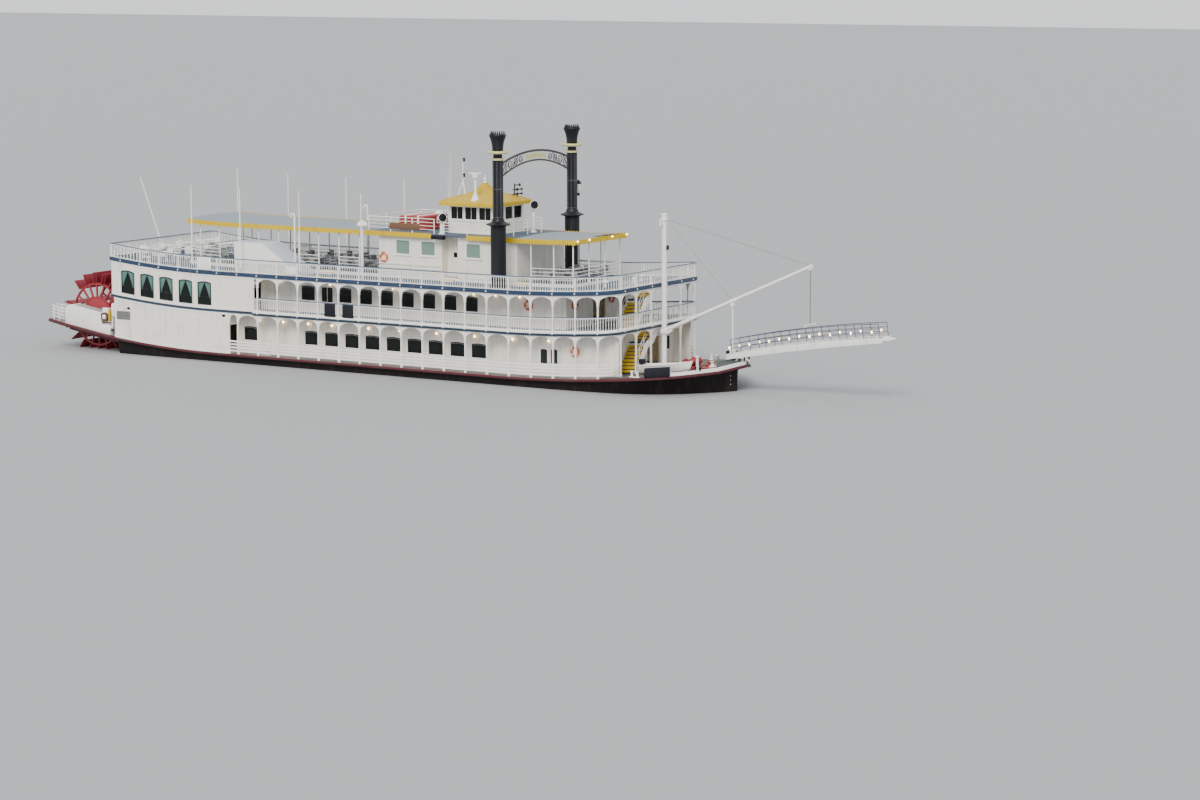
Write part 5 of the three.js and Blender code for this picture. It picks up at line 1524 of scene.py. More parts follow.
            ribs.append(Bench.sweep(oblong(low, high, 1.80, 1.818), [LINES.column(k) for k in range(0, 6)]))
            Bench.lift(ribs[-1])
        fit(ribs, "plating_ribs", Finish.TRIM_WHITE)

    def leaves(self) -> None:
        """Panels, panes and handles on the hinged leaves, which ride on them."""
        for side, end in SIDES:
            for node, x0, x1 in self.door_leaves:
                name = f"{node}_{end}"
                middle, half = (x0 + x1) / 2, (x1 - x0) / 2 - 0.05
                z0 = MAIN_TOP + 0.02 + rise_at(middle)
                y = side * self.main_half
                p0, p1 = across(side, self.main_half - 0.002, self.main_half + 0.006)
                pane = Bench.plate(self.arched(half - 0.02, z0 + 0.42, z0 + 0.93, 0.04), p0, p1)
                pane.data.transform(shift(middle))
                finish = Finish.WHITE if node == "door_service" else Finish.DARK_FRAME_AND_SHADOW
                dress(Bench.outward(pane), f"{name}_pane", finish, body=name)
                r0, r1 = across(side, self.main_half - 0.001, self.main_half + 0.012)
                rim = Bench.plate(self.arched(half, z0 + 0.4, z0 + 0.95, 0.045), r0, r1, 0.022)
                rim.data.transform(shift(middle))
                panel = Bench.block((middle - half, r0, z0 + 0.08), (middle + half, r1, z0 + 0.34), 0.006)
                fit([rim, panel], f"{name}_panel", Finish.TRIM_WHITE, body=name)
                free = x1 - 0.03 if node != "door_double_fore" else x0 + 0.03
                knob = Bench.rod((free, y, z0 + 0.45), (free, y + side * 0.045, z0 + 0.45), 0.008, 8, 0.014)
                dress(knob, f"{name}_handle", Finish.GOLD, body=name)
                repaint(Finish.WHITE, name)

    def casings(self) -> None:
        """Mouldings round the doorways."""
        trims = []
        for x0, x1 in ((7.25, 8.09), (9.2, 9.7)):
            half, middle = (x1 - x0) / 2, (x0 + x1) / 2
            ring = Bench.plate(
                self.arched(half + 0.05, MAIN_TOP + 0.006, MAIN_TOP + 1.09, 0.03), -0.016, 0.002, 0.045
            )
            ring.data.transform(shift(middle))
            trims.append(ring)
        cased = Bench.join(trims)
        dress(self.set_out(cased, [0.0], self.main_half), "door_casings", Finish.TRIM_WHITE)

    def lamps(self) -> None:
        """Warm bulkhead lamps under the decks, each on a white base, and panels of light in the cabins."""
        glass, bases = [], []
        rows = (
            (self.main_half, 2.54, (-4.93, -3.83, -2.69, -1.62, 0.0, 1.37, 2.97, 4.6, 6.2, 7.7)),
            (self.boiler_half, 4.0, (-4.2, -1.9, 0.9, 2.9, 4.37, 5.3, 6.31, 7.76)),
        )
        for half, z, xs in rows:
            for x in xs:
                for side in (STARBOARD, PORT):
                    foot = Vector((x, side * half, z + (rise_at(x) if x > 7 else 0)))
                    tip = foot + Vector((0, side * 0.05, 0))
                    bases.append(Bench.rod(foot, tip, 0.035, 10, 0.028))
                    glass.append(Bench.ball(tip + Vector((0, side * 0.025, 0)), 0.048, 8))
        for y in (-1.6, -0.2, 1.9):
            foot = Vector((9.78, y, 2.66 + rise_at(9.78)))
            bases.append(Bench.rod(foot, foot + Vector((0.05, 0, 0)), 0.035, 10, 0.028))
            glass.append(Bench.ball(foot + Vector((0.075, 0, 0)), 0.048, 8))
        for x, y, under in (
            (9.0, 0.9, 2.803), (7.4, 0, 4.173), (-5.3, 0, 2.803), (-6.7, -2.6, 2.803), (-6.7, 2.6, 2.803),
            (-4.2, 0, 4.173),
        ):
            glass.append(
                Bench.lift(
                    Bench.block((x - 0.25, y - 0.25, under - 0.02), (x + 0.25, y + 0.25, under), 0.006)
                )
            )
        dress(Bench.join(glass), "deck_lamps", Finish.LAMP)
        dress(Bench.join(bases), "deck_lamp_bases", Finish.TRIM_WHITE)

    def side_doors(self) -> None:
        """The fixed double door in each side of the boiler deck's house: two dark lights in a white frame."""
        x0, x1, low, high = -2.33, -1.85, BOILER_TOP + 0.43, BOILER_TOP + 0.96
        middle = (x0 + x1) / 2
        lights = [
            Bench.block((a, -0.006, low), (b, 0.004, high))
            for a, b in ((x0, middle - 0.015), (middle + 0.015, x1))
        ]
        dress(
            self.set_out(Bench.join(lights), [0.0], self.boiler_half), "side_door_lights", Finish.DARK_GLASS
        )
        outline = oblong(x0 - 0.05, x1 + 0.05, BOILER_TOP + 0.005, high + 0.1)
        case = Bench.plate(outline, -0.014, 0.002, 0.03)
        panels = [
            Bench.block((a, -0.01, BOILER_TOP + 0.07), (b, 0.0, low - 0.06), 0.004)
            for a, b in ((x0, middle - 0.02), (middle + 0.02, x1))
        ]
        dress(
            self.set_out(Bench.join([case, *panels]), [0.0], self.boiler_half),
            "side_door_frames",
            Finish.TRIM_WHITE,
        )

    def front(self) -> None:
        """Frames of the two forward doorways and plain panes beside them."""
        trims, panes = [], []
        for x, deck, door_y, lights in ((9.78, MAIN_TOP, 1.05, (1.95,)), (8.2, BOILER_TOP, 0.0, (1.6,))):
            z = deck + rise_at(x)
            ring = Bench.plate(self.arched(0.49, z + 0.006, z + 1.1, 0.03), -0.016, 0.002, 0.055)
            trims.append(ring)
            ring.data.transform(shift(x, door_y) @ turn(90))
            for y in lights:
                pane = Bench.plate(self.arched(0.2, z + 0.5, z + 0.98, 0.04), -0.004, 0.004)
                frame_ring = Bench.plate(self.arched(0.23, z + 0.47, z + 1.01, 0.045), -0.014, 0.002, 0.032)
                for thing in (pane, frame_ring):
                    thing.data.transform(shift(x, y) @ turn(90))
                panes.append(pane)
                trims.append(frame_ring)
        fit(trims, "front_wall_frames", Finish.TRIM_WHITE)
        fit(panes, "front_wall_panes", Finish.DARK_GLASS)

    def build(self) -> None:
        """Paints the walls and fits everything on them."""
        walls = [f"{deck}_wall_{end}" for deck in ("main", "boiler") for _, end in SIDES]
        walls += [
            f"{deck}_{part}" for deck in ("main", "boiler") for part in ("plating", "bulkhead", "front_wall")
        ]
        repaint(Finish.WHITE, *walls)
        self.windows(
            "main_windows", self.main_windows, self.main_half, 0.625, MAIN_TOP + 0.47, MAIN_TOP + 0.985
        )
        self.windows(
            "boiler_windows", self.boiler_windows, self.boiler_half, 0.6, BOILER_TOP + 0.45, BOILER_TOP + 0.99
        )
        self.saloon()
        self.mouldings()
        self.leaves()
        self.casings()
        self.lamps()
        self.side_doors()
        self.front()


@dataclass
class SternWheel:
    """The paddle wheel with its arms, casings and end rails."""

    x: float = -12.975
    z: float = 2.25
    radius: float = 1.6
    spokes: int = 20
    first: float = 2.0
    lost_board: int = 8
    frames: Sequence[float] = (-2.1, -0.7, 0.7, 2.1)
    half: float = 2.25
    arm_aft: float = -14.6
    arm_fore: float = -11.36
    inner: float = 2.45
    outer: float = 3.062
    casing_aft: float = -13.85
    casing_fore: float = -11.65

    def around(self, skip: int | None = None) -> list[Matrix]:
        """Places of the spokes round the shaft, without one of them if it is named."""
        angles = [self.first + i * 360 / self.spokes for i in range(self.spokes) if i != skip]
        return [shift(self.x, 0, self.z) @ turn(-angle, "Y") for angle in angles]

    def wheel(self) -> None:
        """Frames of spokes, rings and hub plates, the boards and the shaft."""
        spoke = [Bench.block((0.2, y - 0.03, -0.03), (1.16, y + 0.03, 0.03), 0.006) for y in self.frames]
        bolts = []
        for y in self.frames:
            bolts.append(
                Bench.block((1.14, y - 0.028, -0.026), (self.radius - 0.02, y + 0.028, 0.026), 0.005)
            )
            for r in (1.29, 1.5):
                bolts.append(Bench.rod((r, y, 0.07), (r, y, 0.05), 0.016, 6))
        board = Bench.block((self.radius - 0.39, -self.half, 0.02), (self.radius, self.half, 0.056), 0.005)
        seam = Bench.block((self.radius - 0.2, -self.half, 0.018), (self.radius - 0.19, self.half, 0.058))
        boards = Bench.copies(Bench.join([board, seam, *bolts]), self.around(self.lost_board))
        dress(boards, "wheel_boards", Finish.BOARD_RED, body="wheel", replaces=["wheel"])
        iron = [Bench.copies(Bench.join(spoke), self.around())]
        for y in self.frames:
            for radius in (1.2, 0.68):
                rim = Bench.plate(Bench.circle(radius, 40), y - 0.034, y + 0.034, 0.07)
                rim.data.transform(shift(self.x, 0, self.z))
                iron.append(rim)
            plate = [
                (0.62, -0.02), (0.6, -0.03), (0.3, -0.045), (0.18, -0.11), (0.18, 0.11), (0.3, 0.045),
                (0.6, 0.03), (0.62, 0.02),
            ]
            hub = Bench.turned(plate, (0, 0, 0), 32)
            hub.data.transform(shift(self.x, y, self.z) @ turn(90, "X"))
            iron.append(hub)
        shaft = Bench.turned(
            [(0.1, -2.56), (0.1, -2.3), (0.125, -2.28), (0.125, 2.28), (0.1, 2.3), (0.1, 2.56)], (0, 0, 0), 20
        )
        shaft.data.transform(shift(self.x, 0, self.z) @ turn(90, "X"))
        iron.append(shaft)
        fit(iron, "wheel_iron", Finish.SPOKE_RED, body="wheel")

    def casing(self, side: int) -> Thing:
        """The rounded white box over one crank."""
        top, foot, length = MAIN_TOP + 0.77, MAIN_TOP - 0.01, self.casing_fore - self.casing_aft
        outline = [
            (0.0, foot), (length, foot), (length, foot + 0.3), (length - 0.42, foot + 0.34),
            (length - 0.46, top), (0.34, top),
        ]
        for i in range(1, 8):
            angle = math.pi / 2 * i / 8
            outline.append((0.34 - 0.34 * math.sin(angle), top - 0.34 + 0.34 * math.cos(angle)))
        outline.append((0.0, top - 0.34))
        y0, y1 = across(side, self.inner, 3.0)
        box = Bench.plate(outline, y0, y1)
        box.data.transform(shift(self.casing_aft))
        Bench.modify(
            box, "BEVEL", width=0.025, segments=3, limit_method="ANGLE", angle_limit=math.radians(40)
        )
        return box

    def machinery(self, side: int) -> dict[Finish, list[Thing]]:
        """The open forward end: a crank wheel on its pale plate, a yellow post and pipes."""
        x, y, z = -11.95, side * 2.93, 2.29
        gear = Bench.plate(Bench.circle(0.17), -0.05, 0.05, 0.065)
        gear.data.transform(shift(x, y, z))
        hub = Bench.turned([(0.1, -0.055), (0.09, 0.05), (0.05, 0.075)], (0, 0, 0), 18)
        hub.data.transform(shift(x, y, z) @ turn(side * -90, "X"))
        back = Bench.block((-12.13, side * 2.8 - 0.04, 1.9), (-11.62, side * 2.8 + 0.04, 2.62), 0.01)
        rod = Bench.pipe([(x - 0.2, y, z - 0.21), (x + 0.3, y, z - 0.21)], 0.025)
        post = Bench.block((-11.74, y - 0.04, 2.15), (-11.66, y + 0.04, 2.62), 0.008)
        fairing = Bench.turned(
            [(0.07, 0), (0.085, 0.05), (0.085, 0.42), (0.06, 0.47)], (-11.5, side * 2.93, 2.36), 12
        )
        lug = Bench.pipe([(x - 0.02, y, z - 0.3), (x + 0.16, y, z - 0.3), (x + 0.3, y, z - 0.42)], 0.03)
        foot = Bench.block((-11.62, side * 2.9 - 0.08, 1.78), (-11.42, side * 2.9 + 0.08, 1.84), 0.01)
        return {
            Finish.RUST: [gear, rod],
            Finish.TRIM_WHITE: [hub, back, fairing, lug],
            Finish.OCHRE: [post],
            Finish.RUBBER: [foot],
        }

    def rails(self, side: int) -> list[Thing]:
        """Four bars and posts round the arm's aft end."""
        inner, outer = side * (self.inner + 0.05), side * 2.99
        aft, fore = self.arm_aft + 0.05, self.casing_aft - 0.04
        path = [
            (fore, outer), (aft + 0.16, outer), (aft + 0.04, outer - side * 0.05), (aft, outer - side * 0.16)
        ]
        path += [(aft, inner + side * 0.12), (aft + 0.1, inner), (fore, inner)]
        out = [
            Bench.pipe([(x, y, MAIN_TOP + height) for x, y in path], 0.017)
            for height in (0.14, 0.27, 0.4, 0.52)
        ]
        for x, y in (path[1], path[3], path[4], ((path[0][0] + path[1][0]) / 2, outer), (path[5][0], inner)):
            out.append(Bench.rod((x, y, MAIN_TOP - 0.01), (x, y, MAIN_TOP + 0.53), 0.02, 8))
        return out

    def arms(self) -> None:
        """Both arms: deck, beam, casing, grey top, crank gear and rails."""
        beams, planks, casings, tops = [], [], [], []
        stops = [self.arm_aft, LINES.column(-3), LINES.column(-2), LINES.column(-1), self.arm_fore]
        for side in (STARBOARD, PORT):
            y0, y1 = across(side, self.inner, self.outer)
            beams.append(Bench.sweep(oblong(y0, y1, 1.212, MAIN_TOP), stops))
            b0, b1 = across(side, self.inner, self.inner + 0.13)
            beams.append(Bench.sweep(oblong(b0, b1, 0.992, 1.23), [-14.0, *stops[1:]]))
            d0, d1 = across(side, self.inner + 0.02, self.outer - 0.05)
            planks.append(
                Bench.sweep(
                    oblong(d0, d1, MAIN_TOP - 0.01, MAIN_TOP + 0.004), [self.arm_aft + 0.05, *stops[1:]]
                )
            )
            casings.append(self.casing(side))
            t0, t1 = across(side, self.inner + 0.03, 2.96)
            tops.append(Bench.block((-13.45, t0, MAIN_TOP + 0.762), (-12.14, t1, MAIN_TOP + 0.776), 0.004))
        for things, name, finish, hides in (
            (beams, "wheel_arm_decks", Finish.GUARD, ["wheel_arm_stbd", "wheel_arm_port"]),
            (planks, "wheel_arm_planks", Finish.DECK_PALE, []),
            (casings, "wheel_casings", Finish.CASING, []),
            (tops, "casing_tops", Finish.CASING_TOP, []),
            ([*self.rails(STARBOARD), *self.rails(PORT)], "arm_rails", Finish.TRIM_WHITE, []),
        ):
            fit(things, name, finish, replaces=hides, lifted=True)
        both = (self.machinery(STARBOARD), self.machinery(PORT))
        for finish, name in (
            (Finish.RUST, "crank_gear"),
            (Finish.TRIM_WHITE, "crank_covers"),
            (Finish.OCHRE, "crank_posts"),
            (Finish.RUBBER, "crank_feet"),
        ):
            fit([*both[0][finish], *both[1][finish]], name, finish)

    def build(self) -> None:
        """Builds the wheel and its arms."""
        self.wheel()
        self.arms()


@dataclass
class Promenade:
    """Raised platform on the roof deck with its posts, rails, steps and seats, and the awnings over it."""

    aft: float = -8.85
    fore: float = 8.15
    half: float = 1.6
    post_y: float = 1.55
    post_radius: float = 0.026
    stern_post: float = -8.8
    first_post: float = -8.375
    fore_posts: Sequence[float] = (6.35, 7.3, 8.1)
    railed: Sequence[tuple[int, int]] = ((0, 2), (4, 7), (8, 9))
    bars: Sequence[float] = (0.14, 0.27, 0.4, 0.525)
    steps: Sequence[float] = (-6.1, -2.43, 2.9, 6.0)
    awning_half: float = 1.68
    edge_z: float = 5.96
    crown_z: float = 6.04
    foot_z: float = 5.8
    scallop: float = 0.115

    def aft_posts(self) -> list[float]:
        """Places of the aft awning's posts."""
        return [self.stern_post, *(self.first_post + i * LINES.bay for i in range(9))]

    @staticmethod
    def at(x: float, y: float, height: float) -> tuple[float, float, float]:
        """A point above the platform, raised with the sheer."""
        return x, y, PLATFORM_TOP + height + rise_at(x)

    @staticmethod
    def stops(x0: float, x1: float, parts: int = 1) -> list[float]:
        """Columns between two ends, with each bay split in parts."""
        marks = [LINES.column(k / parts) for k in range(0, 24 * parts)]
        return [x0, *(x for x in marks if x0 + 0.03 < x < x1 - 0.03), x1]

    def deck(self) -> None:
        """The platform's deck, its white edge boards and its yellow steps."""
        section = oblong(-self.half, self.half, 4.2955, PLATFORM_TOP)
        floor = Bench.lift(Bench.sweep(section, self.stops(self.aft, self.fore)))
        dress(Bench.outward(floor), "platform_floor", Finish.DECK, replaces=["roof_platform"])
        edges = []
        for side in (STARBOARD, PORT):
            y0, y1 = across(side, self.half, self.half + 0.014)
            board = oblong(y0, y1, 4.31, PLATFORM_TOP + 0.006)
            edges.append(Bench.sweep(board, self.stops(self.aft, self.fore)))
        for x in (self.aft - 0.014, self.fore):
            edges.append(Bench.block((x, -self.half, 4.31), (x + 0.014, self.half, PLATFORM_TOP + 0.006)))
        treads, risers = [], []
        for x in self.steps:
            for side in (STARBOARD, PORT):
                y0, y1 = across(side, self.half + 0.014, self.half + 0.17)
                risers.append(Bench.block((x - 0.26, y0, 4.3), (x + 0.26, y1, 4.352), 0.004))
                treads.append(Bench.block((x - 0.27, y0, 4.352), (x + 0.27, y1, 4.366), 0.004))
                t0, t1 = across(side, self.half - 0.12, self.half + 0.006)
                treads.append(
                    Bench.block(
                        (x - 0.27, t0, PLATFORM_TOP + 0.002), (x + 0.27, t1, PLATFORM_TOP + 0.014), 0.004
                    )
                )
        fit(edges, "platform_edges", Finish.TRIM_WHITE, lifted=True)
        fit(risers, "platform_step_boxes", Finish.TRIM_WHITE, lifted=True)
        fit(treads, "platform_treads", Finish.TREAD, lifted=True)

    def frame(self) -> None:
        """Posts with foot plates, four-bar rails and the bows that carry the canvas."""
        white = []
        aft = self.aft_posts()
        posts = [(x, side * self.post_y) for side in (STARBOARD, PORT) for x in (*aft, *self.fore_posts)]
        posts += [(self.fore_posts[-1], y) for y in (-0.517, 0.517)]
        for x, y in posts:
            foot, head = self.at(x, y, 0), (x, y, 5.88 + rise_at(x))
            white.append(Bench.rod(foot, head, self.post_radius, 10))
            white.append(Bench.turned([(0.05, 0), (0.05, 0.012), (0.028, 0.02), (0.028, 0.05)], foot, 10))
        runs = [(aft[a : b + 1], side * self.post_y) for a, b in self.railed for side in (STARBOARD, PORT)]
        runs += [(self.fore_posts, side * self.post_y) for side in (STARBOARD, PORT)]
        for xs, y in runs:
            for height in self.bars:
                white.append(
                    Bench.pipe([self.at(x, y, height) for x in xs], 0.016 if height > 0.5 else 0.0125)
                )
        for x in (self.stern_post, self.fore_posts[-1]):
            for height in self.bars:
                ends = [self.at(x, side * self.post_y, height) for side in (STARBOARD, PORT)]
                white.append(Bench.pipe(ends, 0.016 if height > 0.5 else 0.0125))
        for side in (STARBOARD, PORT):
            for height in self.bars[:3]:
                ends = [(x, side * 1.582, PLATFORM_TOP + height + rise_at(x)) for x in (-0.25, 2.5)]
                white.append(Bench.pipe(ends, 0.0125))
        for x in (*aft, *self.fore_posts):
            bow = [(x, y, self.crest(y) - 0.035 + rise_at(x)) for y in np.linspace(-1.6, 1.6, 9)]
            white.append(Bench.pipe(bow, 0.013))
        dress(Bench.join(white), "awning_frame", Finish.TRIM_WHITE)

    def crest(self, y: float | np.ndarray) -> float | np.ndarray:
        """Height of the canvas across the boat, before the sheer."""
        return self.edge_z + (self.crown_z - self.edge_z) * (1 - (y / self.awning_half) ** 2)

    def canvas(self, name: str, node: str, x0: float, x1: float) -> None:
        """One awning's top: a single stretched sheet that sags a little between its bows."""
        ys = np.linspace(-self.awning_half + 0.004, self.awning_half - 0.004, 15)
        top = [(float(y), float(self.crest(y))) for y in ys]
        section = [*top, *((y, z - 0.006) for y, z in reversed(top))]
        sheet = Bench.sweep(section, self.stops(x0, x1, 4))

        def sag(p: np.ndarray) -> np.ndarray:
            part = (p[:, 0] - self.first_post) / LINES.bay
            dip = 0.014 * np.sin(math.pi * part) ** 2 * (1 - (p[:, 1] / self.awning_half) ** 4)
            return np.stack([p[:, 0], p[:, 1], p[:, 2] - dip], axis=1)

        Bench.outward(Bench.lift(Bench.reshape(sheet, sag)))
        dress(sheet, name, Finish.CANVAS, replaces=[node])

    def frill(self, length: float, foot: float, head: float) -> Thing:
        """A valance drawn from x = 0: scallops along its foot and small points along its head."""
        count = max(round(length / self.scallop), 2)
        step = length / count
        below, above = [], []
        for i in range(count):
            x = i * step
            below += [
                (x + part * step, foot + 0.05 - drop)
                for part, drop in ((0, 0), (0.2, 0.042), (0.5, 0.056), (0.8, 0.042))
            ]
            above += [
                (x, head), (x + 0.3 * step, head + 0.004), (x + 0.5 * step, head + 0.045),
                (x + 0.7 * step, head + 0.004),
            ]
        below.append((length, foot + 0.05))
        above.append((length, head))
        return Bench.plate([*below, *reversed(above)], -0.006, 0.0)

    def valances(self) -> None:
        """Yellow valances along both awnings, across their outer ends and on the bridge deck's edges."""
        pieces = []
        for x0, x1, level in ((-8.91, -0.6, False), (5.8, 8.31, False), (-0.6, 2.2, True), (3.7, 5.8, True)):
            foot, head = (5.8, BRIDGE_TOP + 0.004) if level else (self.foot_z, self.edge_z + 0.006)
            for side in (STARBOARD, PORT):
                strip = self.frill(x1 - x0, foot, head)
                strip.data.transform(shift(x0, -self.awning_half - 0.002))
                if side == PORT:
                    strip.data.transform(stretch(1, -1, 1))
                pieces.append(strip if level else Bench.lift(strip))
        for x, angle in ((8.312, 90), (-8.912, -90)):
            strip = self.frill(2 * self.awning_half, self.foot_z, self.edge_z + 0.006)
            strip.data.transform(shift(x, 0, rise_at(x)) @ turn(angle) @ shift(-self.awning_half))
            pieces.append(strip)
        fit(pieces, "awning_valances", Finish.VALANCE)

    def lamps(self) -> None:
        """Round warm lamps along the awnings' outer ends."""
        glass = [Bench.ball((8.345, y, 5.93 + rise_at(8.3)), 0.034) for y in (-1.62, -0.85, 0.65, 1.62)]
        glass += [Bench.ball((-8.945, y, 5.93 + rise_at(-8.9)), 0.036) for y in (-1.6, 0.0, 1.6)]
        dress(Bench.join(glass), "awning_lamps", Finish.LAMP)

    @staticmethod
    def chair() -> Thing:
        """A light chair that faces +x, with its feet on z = 0."""
        parts = [
            Bench.block((-0.12, -0.12, 0.215), (0.12, 0.12, 0.235)),
            Bench.block((-0.135, -0.11, 0.24), (-0.118, 0.11, 0.42)),
        ]
        for x in (-0.105, 0.105):
            for y in (-0.105, 0.105):
                parts.append(Bench.rod((x * 1.15, y * 1.15, 0), (x, y, 0.22), 0.011, 4))
        for y in (-0.115, 0.115):
            parts.append(Bench.rod((-0.12, y, 0.32), (0.09, y, 0.32), 0.01, 4))
        return Bench.join(parts)

    def furniture(self) -> None:
        """Round tables with four chairs each: white ones on the open stern, darker ones under the awning."""
        open_sets = [(x, y, ROOF_TOP) for x in (-10.75, -9.7) for y in (-1.95, -0.65, 0.65, 1.95)]
        shaded = [(-7.9 + i * 1.12, y, PLATFORM_TOP) for i in range(7) for y in (-0.78, 0.78)]
        shaded += [(x, y, PLATFORM_TOP) for x in (6.7, 7.5) for y in (-0.78, 0.78)]
        top = [
            (0.15, 0), (0.15, 0.012), (0.02, 0.026), (0.018, 0.34), (0.05, 0.352), (0.25, 0.356),
            (0.25, 0.372),
        ]
        for sets, name, finish in (
            (open_sets, "stern_tables", Finish.TRIM_WHITE), (shaded, "awning_tables", Finish.STEEL_AND_GLINT)
        ):
            model = [Bench.turned(top, (0, 0, 0), 12)]
            seats = [turn(angle) @ shift(-0.4) for angle in (45, 135, 225, 315)]
            model.append(Bench.copies(self.chair(), seats))
            places = [shift(x, y, z + rise_at(x)) @ turn(17 * i) for i, (x, y, z) in enumerate(sets)]
            dress(Bench.outward(Bench.copies(Bench.join(model), places)), name, finish)

    def build(self) -> None:
        """Builds the platform and the awnings."""
        self.deck()
        self.frame()
        self.canvas("awning_aft_canvas", "awning_aft", -8.91, -0.6)
        self.canvas("awning_fore_canvas", "awning_fore", 5.8, 8.31)
        self.valances()
        self.lamps()
        self.furniture()


@dataclass
class Bridge:
    """Texas house, bridge deck and pilothouse, with what stands on them."""

    texas_half: float = 1.525
    texas_windows: Sequence[float] = (0.85, 1.95, 3.9)
    deck_half: float = 1.68
    aft: float = -0.6
    fore: float = 5.8
    rail_y: float = 1.64
    pilot_aft: float = 2.45
    pilot_fore: float = 4.4
    pilot_half: float = 0.95
    sill: float = 6.475
    head: float = 6.925
    side_lights: Sequence[tuple[float, float]] = ((2.56, 3.08), (3.16, 3.68), (3.76, 4.28))
    front_lights: Sequence[tuple[float, float]] = ((-0.84, -0.32), (-0.24, 0.24), (0.32, 0.84))
    roof_x: float = 3.39
    roof_half: tuple[float, float] = (1.185, 1.205)
    roof_curve: Sequence[tuple[float, float]] = (
        (1, 0),
        (1, 0.05),
        (0.94, 0.1),
        (0.84, 0.155),
        (0.7, 0.215),
        (0.56, 0.265),
        (0.43, 0.31),
        (0.33, 0.36),
        (0.25, 0.42),
        (0.18, 0.49),
        (0.12, 0.57),
        (0.07, 0.65),
        (0.04, 0.725),
    )

    def rounded(self, half: float, low: float, high: float, corner: float = 0.07) -> list[Point]:
        """Outline of a window with rounded corners, in the x-z plane."""
        points = []
        for cx, cz, start in (
            (half - corner, low + corner, -90), (half - corner, high - corner, 0),
            (corner - half, high - corner, 90), (corner - half, low + corner, 180),
        ):
            for step in range(5):
                angle = math.radians(start + step * 22.5)
                points.append((cx + corner * math.cos(angle), cz + corner * math.sin(angle)))
        return points

    def texas(self) -> None:
        """Sage panes in white frames, corner boards, and the light and knob of the recess's door."""
        repaint(Finish.WHITE, "texas_house", "door_texas")
        panes, trims = [], []
        for x in self.texas_windows:
            for side in (STARBOARD, PORT):
                y = side * self.texas_half
                p0, p1 = sorted((y - side * 0.03, y - side * 0.02))
                pane = Bench.plate(self.rounded(0.305, 5.17, 5.68), p0, p1)
                f0, f1 = sorted((y - side * 0.022, y + side * 0.012))
                ring = Bench.plate(self.rounded(0.325, 5.15, 5.7), f0, f1, 0.035)
                s0, s1 = sorted((y, y + side * 0.035))
                ledge = Bench.block((-0.36, s0, 5.115), (0.36, s1, 5.148), 0.006)
                for thing in (pane, ring, ledge):
                    thing.data.transform(shift(x))
                panes.append(pane)
                trims += [ring, ledge]
        for x in (-0.2, 2.55, 3.25, 5.75):
            for side in (STARBOARD, PORT):
                inner = 0.045 if x in (-0.2, 3.25) else -0.045
                x0, x1 = sorted((x, x + inner))
                y0, y1 = across(side, self.texas_half - 0.002, self.texas_half + 0.008)
                trims.append(Bench.block((x0, y0, 4.45), (x1, y1, 5.88)))
        for x0, x1 in ((-0.2, 2.55), (3.25, 5.75)):
            for side in (STARBOARD, PORT):
                y0, y1 = across(side, self.texas_half - 0.002, self.texas_half + 0.012)
                trims.append(Bench.block((x0, y0, 4.44), (x1, y1, 4.5)))
                trims.append(Bench.block((x0, y0, 5.83), (x1, y1, 5.89)))
        fit(panes, "texas_panes", Finish.SAGE_GLASS)
        fit(trims, "texas_trim", Finish.TRIM_WHITE)
        y = -(self.texas_half - 0.38)
        light = Bench.block((2.8, y - 0.006, 5.12), (2.95, y + 0.002, 5.3), 0.003)
        dress(light, "texas_door_light", Finish.DARK_GLASS, body="door_texas")
        knob = Bench.rod((3.06, y, 4.92), (3.06, y - 0.04, 4.92), 0.01, 8, 0.015)
        dress(knob, "texas_door_knob", Finish.GOLD, body="door_texas")

    def life_rings(self) -> None:
        """Life rings on the walls, each with four white bands."""
        hoops, bands = [], []
        spots = [
            (x, side * y, z, 0)
            for x, y, z in ((0.02, 1.565, 5.04), (6.65, 2.19, 3.72), (8.75, 2.49, 2.25))
            for side in (STARBOARD, PORT)
        ]
        spots += [(8.24, -1.65, 3.76, 90), (8.24, 0.78, 3.8, 90)]
        for x, y, z, facing in spots:
            place = shift(x, y, z) @ turn(facing)
            ring = Bench.hoop((0, 0, 0), 0.15, 0.038, (math.pi / 2, 0, 0), 24)
            ring.data.transform(place)
            hoops.append(ring)
            for i in range(4):
                band = Bench.hoop((0, 0, 0), 0.04, 0.005, (0, 0, 0), 10)
                band.data.transform(place @ turn(45 + 90 * i, "Y") @ shift(0.15) @ stretch(1, 1, 4))
                bands.append(band)
        fit(hoops, "life_rings", Finish.RING)
        fit(bands, "life_ring_bands", Finish.TRIM_WHITE)

    def rails(self) -> list[Thing]:
        """Four-bar rails round the bridge deck's aft end, past the pilothouse and ahead of it."""
        y = self.rail_y
        aft = [
            (2.3, -y), (1.35, -y), (0.4, -y), (-0.56, -y), (-0.56, -0.55), (-0.56, 0.55), (-0.56, y),
            (0.4, y), (1.35, y), (2.3, y),
        ]
        fore = [(4.46, -0.9), (5.2, -0.9), (5.2, 0.0), (5.2, 0.9), (4.46, 0.9)]
        walks = [[(2.72, side * y), (3.72, side * y)] for side in (STARBOARD, PORT)]
        out = []
        for path, top in ((aft, 0.525), (fore, 0.525), *((walk, 0.42) for walk in walks)):
            for part in (0.27, 0.52, 0.76, 1.0):
                radius = 0.016 if part == 1.0 else 0.012
                out.append(Bench.pipe([(px, py, BRIDGE_TOP + part * top) for px, py in path], radius))
            for px, py in path:
                out.append(Bench.rod((px, py, BRIDGE_TOP - 0.005), (px, py, BRIDGE_TOP + top), 0.019, 8))
        return out

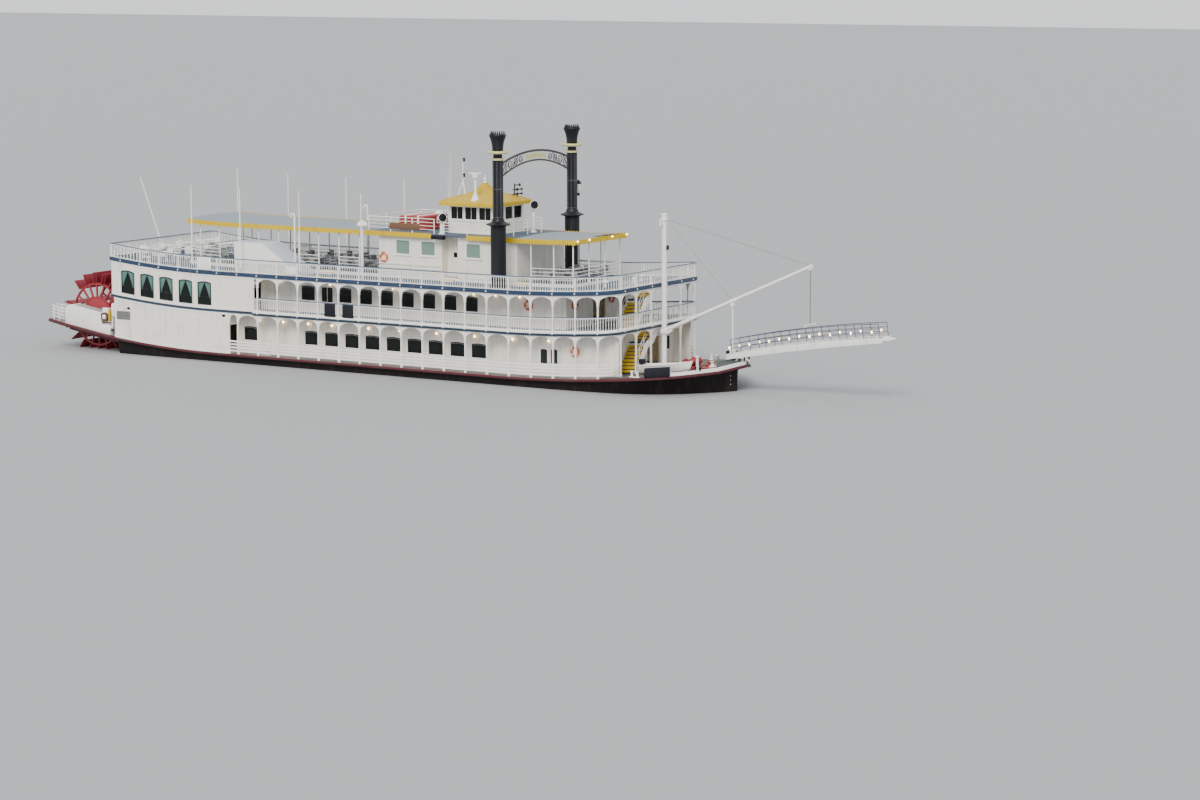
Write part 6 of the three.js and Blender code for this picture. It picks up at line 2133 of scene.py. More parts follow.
    def deck(self) -> None:
        """The bridge deck's floor and rails, a board, the strapped life floats and the side boxes."""
        floor = Bench.block(
            (self.aft, -self.deck_half, BRIDGE_UNDER), (self.fore, self.deck_half, BRIDGE_TOP), 0.008
        )
        dress(floor, "bridge_floor", Finish.DECK, replaces=["bridge_deck"])
        dress(Bench.join(self.rails()), "bridge_rails", Finish.TRIM_WHITE)
        board = Bench.block((0.37, -self.rail_y - 0.04, 6.08), (1.68, -self.rail_y - 0.014, 6.3), 0.006)
        dress(board, "bridge_board", Finish.TIMBER)
        floats, straps = [], []
        for i in range(4):
            z = BRIDGE_TOP + 0.02 + 0.125 * i
            floats.append(Bench.block((0.08 + 0.02 * i, -0.75, z), (1.3 - 0.02 * i, 0.75, z + 0.115), 0.03))
        for x in (0.4, 0.95):
            straps.append(
                Bench.block((x, -0.77, BRIDGE_TOP + 0.01), (x + 0.06, 0.77, BRIDGE_TOP + 0.535), 0.01)
            )
        dress(Bench.join(floats), "life_floats", Finish.FLOAT)
        dress(Bench.join(straps), "life_float_straps", Finish.TRIM_WHITE)
        boxes = []
        for side in (STARBOARD, PORT):
            y0, y1 = across(side, 1.682, 1.86)
            boxes.append(Bench.block((2.3, y0, 5.8), (2.82, y1, 5.94), 0.012))
        dress(Bench.join(boxes), "side_boxes", Finish.RUBBER)

    def searchlight(self, x: float, y: float, foot: float, centre: float) -> tuple[list[Thing], list[Thing]]:
        """A drum light on a pedestal.

        Args:
            x: place along the boat.
            y: place across.
            foot: height of the pedestal's foot.
            centre: height of the drum's middle.

        Returns:
            White pieces and black pieces.
        """
        drum = Bench.turned(
            [(0.06, -0.13), (0.12, -0.1), (0.145, -0.02), (0.15, 0.1), (0.16, 0.105), (0.16, 0.125)],
            (0, 0, 0),
            18,
        )
        face = Bench.turned([(0.145, 0.125), (0.14, 0.132), (0.06, 0.136)], (0, 0, 0), 18)
        aim = shift(x, y, centre) @ turn(-38) @ turn(84, "Y")
        for thing in (drum, face):
            thing.data.transform(aim)
        post = Bench.turned(
            [
                (0.12, 0), (0.12, 0.02), (0.07, 0.05), (0.06, centre - foot - 0.2),
                (0.085, centre - foot - 0.17), (0.085, centre - foot - 0.15),
            ],
            (x, y, foot),
            14,
        )
        fork = [
            Bench.block((-0.02, side * 0.165 - 0.008, -0.17), (0.02, side * 0.165 + 0.008, 0.03), 0.004)
            for side in (-1, 1)
        ]
        fork.append(Bench.block((-0.02, -0.173, -0.18), (0.02, 0.173, -0.155), 0.004))
        yoke = Bench.join(fork)
        yoke.data.transform(shift(x, y, centre) @ turn(-38))
        return [drum, post, yoke], [face]

    def lights(self) -> None:
        """Searchlights beside the aft rail and on the fore rail."""
        white, black = [], []
        for x, y, centre in ((2.53, -1.5, 6.55), (2.53, 1.5, 6.55), (4.98, 0.72, 6.95)):
            pale, dark = self.searchlight(x, y, BRIDGE_TOP, centre)
            white += pale
            black += dark
        fit(white, "searchlights", Finish.TRIM_WHITE)
        fit(black, "searchlight_glasses", Finish.DARK_GLASS)

    def pilothouse(self) -> None:
        """Dark lights in white frames, ledges and the door's handle."""
        repaint(Finish.WHITE, "pilothouse", "door_pilothouse")
        panes, trims = [], []
        for x0, x1 in self.side_lights:
            for side in (STARBOARD, PORT):
                y = side * self.pilot_half
                p0, p1 = sorted((y - side * 0.03, y - side * 0.024))
                panes.append(
                    Bench.block((x0 - 0.01, p0, self.sill - 0.01), (x1 + 0.01, p1, self.head + 0.01))
                )
                f0, f1 = sorted((y - side * 0.02, y + side * 0.012))
                outline = oblong(x0 - 0.025, x1 + 0.025, self.sill - 0.025, self.head + 0.025)
                trims.append(Bench.plate(outline, f0, f1, 0.035))
                b0, b1 = sorted((y - side * 0.024, y - side * 0.012))
                middle = (x0 + x1) / 2
                trims.append(Bench.block((middle - 0.006, b0, self.sill), (middle + 0.006, b1, self.head)))
        for y0, y1 in self.front_lights:
            x = self.pilot_fore
            panes.append(
                Bench.block((x - 0.03, y0 - 0.01, self.sill - 0.01), (x - 0.024, y1 + 0.01, self.head + 0.01))
            )
            outline = oblong(y0 - 0.025, y1 + 0.025, self.sill - 0.025, self.head + 0.025)
            ring = Bench.plate(outline, -0.012, 0.02, 0.035)
            ring.data.transform(shift(x) @ turn(90))
            trims.append(ring)
        half = self.pilot_half
        for z0, z1, out in ((5.972, 6.05, 0.014), (6.405, 6.44, 0.02), (6.96, 7.02, 0.016)):
            for side in (STARBOARD, PORT):
                y0, y1 = across(side, half - 0.002, half + out)
                trims.append(Bench.block((self.pilot_aft - out, y0, z0), (self.pilot_fore + out, y1, z1)))
            trims.append(Bench.block((self.pilot_fore - 0.002, -half, z0), (self.pilot_fore + out, half, z1)))
            if z0 > 6.9:
                trims.append(
                    Bench.block((self.pilot_aft - out, -half, z0), (self.pilot_aft + 0.002, half, z1))
                )
        fit(panes, "pilothouse_panes", Finish.DARK_GLASS)
        fit(trims, "pilothouse_trim", Finish.TRIM_WHITE)
        knob = Bench.rod((self.pilot_aft, 0.16, 6.42), (self.pilot_aft - 0.04, 0.16, 6.42), 0.01, 8, 0.015)
        dress(knob, "pilothouse_door_knob", Finish.GOLD, body="door_pilothouse")

    def roof(self) -> None:
        """The swept tent roof with its hips, seams, scalloped eaves and finial."""
        shell = Bench.turned(
            [(math.sqrt(2) * share, height) for share, height in self.roof_curve], (0, 0, 0), 4
        )
        shell.data.transform(
            shift(self.roof_x, 0, EAVE) @ stretch(self.roof_half[0], self.roof_half[1], 1) @ turn(45)
        )
        ridges = []
        for sx in (-1, 1):
            for sy in (-1, 1):
                line = [
                    (
                        self.roof_x + sx * self.roof_half[0] * share,
                        sy * self.roof_half[1] * share,
                        EAVE + height + 0.004,
                    )
                    for share, height in self.roof_curve[1:]
                ]
                ridges.append(Bench.pipe(line, 0.014))
        for sx, sy in ((1, 0), (-1, 0), (0, 1), (0, -1)):
            for offset in (-0.5, 0.0, 0.5):
                line = []
                for share, height in self.roof_curve[1:]:
                    if abs(offset) > share:
                        break
                    a = offset * self.roof_half[1 if sx else 0]
                    if sx:
                        line.append((self.roof_x + sx * self.roof_half[0] * share, a, EAVE + height + 0.002))
                    else:
                        line.append((self.roof_x + a, sy * self.roof_half[1] * share, EAVE + height + 0.002))
                ridges.append(Bench.pipe(line, 0.008))
        fit([shell, *ridges], "tent_roof", Finish.OCHRE, replaces=["pilothouse_roof"])
        frieze = []
        promenade = Promenade(scallop=0.14)
        for length, reach, angle in (
            (2 * self.roof_half[0], self.roof_half[1], 0), (2 * self.roof_half[1], self.roof_half[0], 90)
        ):
            for extra in (0, 180):
                strip = promenade.frill(length, EAVE - 0.07, EAVE + 0.05)
                strip.data.transform(shift(self.roof_x) @ turn(angle + extra) @ shift(-length / 2, -reach))
                frieze.append(strip)
        fit(frieze, "roof_frieze", Finish.VALANCE)
        peak = (self.roof_x, 0, EAVE + 0.71)
        finial = Bench.turned(
            [
                (0.07, 0), (0.05, 0.03), (0.03, 0.06), (0.055, 0.1), (0.06, 0.13), (0.04, 0.17),
                (0.012, 0.2), (0.01, 0.32),
            ],
            peak,
            14,
        )
        dress(finial, "roof_finial", Finish.TRIM_WHITE)

    def masts(self) -> None:
        """Radar, lamp mast, aerials, dome and horns on the roof."""
        white, black = [], []
        x, y = 3.58, -0.9
        white.append(
            Bench.turned(
                [
                    (0.19, 0), (0.14, 0.06), (0.06, 0.26), (0.045, 0.34), (0.045, 0.8), (0.1, 0.82),
                    (0.1, 0.92), (0.04, 0.94),
                ],
                (x, y, 7.15),
                14,
            )
        )
        white.append(Bench.block((x - 0.26, y - 0.03, 8.1), (x + 0.26, y + 0.03, 8.15), 0.012))
        tripod = (2.1, 0.5)
        for dx, dy in ((-0.16, -0.1), (0.16, -0.1), (0.0, 0.16)):
            white.append(
                Bench.rod((tripod[0] + dx, tripod[1] + dy, 7.18), (tripod[0], tripod[1], 7.72), 0.022, 8)
            )
        white.append(Bench.rod((tripod[0], tripod[1], 7.6), (tripod[0], tripod[1], 8.45), 0.02, 8))
        for z in (7.86, 8.42):
            black.append(
                Bench.turned(
                    [(0.05, 0), (0.05, 0.02), (0.035, 0.03), (0.035, 0.09), (0.055, 0.1), (0.055, 0.13)],
                    (tripod[0] + 0.05, tripod[1], z),
                    10,
                )
            )
        for px, top in ((1.55, 8.62), (1.45, 8.14)):
            white.append(Bench.turned([(0.022, 0), (0.014, 0.3), (0.006, top - 6.5)], (px, 0.5, 6.49), 6))
        white.append(
            Bench.turned(
                [(0.05, 0), (0.05, 0.3), (0.12, 0.34), (0.13, 0.42), (0.1, 0.5), (0.04, 0.55)],
                (3.75, 0.2, 7.4),
                14,
            )
        )
        horn = Bench.turned([(0.018, 0), (0.02, 0.16), (0.035, 0.22), (0.062, 0.25)], (0, 0, 0), 10)
        places = []
        for i, (dy, dz) in enumerate(((-0.1, 0.0), (0.1, 0.0), (-0.1, 0.16), (0.1, 0.16), (0.0, 0.32))):
            places.append(shift(4.12, 0.78 + dy, 7.3 + dz) @ turn(14 * dy * 10) @ turn(84, "Y"))
        black.append(Bench.copies(horn, places))
        black.append(Bench.rod((4.14, 0.78, 7.14), (4.14, 0.78, 7.68), 0.022, 8))
        black += [Bench.rod((4.14, 0.66, z), (4.14, 0.9, z), 0.016, 6) for z in (7.3, 7.46)]
        fit(white, "roof_masts", Finish.TRIM_WHITE)
        fit(black, "roof_horns", Finish.STACK)

    def build(self) -> None:
        """Builds the upper houses."""
        self.texas()
        self.life_rings()
        self.deck()
        self.lights()
        self.pilothouse()
        self.roof()
        self.masts()


@dataclass
class Stacks:
    """The two smoke stacks with their crowns, and the scrolled arch between them."""

    x: float = 5.55
    y: float = 2.4
    reach: float = 2.225
    upper: tuple[float, float] = (8.615, 8.985)
    lower: tuple[float, float] = (8.15, 8.64)
    spikes: int = 20

    def profile(self) -> list[tuple[float, float]]:
        """Radius and height of the shaft, from its foot."""
        foot = 4.2955 + rise_at(self.x + 0.27)
        shaft = [
            (0.3, foot), (0.3, foot + 0.05), (0.272, foot + 0.07), (0.27, 6.44), (0.3, 6.46), (0.425, 6.5),
            (0.425, 6.53),
        ]
        shaft += [(0.3, 6.575), (0.23, 6.62), (0.21, 6.7), (0.178, 6.74), (0.175, 8.73)]
        return [*shaft, (0.205, 8.735), (0.205, 8.745)]

    def shaft(self, side: int) -> tuple[list[Thing], list[Thing], list[Thing]]:
        """One stack.

        Args:
            side: which side it stands on.

        Returns:
            Black pieces, pale ribs and bands lightened as a painted highlight, and gold pieces.
        """
        place = (self.x, side * self.y, 0)
        black = [Bench.turned(self.profile(), place, 28)]
        cup = [
            (0.16, 8.98), (0.19, 9.06), (0.195, 9.2), (0.21, 9.32), (0.24, 9.44), (0.28, 9.55),
            (0.315, 9.62), (0.3, 9.625), (0.26, 9.54), (0.22, 9.42), (0.18, 9.28), (0.155, 8.99),
        ]
        black.append(Bench.turned(cup, place, 28))
        black.append(Bench.turned([(0.16, 8.79), (0.16, 9.0)], place, 20))
        spike = Bench.plate([(0.0, 0.0), (0.08, 0.0), (0.04, 0.2)], -0.004, 0.004)
        around = []
        for i in range(self.spikes):
            lean = turn(90) @ turn(-24, "X")
            around.append(
                shift(*place) @ turn(i * 360 / self.spikes) @ shift(0.3, 0, 9.59) @ lean @ shift(-0.04)
            )
        black.append(Bench.copies(spike, around))
        # Ribs and bands a little lighter than the shaft: painted highlight on the edges of the flutes.
        pale = []
        for i in range(8):
            angle = math.radians(22.5 + 45 * i)
            px, py = self.x + 0.178 * math.cos(angle), side * self.y + 0.178 * math.sin(angle)
            pale.append(Bench.rod((px, py, 6.76), (px, py, 8.73), 0.013, 6))
        for z, radius in ((6.76, 0.19), (7.75, 0.182)):
            pale.append(
                Bench.turned(
                    [(radius, -0.012), (radius + 0.006, 0), (radius, 0.012)], (place[0], place[1], z), 24
                )
            )
        gold = [
            Bench.turned([(0.19, 8.745), (0.225, 8.755), (0.225, 8.812), (0.19, 8.822)], place, 28),
            Bench.hoop((place[0], place[1], 9.03), 0.315, 0.055, (0, 0, 0), 32),
            Bench.turned([(0.16, 8.99), (0.32, 8.995), (0.32, 9.065), (0.19, 9.072)], place, 28),
        ]
        return black, pale, gold

    def bow(self, curve: tuple[float, float], y: float) -> float:
        """Height of one of the arch's bows."""
        spring, crown = curve
        return spring + (crown - spring) * (1 - (y / self.reach) ** 2)

    def arch(self) -> tuple[list[Thing], list[Thing]]:
        """Two bows with scrolls and braces between them, and a plain gold ribbon at the middle.

        Returns:
            Iron and gold pieces.
        """
        iron = []
        ys = np.linspace(-self.reach, self.reach, 33)
        for curve, depth, half in ((self.upper, 0.05, 0.016), (self.lower, 0.035, 0.014)):
            line = [(float(y), self.bow(curve, float(y))) for y in ys]
            band = Bench.plate([*line, *((y, z - depth) for y, z in reversed(line))], -half, half)
            band.data.transform(shift(self.x) @ turn(90))
            iron.append(band)
            for drop in (0.0, depth):
                iron.append(Bench.pipe([(self.x, y, z - drop) for y, z in line], 0.012 + half / 4))
        for side in (-1, 1):
            for y, radius in ((1.98, 0.15), (1.62, 0.13), (1.27, 0.115), (0.95, 0.105)):
                low, high = self.bow(self.lower, y) + 0.01, self.bow(self.upper, y) - 0.08
                radius = min(radius, (high - low) / 2)
                z = (low + high) / 2
                iron.append(Bench.hoop((self.x, side * y, z), radius, 0.014, (0, math.pi / 2, 0), 18))
                spiral = []
                for i in range(13):
                    angle = math.radians(90 + 32 * i)
                    r = radius * (1 - i / 15)
                    spiral.append((self.x, side * (y - r * math.cos(angle)), z + r * math.sin(angle)))
                iron.append(Bench.pipe(spiral, 0.011))
            for a, b in ((2.2, 1.82), (1.44, 1.12)):
                iron.append(
                    Bench.rod(
                        (self.x, side * a, self.bow(self.lower, a) + 0.04),
                        (self.x, side * b, self.bow(self.upper, b) - 0.07),
                        0.016,
                        6,
                    )
                )
        ribbon = []
        for y in np.linspace(-0.62, 0.62, 13):
            low = self.bow(self.lower, float(y)) + 0.07
            ribbon.append((float(y), low, low + 0.15 + 0.02 * math.cos(y * 9)))
        plate = Bench.plate(
            [(y, low) for y, low, _ in ribbon] + [(y, high) for y, _, high in reversed(ribbon)], -0.008, 0.008
        )
        plate.data.transform(shift(self.x) @ turn(90))
        gold = [plate]
        gold += [
            Bench.hoop((self.x, y, self.bow(self.lower, y) + 0.02), 0.05, 0.014, (0, math.pi / 2, 0), 14)
            for y in (-0.3, 0.3)
        ]
        return iron, gold

    def floodlight(self) -> None:
        """A lantern on a bracket outside the port stack."""
        place = (self.x, 2.83, 7.16)
        body = Bench.turned([(0.07, 0.1), (0.085, 0.12), (0.1, 0.42), (0.07, 0.44)], place, 12)
        dress(body, "lantern_body", Finish.TRIM_WHITE)
        dark = [Bench.turned([(0.04, 0), (0.05, 0.02), (0.05, 0.1), (0.02, 0.11)], place, 12)]
        dark.append(Bench.turned([(0.12, 0.44), (0.12, 0.46), (0.05, 0.54), (0.02, 0.58)], place, 12))
        dark.append(Bench.rod((self.x, self.y + 0.17, 7.24), (self.x, 2.83, 7.24), 0.018, 8))
        dress(Bench.join(dark), "lantern_iron", Finish.STACK)

    def cover(self) -> None:
        """The stair cover keeps its own shape; it gets a sheet over its top and edge strips."""
        repaint(Finish.TRIM_WHITE, "stair_cover")
        sheet = [
            (-5.8, 5.401), (-4.55, 5.401), (-2.82, 4.321), (-2.818, 4.328), (-4.548, 5.408), (-5.8, 5.408)
        ]
        dress(Bench.plate(sheet, -2.796, -1.764), "stair_cover_top", Finish.COVER_TOP)
        strips = []
        for y in (-2.8, -1.76):
            line = [(-5.8, 4.32), (-5.8, 5.4), (-4.55, 5.4), (-2.82, 4.32)]
            strips.append(Bench.pipe([(x, y, z + (0.002 if z > 5 else 0.0)) for x, z in line], 0.01))
        strips.append(Bench.rod((-4.55, -2.8, 5.402), (-4.55, -1.76, 5.402), 0.01))
        strips.append(Bench.rod((-5.8, -2.8, 5.402), (-5.8, -1.76, 5.402), 0.01))
        dress(Bench.join(strips), "stair_cover_edges", Finish.TRIM_WHITE)

    def vents(self) -> None:
        """Gooseneck pipes, mushroom lamps on poles, low vents, and the boards on the railings."""
        white, black = [], []
        for x, y, top in ((-3.45, -2.25, 6.4), (-3.45, 2.25, 6.4)):
            z = ROOF_TOP + rise_at(x)
            path = [(x, y, z), (x, y, top)]
            for i in range(1, 8):
                angle = math.pi * i / 8
                path.append((x - 0.08 + 0.08 * math.cos(angle), y, top + 0.08 * math.sin(angle)))
            path.append((x - 0.16, y, top - 0.05))
            white.append(Bench.pipe(path, 0.035, resolution=2))
            white.append(Bench.turned([(0.07, 0), (0.07, 0.02), (0.04, 0.03), (0.04, 0.09)], (x, y, z), 12))
        for x, y in ((-0.3, -2.4), (-0.3, 2.4)):
            z = ROOF_TOP + rise_at(x)
            white.append(Bench.turned([(0.05, 0), (0.05, 0.02), (0.028, 0.04), (0.024, 1.9)], (x, y, z), 10))
            white.append(
                Bench.turned(
                    [(0.05, 1.9), (0.19, 1.91), (0.2, 1.95), (0.16, 2.03), (0.08, 2.09), (0.03, 2.1)],
                    (x, y, z),
                    18,
                )
            )
        for x, y in ((9.2, -1.2), (9.2, 1.2), (9.6, 0.1), (-9.9, -2.75), (-9.9, 2.75)):
            z = ROOF_TOP + rise_at(x)
            white.append(
                Bench.turned(
                    [(0.05, 0), (0.05, 0.16), (0.1, 0.17), (0.1, 0.2), (0.06, 0.24), (0.02, 0.25)],
                    (x, y, z),
                    12,
                )
            )
        fit(white, "roof_vents", Finish.TRIM_WHITE)
        for x in (-1.3, -0.5):
            for side in (STARBOARD, PORT):
                y0, y1 = across(side, PLATING + 0.016, PLATING + 0.028)
                black.append(
                    Bench.block((x - 0.24, y0, BOILER_TOP + 0.03), (x + 0.24, y1, BOILER_TOP + 0.5), 0.004)
                )
        dress(Bench.join(black), "rail_boards_dark", Finish.RUBBER)
        boards = []
        for x, z0, z1, width in ((-7.0, 4.33, 4.8, 0.62), (-3.05, 4.36, 4.66, 0.5)):
            for side in (STARBOARD, PORT):
                y0, y1 = across(side, PLATING + 0.014, PLATING + 0.026)
                lift = rise_at(x)
                boards.append(
                    Bench.block((x - width / 2, y0, z0 + lift), (x + width / 2, y1, z1 + lift), 0.004)
                )
        dress(Bench.join(boards), "rail_boards_white", Finish.TRIM_WHITE)

    def build(self) -> None:
        """Builds the stacks, the arch and the roof deck's fittings."""
        black, pale, gold = [], [], []
        for side in (STARBOARD, PORT):
            b, p, g = self.shaft(side)
            black += b
            pale += p
            gold += g
        fit(black, "stack_shafts", Finish.STACK, replaces=["stack_stbd", "stack_port"])
        # The ribs and bands carry a painted highlight.
        fit(pale, "stack_ribs", Finish.STACK_RIB_HIGHLIGHT)
        self.floodlight()
        iron, leaf = self.arch()
        fit(iron, "arch_iron", Finish.BRONZE, replaces=["stack_arch"])
        fit([*gold, *leaf], "stack_gold", Finish.GOLD_PAINT)
        self.cover()
        self.vents()


@dataclass
class Stairs:
    """The two front flights with their landings, climbing from starboard to port.

    Attributes:
        aft: aft face.
        fore: forward face.
        foot: where both flights start, across the boat.
        run: depth of a tread.
        landing: length of a landing.
    """

    aft: float = 9.81
    fore: float = 10.53
    foot: float = -1.4
    run: float = 0.095
    landing: float = 0.35
    flights: Sequence[tuple[str, tuple[int, int], float, float]] = (
        ("stair_lower", (9, 5), MAIN_TOP, BOILER_TOP),
        ("stair_upper", (8, 4), BOILER_TOP, ROOF_TOP),
    )

    def steps(self, risers: tuple[int, int], base: float, top: float) -> list[tuple[float, float, float]]:
        """Start, length and height of each tread, the landing among them."""
        rise = (top - base) / sum(risers)
        y, z, out = self.foot, base, []
        for flight, count in enumerate(risers):
            for i in range(count):
                z += rise
                last = i + 1 == count and flight == 0
                length = self.landing if last else self.run
                out.append((y, length, z))
                y += length
        return out

    def flight(self, name: str, risers: tuple[int, int], base: float, top: float) -> None:
        """Treads, dark strips of painted shadow under the nosings, stringers and handrails of one climb."""
        steps = self.steps(risers, base, top)
        drop = (top - base) / sum(risers)
        treads, nosing_shadows, white, pads = [], [], [], []
        for y, length, z in steps:
            if length > self.run:
                pads.append(Bench.block((self.aft, y, z - 0.05), (self.fore, y + length, z - 0.002), 0.004))
                continue
            treads.append(
                Bench.block(
                    (self.aft + 0.02, y - 0.012, z - 0.082), (self.fore - 0.02, y + length, z - 0.002), 0.006
                )
            )
            # A dark strip under each tread's nosing: painted shadow, not the riser's own colour.
            nosing_shadows.append(
                Bench.block((self.aft + 0.03, y + 0.03, z - drop), (self.fore - 0.03, y + 0.045, z - 0.03))
            )
        for x in (self.aft - 0.012, self.fore - 0.016):
            upper = [(y, z + 0.02) for y, _, z in steps] + [(steps[-1][0] + self.run, steps[-1][2] + 0.02)]
            lower = [(y + 0.09, z - drop - 0.1) for y, _, z in steps[1:]]
            outline = [
                *upper,
                (upper[-1][0], steps[-1][2] - 0.15),
                *reversed(lower),
                (self.foot + 0.1, base),
                (self.foot - 0.03, base),
            ]
            board = Bench.plate(outline, -0.028, 0.0)
            board.data.transform(shift(x) @ turn(90))
            white.append(board)
            rail = [(x + 0.014, y, z + 0.43) for y, _, z in steps]
            white.append(Bench.pipe(rail, 0.014))
            white.append(Bench.pipe([(px, py, pz - 0.2) for px, py, pz in rail], 0.009))
            for y, _, z in (*steps[::3], steps[-1]):
                white.append(Bench.rod((x + 0.014, y, z - 0.02), (x + 0.014, y, z + 0.43), 0.012, 6))
        # The "risers" piece holds the painted shadow under the nosings.
        for things, label, finish, hides in (
            (treads, "treads", Finish.TREAD, [name]),
            (nosing_shadows, "risers", Finish.DARK_FRAME_AND_SHADOW, []),
            (white, "stringers", Finish.TRIM_WHITE, []),
            (pads, "landing", Finish.FASCIA, []),
        ):
            fit(things, f"{name}_{label}", finish, replaces=hides, lifted=True)

    def build(self) -> None:
        """Builds both climbs."""
        for name, risers, base, top in self.flights:
            self.flight(name, risers, base, top)


@dataclass
class Rig:
    """Mast, boom and the hanging gear that carries the landing stage."""

    mast_x: float = 10.86
    mast_radius: float = 0.088
    mast_top: float = 6.95
    heel: float = 2.85
    head: float = 6.72
    tip: tuple[float, float, float] = (16.675, 0.0, 5.415)
    pin: tuple[float, float, float] = STAGE_PIN

    def at(self, x: float) -> float:
        """Height of the spar's middle."""
        return self.heel + (self.tip[2] - self.heel) * (x - self.mast_x) / (self.tip[0] - self.mast_x)

    def mast(self) -> None:
        """The mast with its foot, flanges, crosstree, lamps and cleats."""
        foot = MAIN_TOP + rise_at(self.mast_x + self.mast_radius)
        r = self.mast_radius
        profile = [
            (0.15, foot), (0.15, foot + 0.025), (0.1, foot + 0.04), (r, foot + 0.06), (r, 2.75),
            (0.138, 2.755), (0.138, 2.779),
        ]
        profile += [
            (r, 2.7795), (r, 6.69), (0.123, 6.695), (0.123, 6.719), (r, 6.7195), (r, 6.93),
            (0.07, self.mast_top),
        ]
        white = [Bench.turned(profile, (self.mast_x, 0, 0), 20)]
        for i in range(8):
            angle = math.radians(45 * i)
            spot = (self.mast_x + 0.125 * math.cos(angle), 0.125 * math.sin(angle), foot + 0.02)
            white.append(Bench.turned([(0.012, 0), (0.012, 0.018)], spot, 6))
        white.append(Bench.block((self.mast_x - 0.025, -0.3, 6.55), (self.mast_x + 0.025, 0.3, 6.6), 0.006))
        white.append(Bench.block((self.mast_x - 0.16, -0.03, 6.9), (self.mast_x + 0.13, 0.03, 6.93), 0.006))
        for y in (-0.27, 0.27):
            white.append(
                Bench.turned(
                    [(0.03, 0), (0.03, 0.09), (0.055, 0.1), (0.055, 0.12), (0.02, 0.14)],
                    (self.mast_x, y, 6.6),
                    10,
                )
            )
        for z in (3.35, 3.6, 4.3, 5.0):
            white.append(Bench.rod((self.mast_x - 0.12, 0, z), (self.mast_x + 0.12, 0, z), 0.012, 6))
        fit(white, "mast_work", Finish.TRIM_WHITE, replaces=["mast"])
        x, z = self.mast_x, 5.72
        lantern = Bench.turned([(0.035, 0), (0.045, 0.01), (0.045, 0.11), (0.03, 0.13)], (x + 0.14, 0, z), 10)
        bracket = Bench.block((x + 0.08, -0.02, z - 0.03), (x + 0.18, 0.02, z), 0.004)
        dress(Bench.join([lantern, bracket]), "mast_lanterns", Finish.RUBBER)

    @staticmethod
    def ring(x: float, z0: float, z1: float, outer: float, bore: float) -> Thing:
        """A collar round the mast."""
        collar = Bench.plate(Bench.circle(outer, 32), z0, z1, outer - bore)
        collar.data.transform(turn(-90, "X"))
        Bench.modify(
            collar, "BEVEL", width=0.008, segments=2, limit_method="ANGLE", angle_limit=math.radians(60)
        )
        return Bench.reshape(collar, lambda p: np.stack([p[:, 0] + x, p[:, 1], (z0 + z1) + p[:, 2]], axis=1))

    def chain(self, x: float, top: float, foot: float) -> Thing:
        """A hanging chain whose links turn by a quarter each."""
        pitch = 0.062
        count = int((top - foot) / pitch)
        pitch = (top - foot) / count
        link = Bench.hoop((0, 0, 0), 0.03, 0.009, (math.pi / 2, 0, 0), 8)
        link.data.transform(stretch(0.8, 1, 1.45))
        places = [shift(x, 0, foot + (i + 0.5) * pitch) @ turn(90 * (i % 2)) for i in range(count)]
        return Bench.copies(link, places)

    def boom(self) -> None:
        """The tapered spar with its bands, blocks, stays, pendant, chain and spreader."""
        heel = (self.mast_x + 0.125, 0, self.at(self.mast_x + 0.125))
        white = [Bench.rod(heel, self.tip, 0.07, 16, 0.052)]
        ahead = (Vector(self.tip) - Vector(heel)).normalized()
        for part, radius in (
            (0.02, 0.085), (0.06, 0.08), (0.45, 0.078), (0.475, 0.078), (0.97, 0.066), (0.995, 0.08)
        ):
            middle = Vector(heel) + ahead * part * (Vector(self.tip) - Vector(heel)).length
            white.append(Bench.rod(middle - ahead * 0.025, middle + ahead * 0.025, radius, 16))
        white.append(self.ring(self.mast_x, self.heel - 0.07, self.heel + 0.07, 0.153, 0.1))
        white.append(self.ring(self.mast_x, self.head, self.head + 0.06, 0.138, 0.1))
        cheek = Bench.plate(
            [(-0.05, -0.09), (0.06, -0.06), (0.2, 0.03), (0.2, 0.1), (-0.05, 0.07)], -0.05, -0.03
        )
        cheek.data.transform(shift(self.mast_x + 0.15, 0, self.heel))
        other = Bench.twin(cheek)
        other.data.transform(stretch(1, -1, 1))
        white += [cheek, Bench.outward(other)]
        px, pz = self.pin[0], self.pin[2]
        for x, z, size in ((px, self.at(px) - 0.1, 1.0), (self.tip[0] - 0.06, self.tip[2] - 0.06, 0.8)):
            block = Bench.turned(
                [
                    (0.05, -0.05), (0.075, -0.045), (0.075, -0.015), (0.05, -0.01), (0.05, 0.01),
                    (0.075, 0.015), (0.075, 0.045), (0.05, 0.05),
                ],
                (0, 0, 0),
                16,
            )
            block.data.transform(shift(x, 0, z - 0.03) @ turn(90, "X") @ stretch(size, size, size))
            white.append(block)
        white.append(Bench.rod((px, 0, pz + 0.06), (px, 0, self.at(px)), 0.026, 12))
        for z in (pz + 0.09, pz + 0.7, pz + 1.5):
            white.append(Bench.turned([(0.034, 0), (0.038, 0.01), (0.034, 0.04)], (px, 0, z), 12))
        eye = Bench.hoop((px, 0, pz), 0.053, 0.017, (math.pi / 2, 0, 0), 24)
        eye.data.transform(shift(px, 0, pz) @ stretch(1, 2.2, 1) @ shift(-px, 0, -pz))
        white.append(eye)
        x = self.tip[0] - 0.06
        white.append(Bench.rod((x, -0.36, 3.42), (x, 0.36, 3.42), 0.022, 12))
        for y in (-0.34, 0.34):
            white.append(Bench.hoop((x, y, 3.39), 0.032, 0.01, (math.pi / 2, 0, 0), 14))
        fit(white, "boom_work", Finish.TRIM_WHITE, body="boom", replaces=["boom"])
        steel = [self.chain(x, self.tip[2] - 0.12, 3.44)]
        for end in (self.tip, (px, 0, self.at(px))):
            steel.append(
                Bench.rod((self.mast_x + 0.12, 0, self.head + 0.03), (end[0] - 0.02, 0, end[2]), 0.0085, 6)
            )
        fit(steel, "boom_wires", Finish.WIRE, body="boom")

    def build(self) -> None:
        """Builds the mast and the boom."""
        self.mast()
        self.boom()


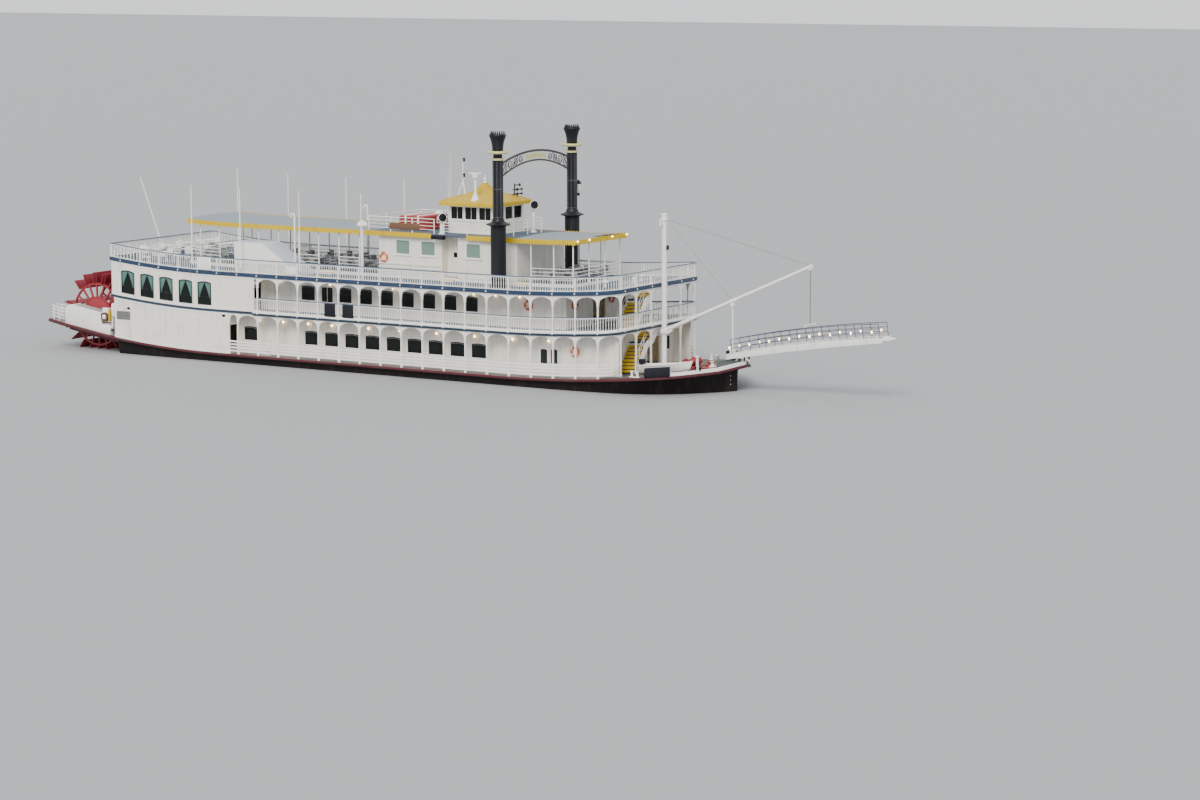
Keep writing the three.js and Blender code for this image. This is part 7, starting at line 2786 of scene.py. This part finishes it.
@dataclass
class LandingStage:
    """The white cambered gangway with its blue rails and warm lamps, hung from its heel pin."""

    pin: tuple[float, float, float] = STAGE_PIN
    tilt: float = 9.0
    heel: float = -0.1
    length: float = 5.95
    half: float = 0.35
    beam: float = 0.11
    deck: float = -0.08
    camber: float = 0.11

    def top(self, x: float) -> float:
        """Height of the girders' tops, level, from the pin."""
        part = (x - self.heel) / (self.length - self.heel)
        return self.deck + self.camber * (1 - (2 * part - 1) ** 2)

    def depth(self, x: float) -> float:
        """Depth of the girders."""
        part = (x - self.heel) / (self.length - self.heel)
        return 0.17 + 0.06 * (1 - (2 * part - 1) ** 2)

    def set_up(self, thing: Thing) -> Thing:
        """Tilts a piece drawn level from the pin and moves it into place."""
        thing.data.transform(shift(*self.pin) @ turn(-self.tilt, "Y"))
        return thing

    def girders(self) -> None:
        """Box girders with stiffeners and pads, the walkway, the heel's lugs and pin, and the tongue."""
        white, dark = [], []
        xs = [float(x) for x in np.linspace(self.heel, self.length, 25)]
        outline = [(x, self.top(x) - self.depth(x)) for x in xs] + [(x, self.top(x)) for x in reversed(xs)]
        for side in (-1, 1):
            y0, y1 = across(side, self.half, self.half - self.beam)
            girder = Bench.plate(outline, y0, y1)
            Bench.modify(
                girder, "BEVEL", width=0.006, segments=2, limit_method="ANGLE", angle_limit=math.radians(50)
            )
            white.append(girder)
            for cap in (0.0, 1.0):
                line = [(x, self.top(x) - cap * self.depth(x)) for x in xs]
                flange = [(x, z - 0.008) for x, z in line] + [(x, z + 0.008) for x, z in reversed(line)]
                f0, f1 = across(side, self.half + 0.014, self.half - self.beam - 0.01)
                white.append(Bench.plate(flange, f0, f1))
            for x in np.linspace(0.35, self.length - 0.35, 6):
                x = float(x)
                s0, s1 = across(side, self.half, self.half + 0.012)
                white.append(
                    Bench.block((x - 0.008, s0, self.top(x) - self.depth(x)), (x + 0.008, s1, self.top(x)))
                )
            l0, l1 = across(side, 0.045, 0.09)
            white.append(
                Bench.plate(
                    [
                        (-0.07, self.deck - 0.06), (0.07, self.deck - 0.06), (0.07, 0.03), (0.03, 0.06),
                        (-0.03, 0.06), (-0.07, 0.03),
                    ],
                    l0,
                    l1,
                )
            )
        white.append(Bench.rod((0, -0.092, 0), (0, 0.092, 0), 0.032, 20))
        walk = [(x, self.top(x) - 0.06) for x in xs] + [(x, self.top(x) - 0.02) for x in reversed(xs)]
        white.append(Bench.plate(walk, -self.half + 0.1, self.half - 0.1))
        tongue = [
            (self.length - 0.02, self.top(self.length) - 0.1),
            (self.length + 0.24, self.top(self.length) - 0.13),
            (self.length + 0.24, self.top(self.length) - 0.11),
            (self.length - 0.02, self.top(self.length) - 0.03),
        ]
        white.append(Bench.plate(tongue, -self.half + 0.04, self.half - 0.04))
        dress(
            self.set_up(Bench.outward(Bench.join(white))),
            "stage_girders",
            Finish.STAGE_WHITE,
            body="stage",
            replaces=["stage"],
        )
        for x in np.arange(0.25, self.length - 0.1, 0.3):
            x = float(x)
            dark.append(
                Bench.block(
                    (x - 0.11, -self.half + 0.13, self.top(x) - 0.022),
                    (x + 0.11, self.half - 0.13, self.top(x) - 0.014),
                )
            )
        dress(self.set_up(Bench.join(dark)), "stage_pads", Finish.GRATE, body="stage")

    def rails(self) -> None:
        """Three blue bars and a post at every metre, both sides."""
        blue = []
        posts = [0.15, *(float(x) for x in np.linspace(0.9, self.length - 0.06, 9))]
        for side in (-1, 1):
            y = side * (self.half - 0.04)
            for height, radius in ((0.16, 0.01), (0.31, 0.01), (0.468, 0.013)):
                blue.append(Bench.pipe([(x, y, self.top(x) + height) for x in posts], radius))
            for x in posts:
                blue.append(Bench.rod((x, y, self.top(x) - 0.01), (x, y, self.top(x) + 0.475), 0.011, 8))
                blue.append(
                    Bench.block(
                        (x - 0.04, y - 0.03, self.top(x)), (x + 0.04, y + 0.03, self.top(x) + 0.012), 0.003
                    )
                )
        dress(self.set_up(Bench.outward(Bench.join(blue))), "stage_rails", Finish.RAIL_NAVY, body="stage")

    def lamps(self) -> None:
        """Pear-shaped lamps on short brackets along both sides."""
        glass, arms = [], []
        for side in (-1, 1):
            y = side * (self.half + 0.005)
            for i in range(8):
                x = 0.1 + 0.79 * i
                z = self.top(x) + 0.2
                bulb = Bench.turned(
                    [(0.01, -0.055), (0.028, -0.028), (0.032, 0.0), (0.024, 0.035), (0.012, 0.058)],
                    (x, y, z),
                    10,
                )
                glass.append(bulb)
                arms.append(Bench.turned([(0.018, 0.056), (0.018, 0.085)], (x, y, z), 8))
                arms.append(Bench.rod((x, y, z + 0.08), (x, side * (self.half - 0.04), z + 0.11), 0.007, 6))
        dress(self.set_up(Bench.outward(Bench.join(glass))), "stage_lamps", Finish.LAMP, body="stage")
        dress(self.set_up(Bench.outward(Bench.join(arms))), "stage_lamp_arms", Finish.RAIL_NAVY, body="stage")

    def build(self) -> None:
        """Builds the stage."""
        self.girders()
        self.rails()
        self.lamps()


@dataclass
class Foredeck:
    """Skiff, winch, capstan and the loose-looking gear that is bolted to the foredeck."""

    skiff_aft: float = 11.0
    skiff_fore: float = 12.95
    skiff_y: float = -1.7
    skiff_half: float = 0.335
    winch_x: float = 11.9
    capstan_x: float = 12.8

    def skiff(self) -> None:
        """The skiff: hull with its transom, gunwale, thwarts, chocks and motor."""
        foot = MAIN_TOP + 0.045
        outer = [
            (-0.335, 0.29), (-0.3, 0.15), (-0.19, 0.03), (0.0, 0.0), (0.19, 0.03), (0.3, 0.15), (0.335, 0.29)
        ]
        inner = [(y * 0.93, 0.025 + z * 0.92 if z < 0.28 else z) for y, z in outer]
        xs = [self.skiff_aft + (self.skiff_fore - self.skiff_aft) * i / 16 for i in range(17)]

        def shape(p: np.ndarray) -> np.ndarray:
            t = np.clip((p[:, 0] - self.skiff_aft) / (self.skiff_fore - self.skiff_aft), 0, 1)
            wide = np.maximum(1 - np.maximum((t - 0.42) / 0.58, 0) ** 2.1, 0.04)
            keel = 0.1 * t**5
            z = foot + keel + p[:, 2] * (1 - 0.3 * t**5) + 0.08 * t**3 * (p[:, 2] / 0.29)
            x = p[:, 0] + 0.12 * t**4 * (p[:, 2] / 0.29 - 0.5)
            return np.stack([x, self.skiff_y + p[:, 1] * wide, z], axis=1)

        hull = Bench.sweep([*outer, *reversed(inner)], xs)
        rim = [Bench.sweep(oblong(s * 0.325, s * 0.352, 0.275, 0.305), xs) for s in (-1, 1)]
        transom = Bench.face([(self.skiff_aft + 0.004, y, z) for y, z in outer])
        Bench.edit(transom, lambda: Bench.extrude(x=0.03))
        body = Bench.reshape(Bench.join([hull, *rim, transom]), shape)
        chocks = [
            Bench.block(
                (x, self.skiff_y - 0.2, MAIN_TOP), (x + 0.06, self.skiff_y + 0.2, MAIN_TOP + 0.08), 0.005
            )
            for x in (11.35, 12.2)
        ]
        fit([body, *chocks], "skiff_hull", Finish.TRIM_WHITE, replaces=["skiff"], lifted=True)
        liner = Bench.sweep(
            [(-0.29, 0.17), (-0.18, 0.055), (0.18, 0.055), (0.29, 0.17), (0.17, 0.07), (-0.17, 0.07)], xs[:-1]
        )
        dress(Bench.outward(Bench.lift(Bench.reshape(liner, shape))), "skiff_liner", Finish.LINER)
        seats = [
            Bench.block(
                (x, self.skiff_y - half, foot + 0.2), (x + 0.14, self.skiff_y + half, foot + 0.225), 0.004
            )
            for x, half in ((11.25, 0.285), (11.75, 0.285), (12.25, 0.2))
        ]
        dress(Bench.lift(Bench.join(seats)), "skiff_seats", Finish.TIMBER)
        x, z = self.skiff_aft - 0.02, foot + 0.3
        motor = [
            Bench.block(
                (x - 0.1, self.skiff_y - 0.07, z + 0.02), (x + 0.12, self.skiff_y + 0.07, z + 0.19), 0.03
            ),
            Bench.block(
                (x - 0.045, self.skiff_y - 0.03, z - 0.3), (x + 0.0, self.skiff_y + 0.03, z + 0.04), 0.01
            ),
            Bench.rod((x + 0.1, self.skiff_y, z + 0.08), (x + 0.3, self.skiff_y, z + 0.11), 0.014, 8),
        ]
        dress(Bench.lift(Bench.join(motor)), "skiff_motor", Finish.RUBBER)

    def machinery(self) -> None:
        """Winch with grooved drum, gear case and motor, the capstan, the controls and a pump."""
        z = MAIN_TOP + 0.055
        red = [
            Bench.block(
                (self.winch_x - 0.26, -0.4, MAIN_TOP + 0.001),
                (self.winch_x + 0.26, 0.4, MAIN_TOP + 0.06),
                0.008,
            ),
            Bench.block(
                (self.winch_x, -0.15, MAIN_TOP + 0.001),
                (self.capstan_x + 0.14, 0.15, MAIN_TOP + 0.045),
                0.008,
            ),
        ]
        for y in (-0.4, 0.36):
            cheek = [
                (self.winch_x - 0.15, z - 0.03), (self.winch_x + 0.15, z - 0.03),
                (self.winch_x + 0.1, z + 0.24), (self.winch_x + 0.03, z + 0.3),
                (self.winch_x - 0.03, z + 0.3), (self.winch_x - 0.1, z + 0.24),
            ]
            red.append(Bench.plate(cheek, y, y + 0.04))
        drum = [(0.05, -0.38), (0.05, -0.3), (0.148, -0.298), (0.148, -0.275), (0.102, -0.27)]
        for i in range(12):
            y = -0.26 + 0.044 * i
            drum += [(0.105, y), (0.098, y + 0.02)]
        drum += [(0.102, 0.27), (0.148, 0.275), (0.148, 0.298), (0.05, 0.3), (0.05, 0.38)]
        barrel = Bench.turned(drum, (0, 0, 0), 20)
        barrel.data.transform(shift(self.winch_x, 0, z + 0.175) @ turn(-90, "X"))
        red.append(barrel)
        red.append(Bench.block((self.winch_x - 0.16, 0.41, z), (self.winch_x + 0.12, 0.56, z + 0.3), 0.02))
        motor = Bench.turned([(0.07, 0), (0.085, 0.02), (0.085, 0.2), (0.06, 0.22)], (0, 0, 0), 14)
        motor.data.transform(shift(self.winch_x - 0.02, 0.56, z + 0.14) @ turn(-90, "X"))
        red.append(motor)
        fit(red, "winch", Finish.MACHINE, replaces=["foredeck_machinery"], lifted=True)
        base = MAIN_TOP + 0.04
        white = [
            Bench.turned(
                [
                    (0.13, 0), (0.13, 0.05), (0.07, 0.07), (0.05, 0.12), (0.052, 0.15), (0.075, 0.18),
                    (0.098, 0.187), (0.098, 0.205), (0.05, 0.215),
                ],
                (self.capstan_x, 0, base),
                18,
            )
        ]
        white.append(
            Bench.turned(
                [(0.05, 0), (0.05, 0.4), (0.075, 0.42), (0.075, 0.46), (0.03, 0.48)],
                (12.4, -0.35, MAIN_TOP),
                12,
            )
        )
        for x, y in ((12.35, 0.75), (12.35, -1.05)):
            white.append(
                Bench.turned(
                    [(0.06, 0), (0.05, 0.03), (0.05, 0.2), (0.08, 0.22), (0.07, 0.27), (0.03, 0.28)],
                    (x, y, MAIN_TOP),
                    12,
                )
            )
        fit(white, "capstan", Finish.TRIM_WHITE, lifted=True)
        grey = [
            Bench.rod((12.95, 0.0, MAIN_TOP), (12.95, 0.0, MAIN_TOP + 0.28), 0.022, 8),
            Bench.block((12.87, -0.1, MAIN_TOP + 0.26), (13.03, 0.1, MAIN_TOP + 0.44), 0.015),
        ]
        grey.append(Bench.block((13.3, -0.25, MAIN_TOP), (13.55, 0.25, MAIN_TOP + 0.03), 0.008))
        dress(Bench.lift(Bench.join(grey)), "deck_controls", Finish.STEEL_AND_GLINT)
        pump = [Bench.block((12.38, 0.22, MAIN_TOP), (12.72, 0.5, MAIN_TOP + 0.12), 0.03)]
        pump.append(
            Bench.turned([(0.09, 0.1), (0.1, 0.13), (0.1, 0.2), (0.05, 0.25)], (12.52, 0.36, MAIN_TOP), 14)
        )
        fit(pump, "deck_pumps", Finish.MACHINE, lifted=True)

    def fittings(self) -> None:
        """Dark fender pads over the bulwark, worn planking, and round studs on the stem."""
        boxes = []
        for side in (STARBOARD, PORT):
            box = Bench.block((-0.44, -0.09, MAIN_TOP + 0.005), (0.44, 0.1, MAIN_TOP + 0.33), 0.03)
            box.data.transform(shift(12.16, side * 2.65) @ turn(side * -28))
            boxes.append(box)
        dress(Bench.lift(Bench.join(boxes)), "fender_boxes", Finish.RUBBER)
        planks = Bench.sweep(oblong(-2.7, 2.7, 1.3022, 1.309), [10.66, LINES.column(24), 11.5, 11.85])
        dress(Bench.outward(Bench.lift(planks)), "foredeck_planks", Finish.DECK_WORN)
        studs = []
        for side in (STARBOARD, PORT):
            for z in (1.5, 1.35, 1.2):
                studs.append(Bench.rod((13.62, side * 0.17, z), (13.66, side * 0.25, z), 0.02, 8))
        fit(studs, "stem_studs", Finish.TRIM_WHITE)

    def build(self) -> None:
        """Builds the foredeck's gear."""
        self.skiff()
        self.machinery()
        self.fittings()


def main() -> None:
    """Builds the boat part by part."""
    logging.basicConfig(level=logging.INFO, format="%(message)s")
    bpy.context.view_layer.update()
    Studio().build()
    Decks().build()
    Gallery("main_gallery", MAIN_TOP, BOILER_UNDER, -15.965, 6, Rail.BOARDS, Rail.OPEN, gate=1.55).build()
    Gallery("boiler_gallery", BOILER_TOP, ROOF_UNDER, -14.815, 7, Rail.BALUSTERS, Rail.BALUSTERS).build()
    RoofBalustrade(
        "roof_rail", ROOF_TOP, ROOF_TOP + RAIL_HEIGHT, -21.5, 1, Rail.BALUSTERS, Rail.BALUSTERS
    ).build()
    Houses().build()
    SternWheel().build()
    Promenade().build()
    Bridge().build()
    Stacks().build()
    Stairs().build()
    Rig().build()
    LandingStage().build()
    Foredeck().build()


if __name__ == "__main__":
    main()
